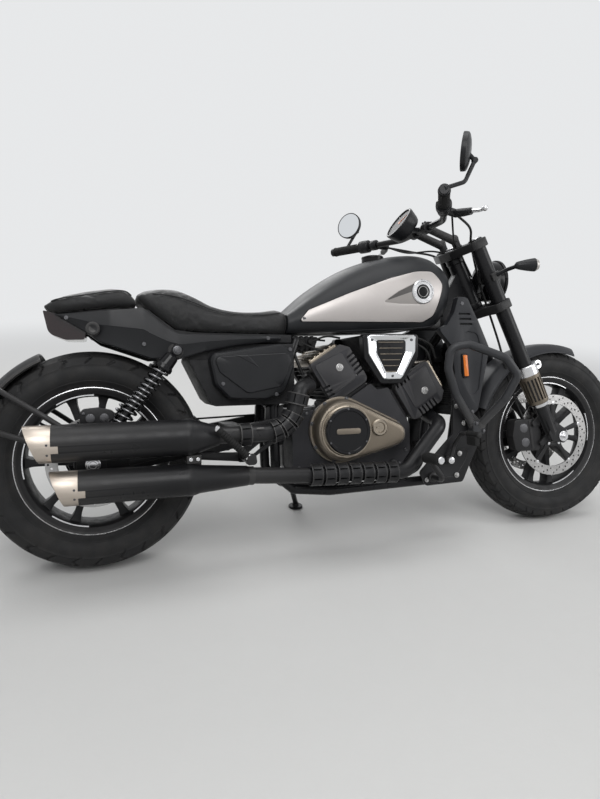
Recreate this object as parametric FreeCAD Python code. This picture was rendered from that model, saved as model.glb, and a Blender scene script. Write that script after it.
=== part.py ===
import FreeCAD, Part
import math
import os

# A cruiser motorcycle that leans on its side stand. Millimetres and degrees.
# Everything is modelled upright: X forward from the rear axle, Y to the rider's left,
# Z up from the ground. placed() then leans the whole machine onto its stand.

# Driving dimensions
WHEELBASE = 1622.0
LEAN = 12.09
RAKE = 24.67
AXLE_LEAD = 64.0          # front axle ahead of the steering axis
LEG_OFFSET = 35.0         # fork legs ahead of the steering axis
LEG_Y = 104.0
INCH = 25.4
BEAD_R = 8 * INCH
SEAT_GAP = 0.3            # between pieces of different bodies that almost touch
BODY_GAP = 0.3            # between bodywork and what it rests on

REAR_TYRE_R = 322.6
REAR_TYRE_W = 178.0
REAR_CROWN = 160.0        # radius of the tread across the tyre
REAR_RIM_W = 144.0
FRONT_TYRE_R = 320.0
FRONT_TYRE_W = 130.0
FRONT_CROWN = 94.0
FRONT_RIM_W = 92.0
FLANGE_R = 217.0

REACH_BACK = 356.5        # number plate behind the rear axle
REACH_LEFT = 711.5        # leaned left mirror
REACH_RIGHT = -250.5      # leaned right peg


SIN_LEAN = math.sin(math.radians(LEAN))
COS_LEAN = math.cos(math.radians(LEAN))
GROUND_DROP = REAR_CROWN * (1 - COS_LEAN)      # how far the leaned rear tyre dips


def axle_height(radius, crown):
    """Axle height in the upright frame so that the leaned tyre just touches the ground."""
    return ((radius - crown) * COS_LEAN + crown - GROUND_DROP) / COS_LEAN


REAR_Z = axle_height(REAR_TYRE_R, REAR_CROWN)
FRONT_Z = axle_height(FRONT_TYRE_R, FRONT_CROWN)
SIN_RAKE = math.sin(math.radians(RAKE))
COS_RAKE = math.cos(math.radians(RAKE))
FOOT_X = WHEELBASE - AXLE_LEAD * COS_RAKE      # steering axis, level with the axle
FOOT_Z = FRONT_Z - AXLE_LEAD * SIN_RAKE
ORIGIN_X = (WHEELBASE + FRONT_TYRE_R - REACH_BACK) / 2
ORIGIN_Y = (REACH_LEFT + REACH_RIGHT) / 2


# Basic shapes

def V(x, y, z):
    return FreeCAD.Vector(x, y, z)


def placed(shape):
    """Leans an upright shape onto the stand and moves it to the machine's origin."""
    result = shape.copy()
    result.rotate(V(0, 0, 0), V(1, 0, 0), -LEAN)
    result.translate(V(-ORIGIN_X, -ORIGIN_Y, GROUND_DROP))
    return result


def raked(shape):
    """From fork coordinates (forward, left, up the steering axis) to the upright frame."""
    result = shape.copy()
    result.rotate(V(0, 0, 0), V(0, 1, 0), -RAKE)
    result.translate(V(FOOT_X, 0, FOOT_Z))
    return result


def box(x, y, z):
    return Part.makeBox(x[1] - x[0], y[1] - y[0], z[1] - z[0], V(x[0], y[0], z[0]))


def rod(start, end, radius, end_radius=None):
    start = V(*start)
    end = V(*end)
    if end_radius is None or abs(end_radius - radius) < 0.01:
        return Part.makeCylinder(radius, (end - start).Length, start, end - start)
    return Part.makeCone(radius, end_radius, (end - start).Length, start, end - start)


def fuse(shapes):
    return shapes[0].multiFuse(shapes[1:])


def mirror(shape):
    return shape.mirror(V(0, 0, 0), V(0, 1, 0))


def both(shape):
    """A right-hand piece and its left-hand twin."""
    return Part.makeCompound([shape, mirror(shape)])


def rounded_points(points, radii, closed, step=45.0):
    """The route with each corner that has a radius drawn as a few chords outside its arc."""
    count = len(points)
    result = []
    for i, corner in enumerate(points):
        if radii[i] <= 0 or (not closed and i in (0, count - 1)):
            result.append(corner)
            continue
        back = (points[i - 1] - corner).normalize()
        ahead = (points[(i + 1) % count] - corner).normalize()
        turn = math.pi - back.getAngle(ahead)
        joints = max(1, round(math.degrees(turn) / step))
        run = radii[i] * math.tan(turn / 2)
        centre = corner + (back + ahead).normalize() * (radii[i] / math.cos(turn / 2))
        first = corner + back * run - centre
        last = corner + ahead * run - centre
        reach = 1 / (math.cos(turn / (2 * joints)) * math.sin(turn))
        for k in range(joints):
            angle = (k + 0.5) * turn / joints
            result.append(centre + (first * math.sin(turn - angle) + last * math.sin(angle)) * reach)
    return result


def polygon(points):
    return Part.makePolygon(points + [points[0]])


def faceted(rings):
    """Solid with flat faces through polygons that have equally many corners."""
    faces = [Part.Face(polygon(rings[0])), Part.Face(polygon(rings[-1]))]
    for lower, upper in zip(rings, rings[1:]):
        for k in range(len(lower)):
            a, b, c, d = lower[k - 1], lower[k], upper[k], upper[k - 1]
            twist = abs((b - a).cross(c - a).normalize().dot(d - a))
            sides = [[a, b, c, d]] if twist < 1e-4 else [[a, b, c], [a, c, d]]
            faces += [Part.Face(polygon(side)) for side in sides]
    shell = Part.makeShell(faces)
    shell.sewShape()
    solid = Part.makeSolid(shell)
    if solid.Volume < 0:
        solid.reverse()
    return solid


def side_corners(corners, y):
    """Outline in the X-Z plane at y, from (x, z, corner radius) rows."""
    points = [V(x, y, z) for x, z, r in corners]
    return rounded_points(points, [r for x, z, r in corners], True)


def side_plate(corners, y0, y1):
    return Part.Face(polygon(side_corners(corners, y0))).extrude(V(0, y1 - y0, 0))


def plan_plate(corners, z0, z1):
    """Slab seen from above, from (x, y, corner radius) rows."""
    points = [V(x, y, z0) for x, y, r in corners]
    outline = polygon(rounded_points(points, [r for x, y, r in corners], True))
    return Part.Face(outline).extrude(V(0, 0, z1 - z0))


def ring_points(centre, axis, radius, sides):
    """Corners of a regular polygon of the given mean radius, square to an axis."""
    axis = V(axis.x, axis.y, axis.z).normalize()
    across = axis.cross(V(0, 1, 0) if abs(axis.y) < 0.9 else V(1, 0, 0)).normalize()
    up = axis.cross(across)
    outer = radius / math.sqrt(math.cos(math.pi / sides))
    points = []
    for k in range(sides):
        angle = 2 * math.pi * (k + 0.5) / sides
        points.append(centre + (across * math.cos(angle) + up * math.sin(angle)) * outer)
    return points


def pipe(route, radius, bends, sides=0, step=40.0):
    """Mitred bar along a route, round or with the given number of sides."""
    points = rounded_points([V(*point) for point in route], bends, False, step)
    start = points[0]
    along = points[1] - start
    if sides:
        section = polygon(ring_points(start, along, radius, sides))
    else:
        section = Part.Wire(Part.Circle(start, along, radius).toShape())
    return Part.makePolygon(points).makePipeShell([section], True, False, 1)


def post(start, end, radius, sides=8):
    """Straight bar with flat sides."""
    return pipe([start, end], radius, [0, 0], sides)


def stack(start, along, rows, sides):
    """Many-sided column along a direction, from (distance, radius) rows."""
    along = V(*along).normalize()
    return faceted([ring_points(V(*start) + along * far, along, radius, sides) for far, radius in rows])


def turned(corners, x, z):
    """Ring about a wheel's axle, from (y, radius) rows."""
    points = [V(x, y, z + r) for y, r in corners]
    return Part.Face(polygon(points)).revolve(V(x, 0, z), V(0, 1, 0), 360)


def arc_points(start, middle, end, parts):
    """Evenly spaced points on the arc through three points, without its first one."""
    arc = Part.Arc(start, middle, end)
    low = arc.FirstParameter
    span = arc.LastParameter - low
    return [arc.value(low + span * (k + 1) / parts) for k in range(parts)]


def body_section(x, low, middle, crease, top, low_w, middle_w, crease_w):
    """Corners of a tank's or seat's cross-section: flat below, chords round the sides and the top."""
    left = [V(x, low_w, low), V(x, middle_w, middle), V(x, crease_w, crease)]
    right = [V(x, -crease_w, crease), V(x, -middle_w, middle), V(x, -low_w, low)]
    points = left[:1] + arc_points(*left, 2) + arc_points(left[2], V(x, 0, top), right[0], 4)
    return points + arc_points(*right, 2)


def body_loft(rows, wider=0.0):
    """Loft through (x, low, middle, crease, top, low_w, middle_w, crease_w) rows."""
    sections = []
    for x, low, middle, crease, top, low_w, middle_w, crease_w in rows:
        sections.append(body_section(x, low - wider, middle, crease, top + wider,
                                     low_w + wider, middle_w + wider, crease_w + wider))
    return faceted(sections)


# Wheels

SPOKE_PAIRS = 5
SPOKE_SPREAD = 21.0       # degrees from a pair's middle to each of its spokes
SPOKE_W = 19.0
HUB_R = 42.0
RIM_INNER_R = 188.0
FLANGE_T = 6.0


def tyre(radius, width, crown, rim_w, z, x):
    """Tyre ring: crowned tread, bulged sidewalls, beads between the rim's flanges."""
    half = width / 2
    shoulder = 0.86 * half
    shoulder_r = radius - crown + math.sqrt(crown ** 2 - shoulder ** 2)
    contact = crown * SIN_LEAN
    contact_r = radius - crown + crown * COS_LEAN
    bead = rim_w / 2 - FLANGE_T
    side_r = (shoulder_r + FLANGE_R) / 2
    right = [(-bead, BEAD_R), (-bead, FLANGE_R), (-half, side_r - 14), (-half, side_r + 16),
             (-shoulder, shoulder_r), (-contact, contact_r)]
    left = [(-y, r) for y, r in reversed(right)]
    return turned(right + [(0, radius)] + left, x, z)


def cast_wheel(rim_w, hub_w, bore_r, x, z, phase):
    """Cast rim with paired spokes and a bored hub."""
    half = rim_w / 2
    barrel = turned([(-half, FLANGE_R), (FLANGE_T - half, BEAD_R), (half - FLANGE_T, BEAD_R), (half, FLANGE_R),
                     (half, RIM_INNER_R), (-half, RIM_INNER_R)], x, z)
    hub = rod((x, -hub_w / 2, z), (x, hub_w / 2, z), HUB_R)
    pieces = [barrel, hub]
    spoke_half = rim_w * 0.24
    for pair in range(SPOKE_PAIRS):
        for side in (-1, 1):
            angle = phase + pair * 360 / SPOKE_PAIRS + side * SPOKE_SPREAD
            spoke = box((HUB_R - 6, RIM_INNER_R + 4), (-spoke_half, spoke_half),
                        (-SPOKE_W / 2, SPOKE_W / 2))
            spoke.rotate(V(0, 0, 0), V(0, 1, 0), -angle)
            spoke.translate(V(x, 0, z))
            pieces.append(spoke)
    return fuse(pieces).cut(rod((x, -hub_w, z), (x, hub_w, z), bore_r))


def brake_disc(radius, band, thickness, y, x, z, hub_r):
    """Flat disc: outer band, five carrier arms and a ring that bolts to the hub."""
    def ring(outer, inner):
        outside = post((x, y - thickness / 2, z), (x, y + thickness / 2, z), outer, 24)
        return outside.cut(post((x, y - thickness, z), (x, y + thickness, z), inner, 24))

    pieces = [ring(radius, radius - band), ring(hub_r + 14, hub_r)]
    for arm in range(SPOKE_PAIRS):
        bar = box((hub_r + 6, radius - band + 4), (-thickness / 2, thickness / 2), (-9, 9))
        bar.rotate(V(0, 0, 0), V(0, 1, 0), arm * 360 / SPOKE_PAIRS)
        bar.translate(V(x, y, z))
        pieces.append(bar)
    return fuse(pieces)


# Axles, hubs and brakes
AXLE_R = 11.0
AXLE_FIT = 0.05           # running clearance of a hub on its axle
REAR_HUB_W = 176.0
FRONT_HUB_W = 134.0
DISC_T = 5.0
DISC_BORE = HUB_R - 12
REAR_DISC_R = 130.0
REAR_DISC_Y = -REAR_HUB_W / 2 - DISC_T / 2
FRONT_DISC_R = 150.0
FRONT_DISC_Y = FRONT_HUB_W / 2 + DISC_T / 2
DISC_BAND = 34.0
PULLEY_R = 88.0
PULLEY_Y = (REAR_HUB_W / 2, REAR_HUB_W / 2 + 24)
REAR_PHASE = -86.0
FRONT_PHASE = -60.0


def rear_tyre():
    return tyre(REAR_TYRE_R, REAR_TYRE_W, REAR_CROWN, REAR_RIM_W, REAR_Z, 0)


def rear_rim():
    return cast_wheel(REAR_RIM_W, REAR_HUB_W, AXLE_R + AXLE_FIT, 0, REAR_Z, REAR_PHASE)


def rear_disc():
    return brake_disc(REAR_DISC_R, DISC_BAND, DISC_T, REAR_DISC_Y, 0, REAR_Z, DISC_BORE)


def rear_pulley():
    """Drive pulley bolted to the hub's left end."""
    low, high = PULLEY_Y
    wheel = rod((0, low, REAR_Z), (0, high, REAR_Z), PULLEY_R)
    return wheel.cut(rod((0, low - 1, REAR_Z), (0, high + 1, REAR_Z), AXLE_R + 4))


def front_tyre():
    return tyre(FRONT_TYRE_R, FRONT_TYRE_W, FRONT_CROWN, FRONT_RIM_W, FRONT_Z, WHEELBASE)


def front_rim():
    return cast_wheel(FRONT_RIM_W, FRONT_HUB_W, AXLE_R + AXLE_FIT, WHEELBASE, FRONT_Z, FRONT_PHASE)


def front_discs():
    return both(brake_disc(FRONT_DISC_R, DISC_BAND, DISC_T, -FRONT_DISC_Y, WHEELBASE, FRONT_Z, DISC_BORE))


# Swingarm, rear axle and suspension
ARM_INNER = 118.0
ARM_T = 24.0
ARM_OUTER = ARM_INNER + ARM_T
ARM_H = 58.0
PIVOT = (545.0, 400.0)
PIVOT_R = 16.0
PIVOT_FIT = 0.05
SHOCK_Y = 150.0
SHOCK_EYE_W = 12.0        # half width of a shock's eyes
SHOCK_LOW = (32.0, 385.0)
SHOCK_HIGH = (240.0, 640.0)
SHOCK_PIN_R = 7.0


def swingarm():
    """Two box arms, the cross box ahead of the tyre and the lugs that carry the shocks."""
    low = REAR_Z - ARM_H / 2
    high = REAR_Z + ARM_H / 2
    x, z = PIVOT
    arm = side_plate([(-52, low, 0), (60, low, 0), (x, z - 34, 0), (x + 28, z - 10, 0), (x + 28, z + 10, 0),
                      (x, z + 34, 0), (60, high, 0), (-52, high, 0)], -ARM_OUTER, -ARM_INNER)
    eye_x, eye_z = SHOCK_LOW
    lug = side_plate([(0, REAR_Z + 20, 0), (90, REAR_Z + 20, 0), (eye_x + 18, eye_z + 16, 0),
                      (eye_x - 18, eye_z + 16, 0)], 12 - ARM_OUTER, -ARM_INNER)
    pin = post((eye_x, 14 - ARM_OUTER, eye_z), (eye_x, SHOCK_EYE_W + BODY_GAP - SHOCK_Y, eye_z), SHOCK_PIN_R)
    arm = arm.cut(rod((x, -200, z), (x, 200, z), PIVOT_R + PIVOT_FIT))
    arm = arm.cut(rod((0, -200, REAR_Z), (0, 200, REAR_Z), AXLE_R))
    side = fuse([arm, lug, pin])
    cross = box((400, 448), (-ARM_INNER - 2, ARM_INNER + 2), (358, 408))
    return fuse([side, mirror(side), cross])


def rear_axle():
    shaft = rod((0, -ARM_OUTER - 14, REAR_Z), (0, ARM_OUTER + 14, REAR_Z), AXLE_R)
    nut = post((0, -ARM_OUTER - 13, REAR_Z), (0, -ARM_OUTER, REAR_Z), 19, 6)
    return fuse([shaft, nut, mirror(nut)])


COIL_R = 25.0
COIL_WIRE = 5.0
COIL_TURNS = 6
COIL_SEAT_R = 28.0


def shocks():
    """Coil-over units in one column: damper, spring seats and a ridged coil."""
    start = V(SHOCK_LOW[0], -SHOCK_Y, SHOCK_LOW[1])
    end = V(SHOCK_HIGH[0], -SHOCK_Y, SHOCK_HIGH[1])
    length = (end - start).Length
    first = 58.0
    last = length - 66
    pitch = (last - first) / COIL_TURNS
    rows = [(10, 17), (first, COIL_SEAT_R)]
    for turn in range(COIL_TURNS):
        rows.append((first + pitch * turn + 2, COIL_R - COIL_WIRE))
        rows.append((first + pitch * (turn + 0.5), COIL_R))
    rows += [(last - 2, COIL_R - COIL_WIRE), (last, COIL_SEAT_R), (length - 48, 21), (length - 10, 21)]
    eyes = [post((0, -SHOCK_EYE_W, height), (0, SHOCK_EYE_W, height), 17, 10) for height in (0, length)]
    unit = fuse([stack((0, 0, 0), (0, 0, 1), rows, 10)] + eyes)
    unit.rotate(V(0, 0, 0), V(0, 1, 0), math.degrees(math.atan2(end.x - start.x, end.z - start.z)))
    unit.translate(start)
    return both(unit)


def rear_caliper():
    """Two-piston caliper over the disc's top and the bracket that holds it to the axle."""
    edge = 1 - ARM_INNER
    body = side_plate([(-34, REAR_Z + 104, 0), (58, REAR_Z + 96, 0), (64, REAR_Z + 148, 12),
                       (-30, REAR_Z + 156, 12)], edge, REAR_DISC_Y + 16)
    body = body.cut(rod((0, REAR_DISC_Y - DISC_T / 2 - 2, REAR_Z), (0, REAR_DISC_Y + DISC_T / 2 + 2, REAR_Z),
                        REAR_DISC_R + 6))
    bracket = side_plate([(-20, REAR_Z - 18, 0), (20, REAR_Z - 18, 0), (40, REAR_Z + 110, 0),
                          (-20, REAR_Z + 110, 0)], edge, edge + 7)
    return fuse([body, bracket]).cut(rod((0, -200, REAR_Z), (0, 0, REAR_Z), AXLE_R))


# Drive belt
GEAR = (612.0, 392.0)
GEAR_R = 36.0
BELT_T = 9.0
BELT_Y = (95.0, 110.0)
BELT_FIT = 0.5            # belt clear of the turning pulley


def wrap_points(first, first_r, second, second_r, y, parts):
    """Chords round two circles and the straight tangents between them, in an X-Z plane."""
    dx = second[0] - first[0]
    dz = second[1] - first[1]
    base = math.atan2(dz, dx)
    spread = math.acos((first_r - second_r) / math.hypot(dx, dz))

    def at(centre, radius, angle):
        return V(centre[0] + radius * math.cos(angle), y, centre[1] + radius * math.sin(angle))

    back = arc_points(at(first, first_r, base + spread), at(first, first_r, base + math.pi),
                      at(first, first_r, base - spread), parts)
    front = arc_points(at(second, second_r, base - spread), at(second, second_r, base),
                       at(second, second_r, base + spread), parts)
    return [at(first, first_r, base + spread)] + back + [at(second, second_r, base - spread)] + front


def drive_belt():
    """Belt loop round both pulleys, with the gearbox pulley inside its front bend."""
    def loop(grow):
        points = wrap_points((0, REAR_Z), (PULLEY_R + BELT_FIT) * 1.006 + grow, GEAR, GEAR_R + grow,
                             BELT_Y[0], 14)
        return Part.Face(polygon(points)).extrude(V(0, BELT_Y[1] - BELT_Y[0], 0))

    gear = post((GEAR[0], CASE_ROOM, GEAR[1]), (GEAR[0], CASE_Y, GEAR[1]), GEAR_R + 0.5, 24)
    return fuse([loop(BELT_T).cut(loop(0)), gear])


# Engine
CRANK = (862.0, 390.0)
REAR_TILT = -32.0
FRONT_TILT = 58.0
CASE_Y = 118.0
CASE_ROOM = 84.0          # floor of the recess for the gearbox pulley
DECK = 118.0              # crank centre to the cylinders' foot
HEAD_TOP = 284.0          # crank centre to the top of a cylinder's cover
CYL_W = 73.0              # half width of a cylinder seen from the side
BARREL_W = CYL_W - 6
CYL_Y = 100.0
COVER_Y = 126.0


def tilted(shape, angle):
    """From cylinder coordinates, Z along its bore, to the upright frame."""
    result = shape.copy()
    result.rotate(V(0, 0, 0), V(0, 1, 0), angle)
    result.translate(V(CRANK[0], 0, CRANK[1]))
    return result


def tilted_point(angle, height, across):
    """X and Z of a point given along a cylinder's bore and across it."""
    tilt = math.radians(angle)
    return (CRANK[0] + height * math.sin(tilt) + across * math.cos(tilt),
            CRANK[1] + height * math.cos(tilt) - across * math.sin(tilt))


def crankcase():
    """Engine and gearbox block in one mass, with the left generator cover and the sump."""
    corners = [(592, 262, 24), (640, 222, 24), (940, 222, 30), (1002, 300, 30),
               tilted_point(FRONT_TILT, DECK, CYL_W) + (0,), tilted_point(FRONT_TILT, DECK, -CYL_W) + (0,),
               (CRANK[0] + 24, CRANK[1] + 118, 0),
               tilted_point(REAR_TILT, DECK, CYL_W) + (0,), tilted_point(REAR_TILT, DECK, -CYL_W) + (0,),
               (650, 448, 20), (592, 452, 20)]
    case = side_plate(corners, -CASE_Y, CASE_Y)
    case = case.cut(post((PIVOT[0], -200, PIVOT[1]), (PIVOT[0], 200, PIVOT[1]), 62, 12))
    case = case.cut(box((560, 664), (CASE_ROOM, CASE_Y + 1), (330, 460)))
    x, z = CRANK
    generator = stack((x, CASE_Y - 1, z), (0, 1, 0), [(0, 92), (35, 84)], 28)
    sump = box((700, 900), (-80, 80), (206, 223))
    return fuse([case, generator, sump])


def pulley_cover():
    """Cover over the gearbox pulley on the left."""
    outer = side_plate([(577, 330, 20), (690, 300, 20), (756, 330, 20), (752, 450, 20), (640, 462, 20),
                        (577, 446, 20)], CASE_Y, CASE_Y + 18)
    raised = side_plate([(596, 346, 0), (686, 322, 0), (734, 344, 0), (732, 432, 0), (640, 442, 0),
                         (596, 430, 0)], CASE_Y + 17, CASE_Y + 25)
    return fuse([outer, raised])


CLUTCH = (751.0, 384.0)
CLUTCH_R = 106.0
CLUTCH_CAP_R = 76.0
COVER_NOSE = (921.0, 366.0)
COVER_NOSE_R = 48.0


def teardrop(shrink, depth):
    """Corners round the clutch and the cover's forward nose, at a depth outside the case."""
    return wrap_points(CLUTCH, CLUTCH_R - shrink, COVER_NOSE, COVER_NOSE_R - shrink, -CASE_Y - depth, 8)


def clutch_cover():
    """Right cover: bolted flange, drafted dome, round cap and timing plug."""
    flange = Part.Face(polygon(teardrop(0, 0))).extrude(V(0, -16, 0))
    dome = faceted([teardrop(7, 15), teardrop(11, 48), teardrop(24, 62)])
    face = -CASE_Y
    cap = post((CLUTCH[0], face - 50, CLUTCH[1]), (CLUTCH[0], face - 80, CLUTCH[1]), CLUTCH_CAP_R, 28)
    plug = post((CRANK[0], face - 50, CRANK[1]), (CRANK[0], face - 70, CRANK[1]), 27, 16)
    return fuse([flange, dome, cap, plug])


FIN_COUNT = 4
FIN_PITCH = 17.0


def cylinder(angle):
    """Barrel and head block with side covers, corner fins and a stepped rocker cap."""
    barrel = box((-BARREL_W, BARREL_W), (-CYL_Y, CYL_Y), (DECK, HEAD_TOP - 8))
    cover = side_plate([(-CYL_W, HEAD_TOP - 150, 26), (CYL_W, HEAD_TOP - 150, 0), (CYL_W, HEAD_TOP - 22, 0),
                        (CYL_W - 22, HEAD_TOP, 0), (-CYL_W, HEAD_TOP, 0)], -COVER_Y, 1 - CYL_Y)
    for fin in range(FIN_COUNT):
        low = HEAD_TOP - 112 + fin * FIN_PITCH
        for x0, lift in ((CYL_W - 26, 0), (-CYL_W - 5, -26)):
            cover = cover.cut(box((x0, x0 + 31), (-COVER_Y - 1, 8 - COVER_Y), (low + lift, low + lift + 8)))
    bolt = post((8, -COVER_Y - 5, HEAD_TOP - 62), (8, 1 - COVER_Y, HEAD_TOP - 62), 13)
    cap = box((4 - CYL_W, CYL_W - 30), (6 - COVER_Y, COVER_Y - 6), (HEAD_TOP - 9, HEAD_TOP + 12))
    unit = tilted(fuse([barrel, cap, cover, mirror(cover), bolt, mirror(bolt)]), angle)
    return unit.cut(post((CLUTCH[0], -200, CLUTCH[1]), (CLUTCH[0], -CASE_Y, CLUTCH[1]), CLUTCH_R + 4, 24))


LOUVRE_COUNT = 4
INTAKE_X = 922.0


def air_intake():
    """Shield-shaped louvred intakes on both sides of the throttle box between the cylinders."""
    body = side_plate([(846, 690, 0), (1000, 690, 0), (960, 602, 0), (922, 560, 0), (888, 602, 0)], -112, 112)
    shield = side_plate([(836, 688, 10), (1008, 688, 10), (962, 575, 0), (INTAKE_X, 528, 12), (882, 575, 0)],
                        -152, -111)
    mouth = side_plate([(866, 676, 0), (978, 676, 0), (948, 600, 0), (898, 600, 0)], -153, -132)
    slats = []
    for row in range(LOUVRE_COUNT):
        half = 54 - row * 8
        low = 662 - row * 20
        slat = box((INTAKE_X - half, INTAKE_X + half), (-150, -131), (low - 4, low + 4))
        slat.rotate(V(INTAKE_X, -140, low), V(1, 0, 0), 28)
        slats.append(slat)
    horn = fuse([shield.cut(mouth)] + slats)
    ports = []
    for angle, side in ((REAR_TILT, 1), (FRONT_TILT, -1)):
        x0, z0 = tilted_point(angle, 190, side * (BARREL_W + 0.2))
        x1, z1 = tilted_point(angle, 190, side * (BARREL_W + 90))
        ports.append(post((x0, 0, z0), (x1, 0, z1), 24))
    return fuse([body, horn, mirror(horn)] + ports)


# Exhausts: two stacked mufflers on the right
MUFFLER_Y = -222.0
UPPER_Z = 394.0
LOWER_Z = 274.0
PIPE_R = 24.0
MUFFLER_WALL = 3.0


def muffler(z, front_x, cone_x, rear_x, tip_x, front_r, rear_r):
    """Can, cone on the pipe's end and a hollow slash-cut tip."""
    back = (-1, 0, 0)
    can = stack((cone_x, MUFFLER_Y, z), back,
                [(0, PIPE_R + 4), (cone_x - front_x, front_r), (cone_x - rear_x, rear_r)], 20)
    tip = stack((rear_x + 2, MUFFLER_Y, z), back, [(0, rear_r - 3), (rear_x + 2 - tip_x, rear_r - 3)], 20)
    slash = box((-150, 0), (-100, 100), (-200, 200))
    slash.rotate(V(0, 0, 0), V(0, 1, 0), -30)
    slash.translate(V(tip_x + 4, MUFFLER_Y, z + rear_r))
    mouth = stack((rear_x + 60, MUFFLER_Y, z), back,
                  [(0, rear_r - 3 - MUFFLER_WALL), (rear_x + 65 - tip_x, rear_r - 3 - MUFFLER_WALL)], 20)
    return fuse([can, tip.cut(slash)]).cut(mouth)


BEND_R = 100.0            # rear pipe's large bend
BEND_TURN = 75.0
BEND_CHORDS = 4
BEND_TOP = (592.0, 520.0)
BEND_CORNER = (557.7, 392.0)
REAR_PIPE_Y = -207.0
REAR_CONE_X = 338.0       # where the rear pipe enters its muffler
RUN_X = (610.0, 915.0)    # front pipe's lower run
RUN_Z = (258.0, 248.0)
RUN_Y = -200.0


def rear_exhaust():
    """Rear cylinder's pipe and the upper muffler."""
    x0, z0 = tilted_point(REAR_TILT, 225, -BARREL_W - 0.2)
    x1, z1 = tilted_point(REAR_TILT, 225, -CYL_W - 30)
    head = pipe([(x0, -55, z0), (x1, -55, z1), (x1 - 20, -160, z1),
                 (BEND_TOP[0], REAR_PIPE_Y, BEND_TOP[1]), (BEND_CORNER[0], REAR_PIPE_Y, BEND_CORNER[1]),
                 (REAR_CONE_X, MUFFLER_Y, UPPER_Z)],
                PIPE_R, [0, 0, 30, 28, BEND_R, 0], 14, BEND_TURN / BEND_CHORDS)
    return fuse([head, muffler(UPPER_Z, 268, REAR_CONE_X + 4, -98, -172, 50.5, 50.5)])


def front_exhaust():
    """Front cylinder's pipe, the long lower run and the lower muffler."""
    x0, z0 = tilted_point(FRONT_TILT, 215, BARREL_W + 0.2)
    x1, z1 = tilted_point(FRONT_TILT, 215, CYL_W + 30)
    head = pipe([(x0, -52, z0), (x1, -52, z1), (1092, -165, 390), (944, RUN_Y, RUN_Z[1]),
                 (RUN_X[0], RUN_Y, RUN_Z[0]), (418, MUFFLER_Y, LOWER_Z)],
                PIPE_R, [0, 0, 44, 60, 0, 0], 14)
    return fuse([head, muffler(LOWER_Z, 268, 424, -36, -112, 45, 47.5)])


SHIELD_R = 34.0
SHIELD_T = 2.5
SHIELD_L = 34.0
SHIELD_PITCH = 42.0
SHIELD_HALF = 112.0       # degrees either side of straight outward


def shield_arc(radius, half, parts):
    """Points in the Y-Z plane round a pipe's right-hand side, from low to high."""
    points = []
    for k in range(parts + 1):
        angle = math.radians(180 - half + 2 * half * k / parts)
        points.append(V(0, radius * math.cos(angle), -radius * math.sin(angle)))
    return points


def shield_faces():
    """Cross-sections of a heat shield's shell and of the clip that seats it on the pipe."""
    shell = shield_arc(SHIELD_R, SHIELD_HALF, 6) + shield_arc(SHIELD_R - SHIELD_T, SHIELD_HALF, 6)[::-1]
    clip = shield_arc(SHIELD_R - SHIELD_T + 0.4, 20, 1) + shield_arc(PIPE_R + 0.8, 20, 2)[::-1]
    return [(Part.Face(polygon(shell)), SHIELD_L), (Part.Face(polygon(clip)), 6.0)]


def straight_shield(x, z, slope):
    """One segment centred at x on a straight pipe that drops forward by the slope."""
    parts = []
    for face, length in shield_faces():
        part = face.extrude(V(length, 0, 0))
        part.translate(V(-length / 2, 0, 0))
        parts.append(part)
    piece = fuse(parts)
    piece.rotate(V(0, 0, 0), V(0, 1, 0), -math.degrees(math.atan(slope)))
    piece.translate(V(x, 0, z))
    return piece


def bent_shield(angle):
    """One segment round the rear pipe's bend, centred at an angle from its lower end."""
    parts = []
    for face, length in shield_faces():
        half = math.degrees(length / 2 / (BEND_R + SHIELD_R))
        part = face.revolve(V(0, 0, BEND_R), V(0, 1, 0), -2 * half)
        part.rotate(V(0, 0, BEND_R), V(0, 1, 0), half - angle)
        parts.append(part)
    return fuse(parts)


def pipe_shields():
    """Shield segments along the straight lower run and round the rear pipe's bend."""
    pieces = []
    slope = (RUN_Z[1] - RUN_Z[0]) / (RUN_X[1] - RUN_X[0])
    for index in range(7):
        x = RUN_X[0] + 26 + index * SHIELD_PITCH
        piece = straight_shield(x, RUN_Z[0] + slope * (x - RUN_X[0]), slope)
        piece.translate(V(0, RUN_Y, 0))
        pieces.append(piece)
    bend_x = BEND_CORNER[0] - BEND_R * math.tan(math.radians(BEND_TURN) / 2)
    rear = []
    for x in (bend_x - 64, bend_x - 22):
        rear.append(straight_shield(x, 0, 0))
    for chord in range(BEND_CHORDS):
        piece = bent_shield(BEND_TURN * chord / BEND_CHORDS)
        piece.translate(V(bend_x, 0, 0))
        rear.append(piece)
    yaw = math.degrees(math.atan((REAR_PIPE_Y - MUFFLER_Y) / (BEND_CORNER[0] - REAR_CONE_X)))
    for piece in rear:
        piece.translate(V(0, REAR_PIPE_Y, BEND_CORNER[1]))
        piece.rotate(V(BEND_CORNER[0], REAR_PIPE_Y, BEND_CORNER[1]),
                     V(BEND_TOP[0] - BEND_CORNER[0], 0, BEND_TOP[1] - BEND_CORNER[1]), yaw)
    return Part.makeCompound(pieces + rear)


# Frame
TUBE_R = 16.0
DOWN_Y = 100.0
REAR_Y = 70.0             # tubes beside the swingarm pivot, inside the belt
HEAD_R = 32.0
STEM_R = 15.0
STEM_FIT = 0.05
LOW_CLAMP_S = 533.0       # heights along the steering axis
TOP_CLAMP_S = 762.0
CLAMP_T = 30.0
CLAMP_GAP = 0.5
SPINE_X = (612.0, 1180.0)
SPINE_Y = 22.0
SPINE_Z = (712.0, 756.0)
CROSS = (625.0, 676.0)    # cross tube under the tank's tail
CROSS_R = 12.0
FLAT_SHARE = math.sqrt(math.cos(math.pi / 8))      # an eight-sided bar's flats, as a share of its radius


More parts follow.
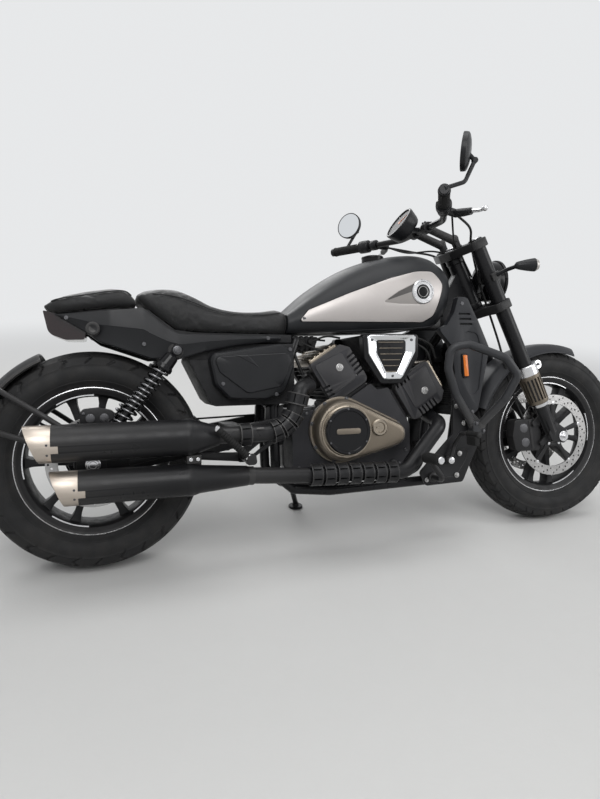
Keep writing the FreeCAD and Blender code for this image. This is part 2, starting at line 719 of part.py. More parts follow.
def frame():
    """Steering head, backbone, twin down tubes and cradle, pivot plates and cross tubes."""
    spine = box(SPINE_X, (-SPINE_Y, SPINE_Y), SPINE_Z)
    tail = box((SPINE_X[0] + 1, SPINE_X[0] + 26), (-SPINE_Y, SPINE_Y), (CROSS[1], SPINE_Z[0] + 1))
    nose = SPINE_X[1] - 4
    gusset = side_plate([(nose, SPINE_Z[0], 0), (1240, 736, 0), (1312, 806, 0), (1262, 930, 0),
                         (nose + 16, 816, 0), (nose + 16, SPINE_Z[1], 0), (nose, SPINE_Z[1], 0)], -18, 18)
    head = raked(rod((0, 0, LOW_CLAMP_S + CLAMP_T / 2 + CLAMP_GAP),
                     (0, 0, TOP_CLAMP_S - CLAMP_T / 2 - CLAMP_GAP), HEAD_R))
    x, z = PIVOT
    down = pipe([(1238, -10, 748), (1206, -DOWN_Y, 654), (1190, -DOWN_Y, 430), (1150, -DOWN_Y, 196),
                 (720, -DOWN_Y, 186), (606, -REAR_Y, 194), (548, -REAR_Y, 244), (x, -REAR_Y, z + 60),
                 (CROSS[0], -REAR_Y, CROSS[1])],
                TUBE_R, [0, 50, 0, 50, 0, 0, 40, 0, 0], 8)
    plate = side_plate([(510, z - 60, 0), (575, z - 60, 0), (575, z + 66, 0), (520, z + 66, 0)],
                       -REAR_Y - 8, 8 - REAR_Y)
    side = fuse([down, plate])
    bolt = rod((x, -ARM_OUTER - 6, z), (x, ARM_OUTER + 6, z), PIVOT_R)
    crosses = [post((CROSS[0], -REAR_Y, CROSS[1]), (CROSS[0], REAR_Y, CROSS[1]), CROSS_R),
               post((x, -REAR_Y, z + 60), (x, REAR_Y, z + 60), CROSS_R)]
    axis = V(*STAND_AXIS)
    pivot = V(*STAND_PIVOT)
    face = STAND_EYE + SEAT_GAP
    boss = post(tuple(pivot - axis * (face + 30)), tuple(pivot - axis * face), 18)
    pin = Part.makeCylinder(STAND_PIN_R, 34 + face, pivot - axis * 30, axis)
    head_cap = post(tuple(pivot + axis * face), tuple(pivot + axis * (face + 5)), 15, 6)
    pieces = [spine, tail, gusset, head, side, mirror(side), bolt, boss, pin, head_cap] + crosses
    stem = raked(rod((0, 0, LOW_CLAMP_S - 40), (0, 0, TOP_CLAMP_S + 40), STEM_R + STEM_FIT))
    return fuse(pieces).cut(stem)


# Bodywork
TANK_ROWS = [
    # x, low, middle, crease, top, low_w, middle_w, crease_w
    (590, 694, 722, 750, 762, 84, 110, 68),
    (680, 696, 756, 816, 836, 92, 130, 82),
    (800, 699, 790, 882, 907, 100, 146, 92),
    (920, 703, 810, 924, 949, 106, 156, 96),
    (1040, 708, 824, 940, 968, 106, 158, 94),
    (1112, 722, 834, 936, 962, 96, 148, 84),
    (1158, 768, 848, 916, 936, 72, 118, 62),
    (1180, 820, 856, 890, 902, 42, 70, 36),
]
PANEL_T = 3.0
PANEL_CORNERS = [(618, 727, 6), (1052, 726, 26), (1088, 748, 20), (1121, 854, 26), (1088, 896, 26),
                 (1030, 896, 120), (923, 869, 200), (783, 819, 100), (648, 763, 14)]
BADGE = (1035.0, 824.0)
BADGE_R = 39.0


def fuel_tank():
    """Teardrop tank with a backbone tunnel and a filler cap."""
    half = SPINE_Y + BODY_GAP
    tank = body_loft(TANK_ROWS)
    tank = tank.cut(box((500, 1250), (-half, half), (600, SPINE_Z[1] + BODY_GAP)))
    return fuse([tank, post((930, 0, 930), (930, 0, 962), 38, 20)])


def tank_panels():
    """Thin side panels that follow the tank, with a round badge seat."""
    tank = body_loft(TANK_ROWS)
    panel = body_loft(TANK_ROWS, PANEL_T).common(side_plate(PANEL_CORNERS, -200, -60))
    badge = post((BADGE[0], -140, BADGE[1]), (BADGE[0], -166, BADGE[1]), BADGE_R, 24)
    return both(fuse([panel, badge])).cut(tank)


SEAT_ROWS = [
    # x, low, middle, crease, top, low_w, middle_w, crease_w
    (137, 790, 799, 808, 816, 80, 90, 76),
    (165, 762, 790, 814, 828, 92, 106, 84),
    (240, 703, 766, 814, 828, 106, 124, 92),
    (300, 695, 748, 792, 805, 112, 130, 96),
    (355, 693.7, 732, 765, 776, 112, 132, 98),
    (420, 692.1, 724, 752, 761, 108, 128, 94),
    (505, 690, 724, 752, 761, 96, 114, 78),
    (588, 688, 728, 764, 774, 76, 96, 56),
]
PAD_ROWS = [
    (-122, 766, 770, 774, 778, 46, 56, 44),
    (-85, 753, 776, 794, 802, 66, 80, 62),
    (0, 759.4, 786, 808, 818, 84, 98, 78),
    (75, 765, 796, 820, 829, 92, 106, 84),
    (108, 766, 796, 816, 824, 92, 104, 82),
    (132, 770, 779, 788, 793, 84, 94, 76),
]


def rider_seat():
    return body_loft(SEAT_ROWS)


def pillion_pad():
    return body_loft(PAD_ROWS)


TAIL_INNER = [(562, 102), (250, 107), (60, 92), (-110, 46)]
TAIL_OUTER = [(-128, 52), (-100, 74), (60, 114), (250, 130), (562, 122)]


def tail_panels():
    """Side panels under the seat, tapered towards the tail, with the strap boss and shock mount."""
    outline = [(-92, 749, 0), (19, 756, 0), (150, 766, 0), (216, 709, 0), (250, 690, 0), (562, 683, 0),
               (560, 668, 0), (422, 655, 0), (329, 638, 0), (262, 618, 0), (172, 616, 30), (27, 667, 0),
               (-11, 697, 0)]
    plan = plan_plate([(x, -y, 0) for x, y in TAIL_OUTER + TAIL_INNER], 560, 800)
    panel = side_plate(outline, -150, -40).common(plan)
    boss = post((11, -90, 704), (11, -128, 704), 20, 12)
    x, z = SHOCK_HIGH
    mount = post((x, -112, z), (x, -126, z), 24)
    pin = post((x, -112, z), (x, SHOCK_EYE_W + BODY_GAP - SHOCK_Y, z), SHOCK_PIN_R)
    return both(fuse([panel, boss, mount, pin]))


def seat_pan():
    """Rear subframe deck that carries the seats between the side panels."""
    front = CROSS[0] - CROSS_R - BODY_GAP
    profile = [(-85, 753, 0), (75, 765, 0), (165, 762, 0), (240, 703, 0), (300, 695, 0), (588, 688, 0),
               (front, 687, 0), (front, 664, 0), (240, 664, 0), (60, 699, 0), (-8, 699, 0)]
    deck = side_plate([(x, z - BODY_GAP, r) for x, z, r in profile], -110, 110)
    throat = REAR_Y - TUBE_R - 4
    right = [(front, -throat, 0), (600, -throat, 0), (600, BODY_GAP - TAIL_INNER[0][1], 0)]
    right += [(x, BODY_GAP - y, 0) for x, y in TAIL_INNER]
    left = [(x, -y, r) for x, y, r in reversed(right)]
    return deck.common(plan_plate(right + left, 600, 800))


def tail_lamp():
    """Smoked lamp that closes the tail under the pad."""
    body = side_plate([(-126, 764, 0), (-85.5, 752.2, 0), (-9, 698.2, 0), (-12, 677, 10), (-66, 677, 30),
                       (-112, 696, 30)], -80, 80)
    tip, root = TAIL_INNER[-1], TAIL_INNER[-2]
    right = [(-130, -36, 20), (tip[0], BODY_GAP - tip[1], 0), (root[0], BODY_GAP - root[1], 0)]
    left = [(x, -y, r) for x, y, r in reversed(right)]
    return body.common(plan_plate(right + left, 600, 800))


BOX_Y = 108.0
BOX_TOP = 660.0
COVER_CORNERS = [(330, 631, 22), (556, 659, 26), (596, 634, 20), (598, 588, 20), (567, 509, 24),
                 (506, 488, 24), (390, 492, 24), (348, 537, 24)]
COVER_CENTRE = (470.0, 575.0)


def inset(share):
    """The side cover's outline drawn smaller about its centre."""
    cx, cz = COVER_CENTRE
    return [(cx + (x - cx) * share, cz + (z - cz) * share, r * share) for x, z, r in COVER_CORNERS]


def side_covers():
    """Bulged covers with a raised centre panel."""
    bulge = faceted([side_corners(inset(1), -BOX_Y), side_corners(inset(0.985), -BOX_Y - 30),
                     side_corners(inset(0.86), -BOX_Y - 40)])
    raised = side_plate(inset(0.74), -BOX_Y - 46, -BOX_Y - 38)
    return both(fuse([bulge, raised]))


def battery_box():
    """Airbox and battery case behind the side covers, notched round the frame's rear tubes."""
    half = BOX_Y - BODY_GAP
    foot = PIVOT[1] + 60 + CROSS_R * FLAT_SHARE + BODY_GAP
    body = side_plate([(286, BOX_TOP, 0), (279, 613, 0), (338, 488, 0), (356, foot, 0), (586, foot, 0),
                       (606, 520, 0), (606, BOX_TOP, 0)], -half, half)
    notch = box((524, 700), (-REAR_Y - TUBE_R - 2, TUBE_R + 2 - REAR_Y), (440, 700))
    top = box((270, 610), (-BOX_Y - 1, -101), (612, 700))
    for tool in (notch, top):
        body = body.cut(tool).cut(mirror(tool))
    return body


RADIATOR_Y = 112.0


def radiator():
    """Core and tanks ahead of the down tubes, on lugs that reach back to them."""
    core = side_plate([(1222, 440, 0), (1256, 436, 0), (1296, 640, 0), (1262, 648, 0)], -RADIATOR_Y, RADIATOR_Y)
    tanks = [side_plate([(1258, 646, 0), (1298, 638, 0), (1304, 668, 0), (1264, 676, 0)], -100, 100),
             side_plate([(1214, 408, 0), (1250, 402, 0), (1256, 438, 0), (1222, 442, 0)], -100, 100)]
    lugs = []
    for y in (-DOWN_Y, DOWN_Y):
        lugs.append(box((1209.3, 1232), (y - 10, y + 10), (456, 476)))
        lugs.append(box((1219.8, 1270), (y - 10, y + 10), (600, 620)))
    return fuse([core] + tanks + lugs)


SHROUD_Y = (118.0, 146.0)


def radiator_shroud():
    """Side cowls from under the tank down past the radiator, with vent slots."""
    outline = [(1104, 704, 0), (1132, 718, 0), (1160, 760, 0), (1176, 812, 0), (1210, 812, 20),
               (1252, 730, 0), (1284, 654, 0), (1292, 622, 20), (1248, 430, 20), (1214, 402, 0),
               (1162, 424, 0), (1160, 560, 60), (1148, 650, 0), (1112, 690, 0)]
    cowl = side_plate(outline, -SHROUD_Y[1], -SHROUD_Y[0]).cut(body_loft(TANK_ROWS, 4.0))
    for row in range(3):
        low = 752 - row * 17
        cowl = cowl.cut(box((1176 + row * 2, 1222 + row * 4), (-SHROUD_Y[1] - 1, 6 - SHROUD_Y[1]),
                            (low, low + 5)))
    arm = post((1250, -SHROUD_Y[0] - 2, 560), (1250, -RADIATOR_Y, 560), 12)
    return both(fuse([cowl, arm]))


# Crash bars and foot controls
PLATE_Y = (150.0, 160.0)
BAR_R = 13.5
BAR_RUN = ((1092.0, -214.0, 570.0), (1214.0, -175.0, 372.0))


def crash_bars():
    """Heart-shaped loop each side, both ends in one clamp on the footrest plate."""
    route = [BAR_RUN[1], (1128, -200, 486), BAR_RUN[0], (1094, -226, 640), (1150, -244, 648),
             (1262, -280, 602), (1302, -288, 545), (1272, -262, 470), (1226, -182, 376)]
    loop = pipe(route, BAR_R, [0, 0, 0, 34, 40, 40, 30, 0, 0], 10, 60)
    clamp = side_plate([(1196, 352, 0), (1240, 352, 0), (1246, 396, 0), (1196, 396, 0)], -196, -PLATE_Y[1])
    return both(fuse([loop, clamp]))


def footrest_plates():
    """Lower plates that carry pegs, pedals and crash bars, on bosses from the down tubes."""
    plate = side_plate([(1142, 468, 0), (1160, 474, 0), (1243, 400, 20), (1243, 325, 20), (1176, 190, 14),
                        (1036, 186, 14), (1014, 232, 14), (1102, 316, 0), (1140, 352, 0)],
                       -PLATE_Y[1], -PLATE_Y[0])
    bosses = []
    for x, z in ((1183, 388), (1165, 286), (1153, 214)):
        bosses.append(post((x, -PLATE_Y[0] - 1, z), (x, -DOWN_Y - TUBE_R - 0.8, z), 12))
    return both(fuse([plate] + bosses))


PEG = ((997.0, -232.0, 292.0), (1004.0, -308.0, 292.0))


def rider_pegs():
    """Rubber pegs on arms that pass under the pipes from the plates."""
    arm = pipe([(1060, -PLATE_Y[1] - 1, 214), (1056, -242, 216), (998, -246, 292)], 9, [0, 30, 0], 8)
    foot = post((1060, -PLATE_Y[1] - 10, 214), (1060, -PLATE_Y[1], 214), 16)
    peg = post(PEG[0], PEG[1], 18)
    end = post(PEG[1], (PEG[1][0], PEG[1][1] - 8, PEG[1][2]), 12)
    return both(fuse([arm, foot, peg, end]))


def foot_lever():
    """Pedal arm from its pivot on the plate to a pad."""
    pivot = post((1120, -PLATE_Y[1] - 22, 268), (1120, -PLATE_Y[1], 268), 13)
    arm = pipe([(1120, -PLATE_Y[1] - 14, 268), (1136, -PLATE_Y[1] - 16, 320), (1142, -206, 358),
                (1144, -240, 362)], 7, [0, 0, 0, 0], 6)
    return fuse([pivot, arm, post((1144, -232, 362), (1148, -302, 360), 10)])


def brake_pedal():
    """Right pedal: its pad turns down along the front like an L."""
    return fuse([foot_lever(), box((1134, 1150), (-298, -250), (326, 356))])


def gear_lever():
    return mirror(foot_lever())


HANGER_Y = (ARM_OUTER + 6, ARM_OUTER + 14)
FOLD_PEG = ((424.0, -268.0, 326.0), (330.0, -268.0, 418.0))


def passenger_pegs():
    """Folded rear pegs on plates bolted to the swingarm pivot; the right one holds the mufflers."""
    x, y, z = FOLD_PEG[0]
    plate = side_plate([(PIVOT[0] + 18, PIVOT[1] + 18, 10), (PIVOT[0] + 18, PIVOT[1] - 18, 10), (440, 304, 10),
                        (408, 304, 10), (408, 336, 10), (PIVOT[0] - 18, PIVOT[1] + 18, 10)],
                       -HANGER_Y[1], -HANGER_Y[0])
    arm = post((x, -HANGER_Y[0], z - 4), (x, y, z - 4), 11)
    side = fuse([plate, arm, post(FOLD_PEG[0], FOLD_PEG[1], 11)])
    strap = side_plate([(420, 306, 0), (420, 334, 0), (250, 341, 0), (250, 324, 0)], -HANGER_Y[1], -HANGER_Y[0])
    bridge = box((250, 290), (MUFFLER_Y - 12, -HANGER_Y[0]), (LOWER_Z + 45.4, UPPER_Z - 50.8))
    return fuse([side, mirror(side), strap, bridge])


# Rear fender on the swingarm
FENDER_R = 342.0
FENDER_T = 5.0
FENDER_W = 94.0
PLATE_SIZE = (220.0, 2.5, 140.0)


def fender_shell(radius, thickness, half_w, drop, x, z, start, end):
    """Arched mudguard: a shallow U section swept about the axle between two angles."""
    inner = [(-half_w, radius - drop), (-half_w * 0.6, radius - drop * 0.12), (half_w * 0.6, radius - drop * 0.12),
             (half_w, radius - drop)]
    section = inner + [(y, r + thickness) for y, r in reversed(inner)]
    shell = Part.Face(polygon([V(r, y, 0) for y, r in section]))
    shell = shell.revolve(V(0, 0, 0), V(0, 1, 0), start - end)
    shell.rotate(V(0, 0, 0), V(0, 1, 0), -start)
    shell.translate(V(x, 0, z))
    return shell


def rear_fender():
    """Tyre hugger behind the wheel with its arms, plate holder and lamp beam."""
    shell = fender_shell(FENDER_R, FENDER_T, FENDER_W, 22, 0, REAR_Z, 114, 188)
    start_y = -ARM_OUTER - 9
    high = pipe([(22, start_y, REAR_Z + 34), (-120, start_y, 462), (-262, -FENDER_W - 1, 552)], 8, [0, 0, 0], 6)
    low = pipe([(0, start_y, REAR_Z + 31), (-160, start_y, 396), (-326, -FENDER_W - 1, 450)], 8, [0, 0, 0], 6)
    lug = box((-14, 40), (-ARM_OUTER - 12, -ARM_OUTER), (REAR_Z + 21, REAR_Z + 44))
    side = fuse([high, low, lug])
    back = -REACH_BACK + PLATE_SIZE[1]
    holder = side_plate([(back + 16, 362, 0), (back, 362, 0), (back, 560, 0), (-300, 590, 0), (-296, 560, 0),
                         (back + 12, 530, 0)], -60, 60)
    beam = post((-338, -150, 520), (-338, 150, 520), 8)
    return fuse([shell, side, mirror(side), holder, beam])


def number_plate():
    wide, thick, high = PLATE_SIZE
    return box((-REACH_BACK, thick - REACH_BACK), (-wide / 2, wide / 2), (390, 390 + high))


def rear_signals():
    lamp = stack((-300, -174, 520), (-1, 0, 0), [(0, 14), (52, 21)], 10)
    return both(fuse([lamp, post((-338, -150.3, 520), (-338, -174, 520), 8)]))


# Fork and steering
FORK_R = 26.0
FORK_TOP = 778.0
RING_S = (262.0, 300.0)   # clamp ring and slotted cage, along the steering axis
CAGE_S = (152.0, 262.0)
RING_R = 39.0
RING_INNER = 73.0         # flat towards the tyre
LOWER_R = 23.0
AXLE_END = 128.0


def triple_clamps():
    """Upper and lower yokes, each gripping both legs, and the stem between them."""
    pieces = []
    for height, stretch in ((LOW_CLAMP_S, 42), (TOP_CLAMP_S, 34)):
        right = [(-stretch, -36, 0), (LEG_OFFSET - 30, -LEG_Y - 32, 20), (LEG_OFFSET + 31, -LEG_Y - 32, 20),
                 (LEG_OFFSET + 31, -LEG_Y + 20, 0), (LEG_OFFSET + 10, -50, 0)]
        left = [(x, -y, r) for x, y, r in reversed(right)]
        yoke = plan_plate(right + left, height - CLAMP_T / 2, height + CLAMP_T / 2)
        for y in (-LEG_Y, LEG_Y):
            yoke = yoke.cut(post((LEG_OFFSET, y, height - 30), (LEG_OFFSET, y, height + 30), FORK_R, 20))
        pieces.append(yoke)
    pieces.append(rod((0, 0, LOW_CLAMP_S), (0, 0, TOP_CLAMP_S), STEM_R))
    pieces.append(post((0, 0, TOP_CLAMP_S + 14), (0, 0, TOP_CLAMP_S + 24), 18, 6))
    return raked(fuse(pieces))


def fork_tubes():
    leg = stack((LEG_OFFSET, -LEG_Y, RING_S[0]), (0, 0, 1),
                [(0, FORK_R), (FORK_TOP - RING_S[0], FORK_R), (FORK_TOP - RING_S[0] + 8, FORK_R - 6)], 20)
    return both(raked(leg))


def fork_lowers():
    """Clamp ring with ear, slotted cage, lower leg, axle clamp and caliper lugs."""
    ring = post((LEG_OFFSET, -LEG_Y, RING_S[0]), (LEG_OFFSET, -LEG_Y, RING_S[1]), RING_R, 16)
    ring = ring.cut(post((LEG_OFFSET, -LEG_Y, RING_S[0] - 1), (LEG_OFFSET, -LEG_Y, RING_S[1] + 1), FORK_R, 20))
    ear = box((LEG_OFFSET + 34, LEG_OFFSET + 62), (-LEG_Y - 13, -LEG_Y + 13), (RING_S[0] + 4, RING_S[1] - 2))
    cage = stack((LEG_OFFSET, -LEG_Y, CAGE_S[0]), (0, 0, 1), [(0, 36), (CAGE_S[1] - CAGE_S[0], RING_R)], 16)
    for index in range(5):
        slot = box((30, 50), (-6, 6), (CAGE_S[0] + 16, CAGE_S[1] - 14))
        slot.rotate(V(0, 0, 0), V(0, 0, 1), 180 + index * 45)
        slot.translate(V(LEG_OFFSET, -LEG_Y, 0))
        cage = cage.cut(slot)
    inside = box((LEG_OFFSET - 60, LEG_OFFSET + 80), (-RING_INNER, 0), (CAGE_S[0] - 1, RING_S[1] + 1))
    upper = fuse([ring, ear, cage]).cut(inside)
    leg = stack((LEG_OFFSET, -LEG_Y, 30), (0, 0, 1), [(0, LOWER_R), (CAGE_S[0] - 29, LOWER_R + 3)], 14)
    foot = side_plate([(LEG_OFFSET - 22, 40, 0), (LEG_OFFSET - 20, 4, 0), (AXLE_LEAD - 8, -24, 16),
                       (AXLE_LEAD + 22, -18, 16), (AXLE_LEAD + 20, 20, 0), (LEG_OFFSET + 22, 62, 0)],
                      -LEG_Y - 20, -LEG_Y + 20)
    face = -FRONT_DISC_Y - 27
    lugs = []
    for low in (84, 6):
        lugs.append(side_plate([(LEG_OFFSET - 10, low + 30, 0), (LEG_OFFSET - 60, low + 12, 0),
                                (LEG_OFFSET - 60, low - 6, 0), (LEG_OFFSET - 10, low, 0)],
                               face - 10, face - BODY_GAP))
    side = fuse([upper, leg, foot] + lugs)
    side = side.cut(rod((AXLE_LEAD, -LEG_Y - 40, 0), (AXLE_LEAD, -LEG_Y + 40, 0), AXLE_R))
    return both(raked(side))


def front_axle():
    shaft = rod((WHEELBASE, -AXLE_END, FRONT_Z), (WHEELBASE, AXLE_END, FRONT_Z), AXLE_R)
    nut = post((WHEELBASE, -AXLE_END - 8, FRONT_Z), (WHEELBASE, -LEG_Y - 20, FRONT_Z), 16, 6)
    spacer = post((WHEELBASE, 20 - LEG_Y, FRONT_Z), (WHEELBASE, -FRONT_HUB_W / 2 - SEAT_GAP, FRONT_Z), 17)
    return fuse([shaft, nut, mirror(nut), spacer, mirror(spacer)])


def front_calipers():
    """Radial calipers behind the legs, each slotted over its disc."""
    body = side_plate([(1436, 384, 12), (1525, 384, 0), (1547, 332, 0), (1540, 268, 0), (1440, 270, 14),
                       (1426, 326, 0)], -FRONT_DISC_Y - 27, 16 - FRONT_DISC_Y)
    hollow = rod((WHEELBASE, -FRONT_DISC_Y - DISC_T / 2 - 2, FRONT_Z),
                 (WHEELBASE, -FRONT_DISC_Y + DISC_T / 2 + 2, FRONT_Z), FRONT_DISC_R + 6)
    return both(body.cut(hollow))


FRONT_FENDER_R = 338.0
FRONT_FENDER_W = 76.0


def front_fender():
    """Short guard over the tyre, on tabs that lie against the fork's clamp rings."""
    shell = fender_shell(FRONT_FENDER_R, 4, FRONT_FENDER_W, 34, WHEELBASE, FRONT_Z, 72, 160)
    tab = raked(box((LEG_OFFSET - 15, LEG_OFFSET + 15), (-RING_INNER, 3 - RING_INNER), (RING_S[0] + 8, 309)))
    return fuse([shell, tab, mirror(tab)])


LAMP = (1424.0, 890.0)
LAMP_R = 74.0


def headlamp():
    """Round lamp between the legs: shell, bezel, domed glass and side plates."""
    x, z = LAMP
    shell = stack((x, 0, z), (1, 0, 0), [(-70, LAMP_R - 30), (-54, LAMP_R - 2), (-9, LAMP_R), (-7, LAMP_R + 4),
                                         (4, LAMP_R + 4), (5, LAMP_R - 4), (26, LAMP_R - 30)], 20)
    plate = box((x - 116, x - 30), (-LEG_Y + FORK_R, -LAMP_R + 10), (z - 22, z + 22))
    return fuse([shell, plate, mirror(plate)])


BAR_POINTS = [(958, -424, 1066), (1120, -150, 1062), (1120, 150, 1062), (958, 424, 1066)]
BAR_TUBE_R = 11.0
RISER_Y = 42.0


def handlebar():
    """Swept bar and two pull-back risers from the upper yoke."""
    bar = pipe(BAR_POINTS, BAR_TUBE_R, [0, 90, 90, 0], 12, 30)
    top = TOP_CLAMP_S + CLAMP_T / 2
    foot = raked(post((2, -RISER_Y, top + 0.1), (2, -RISER_Y, top + 34), 16))
    arm = post((1231, -RISER_Y, 1022), (BAR_POINTS[1][0], -RISER_Y, BAR_POINTS[1][2]), 14)
    block = post((BAR_POINTS[1][0], -RISER_Y - 15, BAR_POINTS[1][2]),
                 (BAR_POINTS[1][0], 15 - RISER_Y, BAR_POINTS[1][2]), 20, 10)
    side = fuse([foot, arm, block])
    return fuse([bar, side, mirror(side)])


def bar_point(distance, dx=0.0, dy=0.0, dz=0.0):
    """Point at a distance from the right bar end along the bar, with an offset."""
    end = V(*BAR_POINTS[0])
    along = (V(*BAR_POINTS[1]) - end).normalize()
    point = end + along * distance
    return (point.x + dx, point.y + dy, point.z + dz)


def bar_piece(near, far, radius):
    """Sleeve on the right half of the bar between two distances from its end."""
    return post(bar_point(near), bar_point(far), radius + BODY_GAP, 12)


def grips():
    sleeve = post(bar_point(1), bar_point(124), 17, 12)
    return both(sleeve.cut(bar_piece(-10, 140, BAR_TUBE_R)))


LEVER_AT = 196.0


def hand_controls():
    """Switch pods, master cylinders and ball-ended levers."""
    pod = post(bar_point(128), bar_point(172), 24, 10)
    clamp = post(bar_point(184), bar_point(208), 19, 10)
    master = pipe([bar_point(LEVER_AT, 8), bar_point(LEVER_AT, 46, 6, -6), bar_point(LEVER_AT, 62, -54, -14)],
                  13, [0, 0, 0], 8)
    lever = pipe([bar_point(LEVER_AT, 62, -50, -14), bar_point(LEVER_AT, 56, -112, -26),
                  bar_point(LEVER_AT, 34, -165, -36)], 6, [0, 0, 0], 6)
    ball = post(bar_point(LEVER_AT, 37, -158, -35), bar_point(LEVER_AT, 31, -173, -38), 9)
    unit = fuse([pod, clamp, master, lever, ball])
    return both(unit.cut(bar_piece(-10, 240, BAR_TUBE_R)))


def instrument():
    """Round gauge on a bracket in front of the rider."""
    centre = V(1036, 0, 1084)
    facing = V(-0.81, 0, 0.586)
    back = centre - facing * 44
    housing = stack(tuple(centre), tuple(facing), [(-44, 52), (0, 62), (6, 58)], 20)
    stay = box((back.x - 2, BAR_POINTS[1][0] - BAR_TUBE_R - 0.2), (-12, 12), (1056, 1068))
    return fuse([housing, stay])


MIRROR_R = 53.0


def mirrors():
    """Bar-end mirrors: clamp, jointed stem and a round glass turned to the rider."""
    x, y, z = BAR_POINTS[0]
    clamp = post(bar_point(-14), bar_point(0), 16, 10)
    stem = pipe([(x - 6, y - 12, z + 2), (x + 58, y - 12, z + 24), (x + 98, y - 2, z + 90)], 6, [0, 24, 0], 6)
    glass = stack((0, 0, 0), (0, 0, 1), [(-16, 32), (-8, MIRROR_R - 2), (-6, MIRROR_R), (7, MIRROR_R)], 18)
    glass.rotate(V(0, 0, 0), V(0, 1, 0), -82)
    glass.rotate(V(0, 0, 0), V(0, 0, 1), -36)
    glass.translate(V(x + 66, y - 2, z + 112))
    neck = post((x + 98, y - 2, z + 90), (x + 74, y - 4, z + 108), 7, 6)
    return both(fuse([clamp, stem, glass, neck]))


def front_signals():
    """Teardrop indicators on stalks from blocks against the fork legs."""
    block = raked(box((LEG_OFFSET - 14, LEG_OFFSET + 20), (-LEG_Y - FORK_R - 10, -LEG_Y - FORK_R), (626, 652)))
    stalk = pipe([(1336, -138, 892), (1352, -168, 904), (1364, -204, 910)], 7, [0, 0, 0], 6)
    shell = stack((1352, -212, 910), (82, -17, 3), [(0, 12), (66, 22), (80, 18)], 10)
    return both(fuse([block, stalk, shell]))


# Side stand
STAND_PIVOT = (650.0, 140.0, 206.0)
STAND_FOOT = (716.0, 276.0)
STAND_TILT = 42.3         # the pivot pin's rise towards the left
STAND_AXIS = (0.0, math.cos(math.radians(STAND_TILT)), math.sin(math.radians(STAND_TILT)))
STAND_EYE = 12.0          # half length of the eye
STAND_PIN_R = 9.0
STAND_FIT = 0.05


def side_stand():
    """Leg, pivot eye and a foot that lies flat on the ground when the machine leans."""
    axis = V(*STAND_AXIS)
    pivot = V(*STAND_PIVOT)
    foot = V(STAND_FOOT[0], STAND_FOOT[1], (STAND_FOOT[1] * SIN_LEAN - GROUND_DROP) / COS_LEAN)
    up = V(0, -SIN_LEAN, COS_LEAN)
    ankle = foot + up * 16
    pad = post(tuple(foot), tuple(foot + up * 9), 27)
    ankle_post = post(tuple(foot + up * 5), tuple(foot + up * 22), 12)
    leg = post(tuple(pivot), tuple(ankle), 10.5)
    eye = post(tuple(pivot - axis * STAND_EYE), tuple(pivot + axis * STAND_EYE), 20, 10)
    bore = Part.makeCylinder(STAND_PIN_R + STAND_FIT, 80, pivot - axis * 40, axis)
    return fuse([leg, ankle_post, pad, eye]).cut(bore)


NODES = {
    "rear_tyre": rear_tyre,
    "rear_rim": rear_rim,
    "rear_disc": rear_disc,
    "rear_pulley": rear_pulley,
    "front_tyre": front_tyre,
    "front_rim": front_rim,
    "front_discs": front_discs,
    "swingarm": swingarm,
    "rear_axle": rear_axle,
    "shocks": shocks,
    "rear_caliper": rear_caliper,
    "drive_belt": drive_belt,
    "crankcase": crankcase,
    "pulley_cover": pulley_cover,
    "clutch_cover": clutch_cover,
    "rear_cylinder": lambda: cylinder(REAR_TILT),
    "front_cylinder": lambda: cylinder(FRONT_TILT),
    "air_intake": air_intake,
    "rear_exhaust": rear_exhaust,
    "front_exhaust": front_exhaust,
    "pipe_shields": pipe_shields,
    "frame": frame,
    "fuel_tank": fuel_tank,
    "tank_panels": tank_panels,
    "rider_seat": rider_seat,
    "pillion_pad": pillion_pad,
    "tail_panels": tail_panels,
    "seat_pan": seat_pan,
    "tail_lamp": tail_lamp,
    "side_covers": side_covers,
    "battery_box": battery_box,
    "radiator": radiator,
    "radiator_shroud": radiator_shroud,
    "crash_bars": crash_bars,
    "footrest_plates": footrest_plates,
    "rider_pegs": rider_pegs,
    "brake_pedal": brake_pedal,
    "gear_lever": gear_lever,
    "passenger_pegs": passenger_pegs,
    "rear_fender": rear_fender,
    "number_plate": number_plate,
    "rear_signals": rear_signals,
    "triple_clamps": triple_clamps,
    "fork_tubes": fork_tubes,
    "fork_lowers": fork_lowers,
    "front_axle": front_axle,
    "front_calipers": front_calipers,
    "front_fender": front_fender,
    "headlamp": headlamp,
    "handlebar": handlebar,
    "grips": grips,
    "hand_controls": hand_controls,
    "instrument": instrument,
    "mirrors": mirrors,
    "front_signals": front_signals,
    "side_stand": side_stand,
}


def main():
    os.makedirs("parts", exist_ok=True)
    for name, make in NODES.items():
        placed(make()).exportStep("parts/" + name + ".step")


if __name__ == "__main__":
    main()
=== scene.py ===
from math import acos, atan, atan2, ceil, cos, degrees, dist, hypot, pi, radians, sin, sqrt, tan
import bpy
import bmesh
import numpy as np
from mathutils import Matrix, Vector

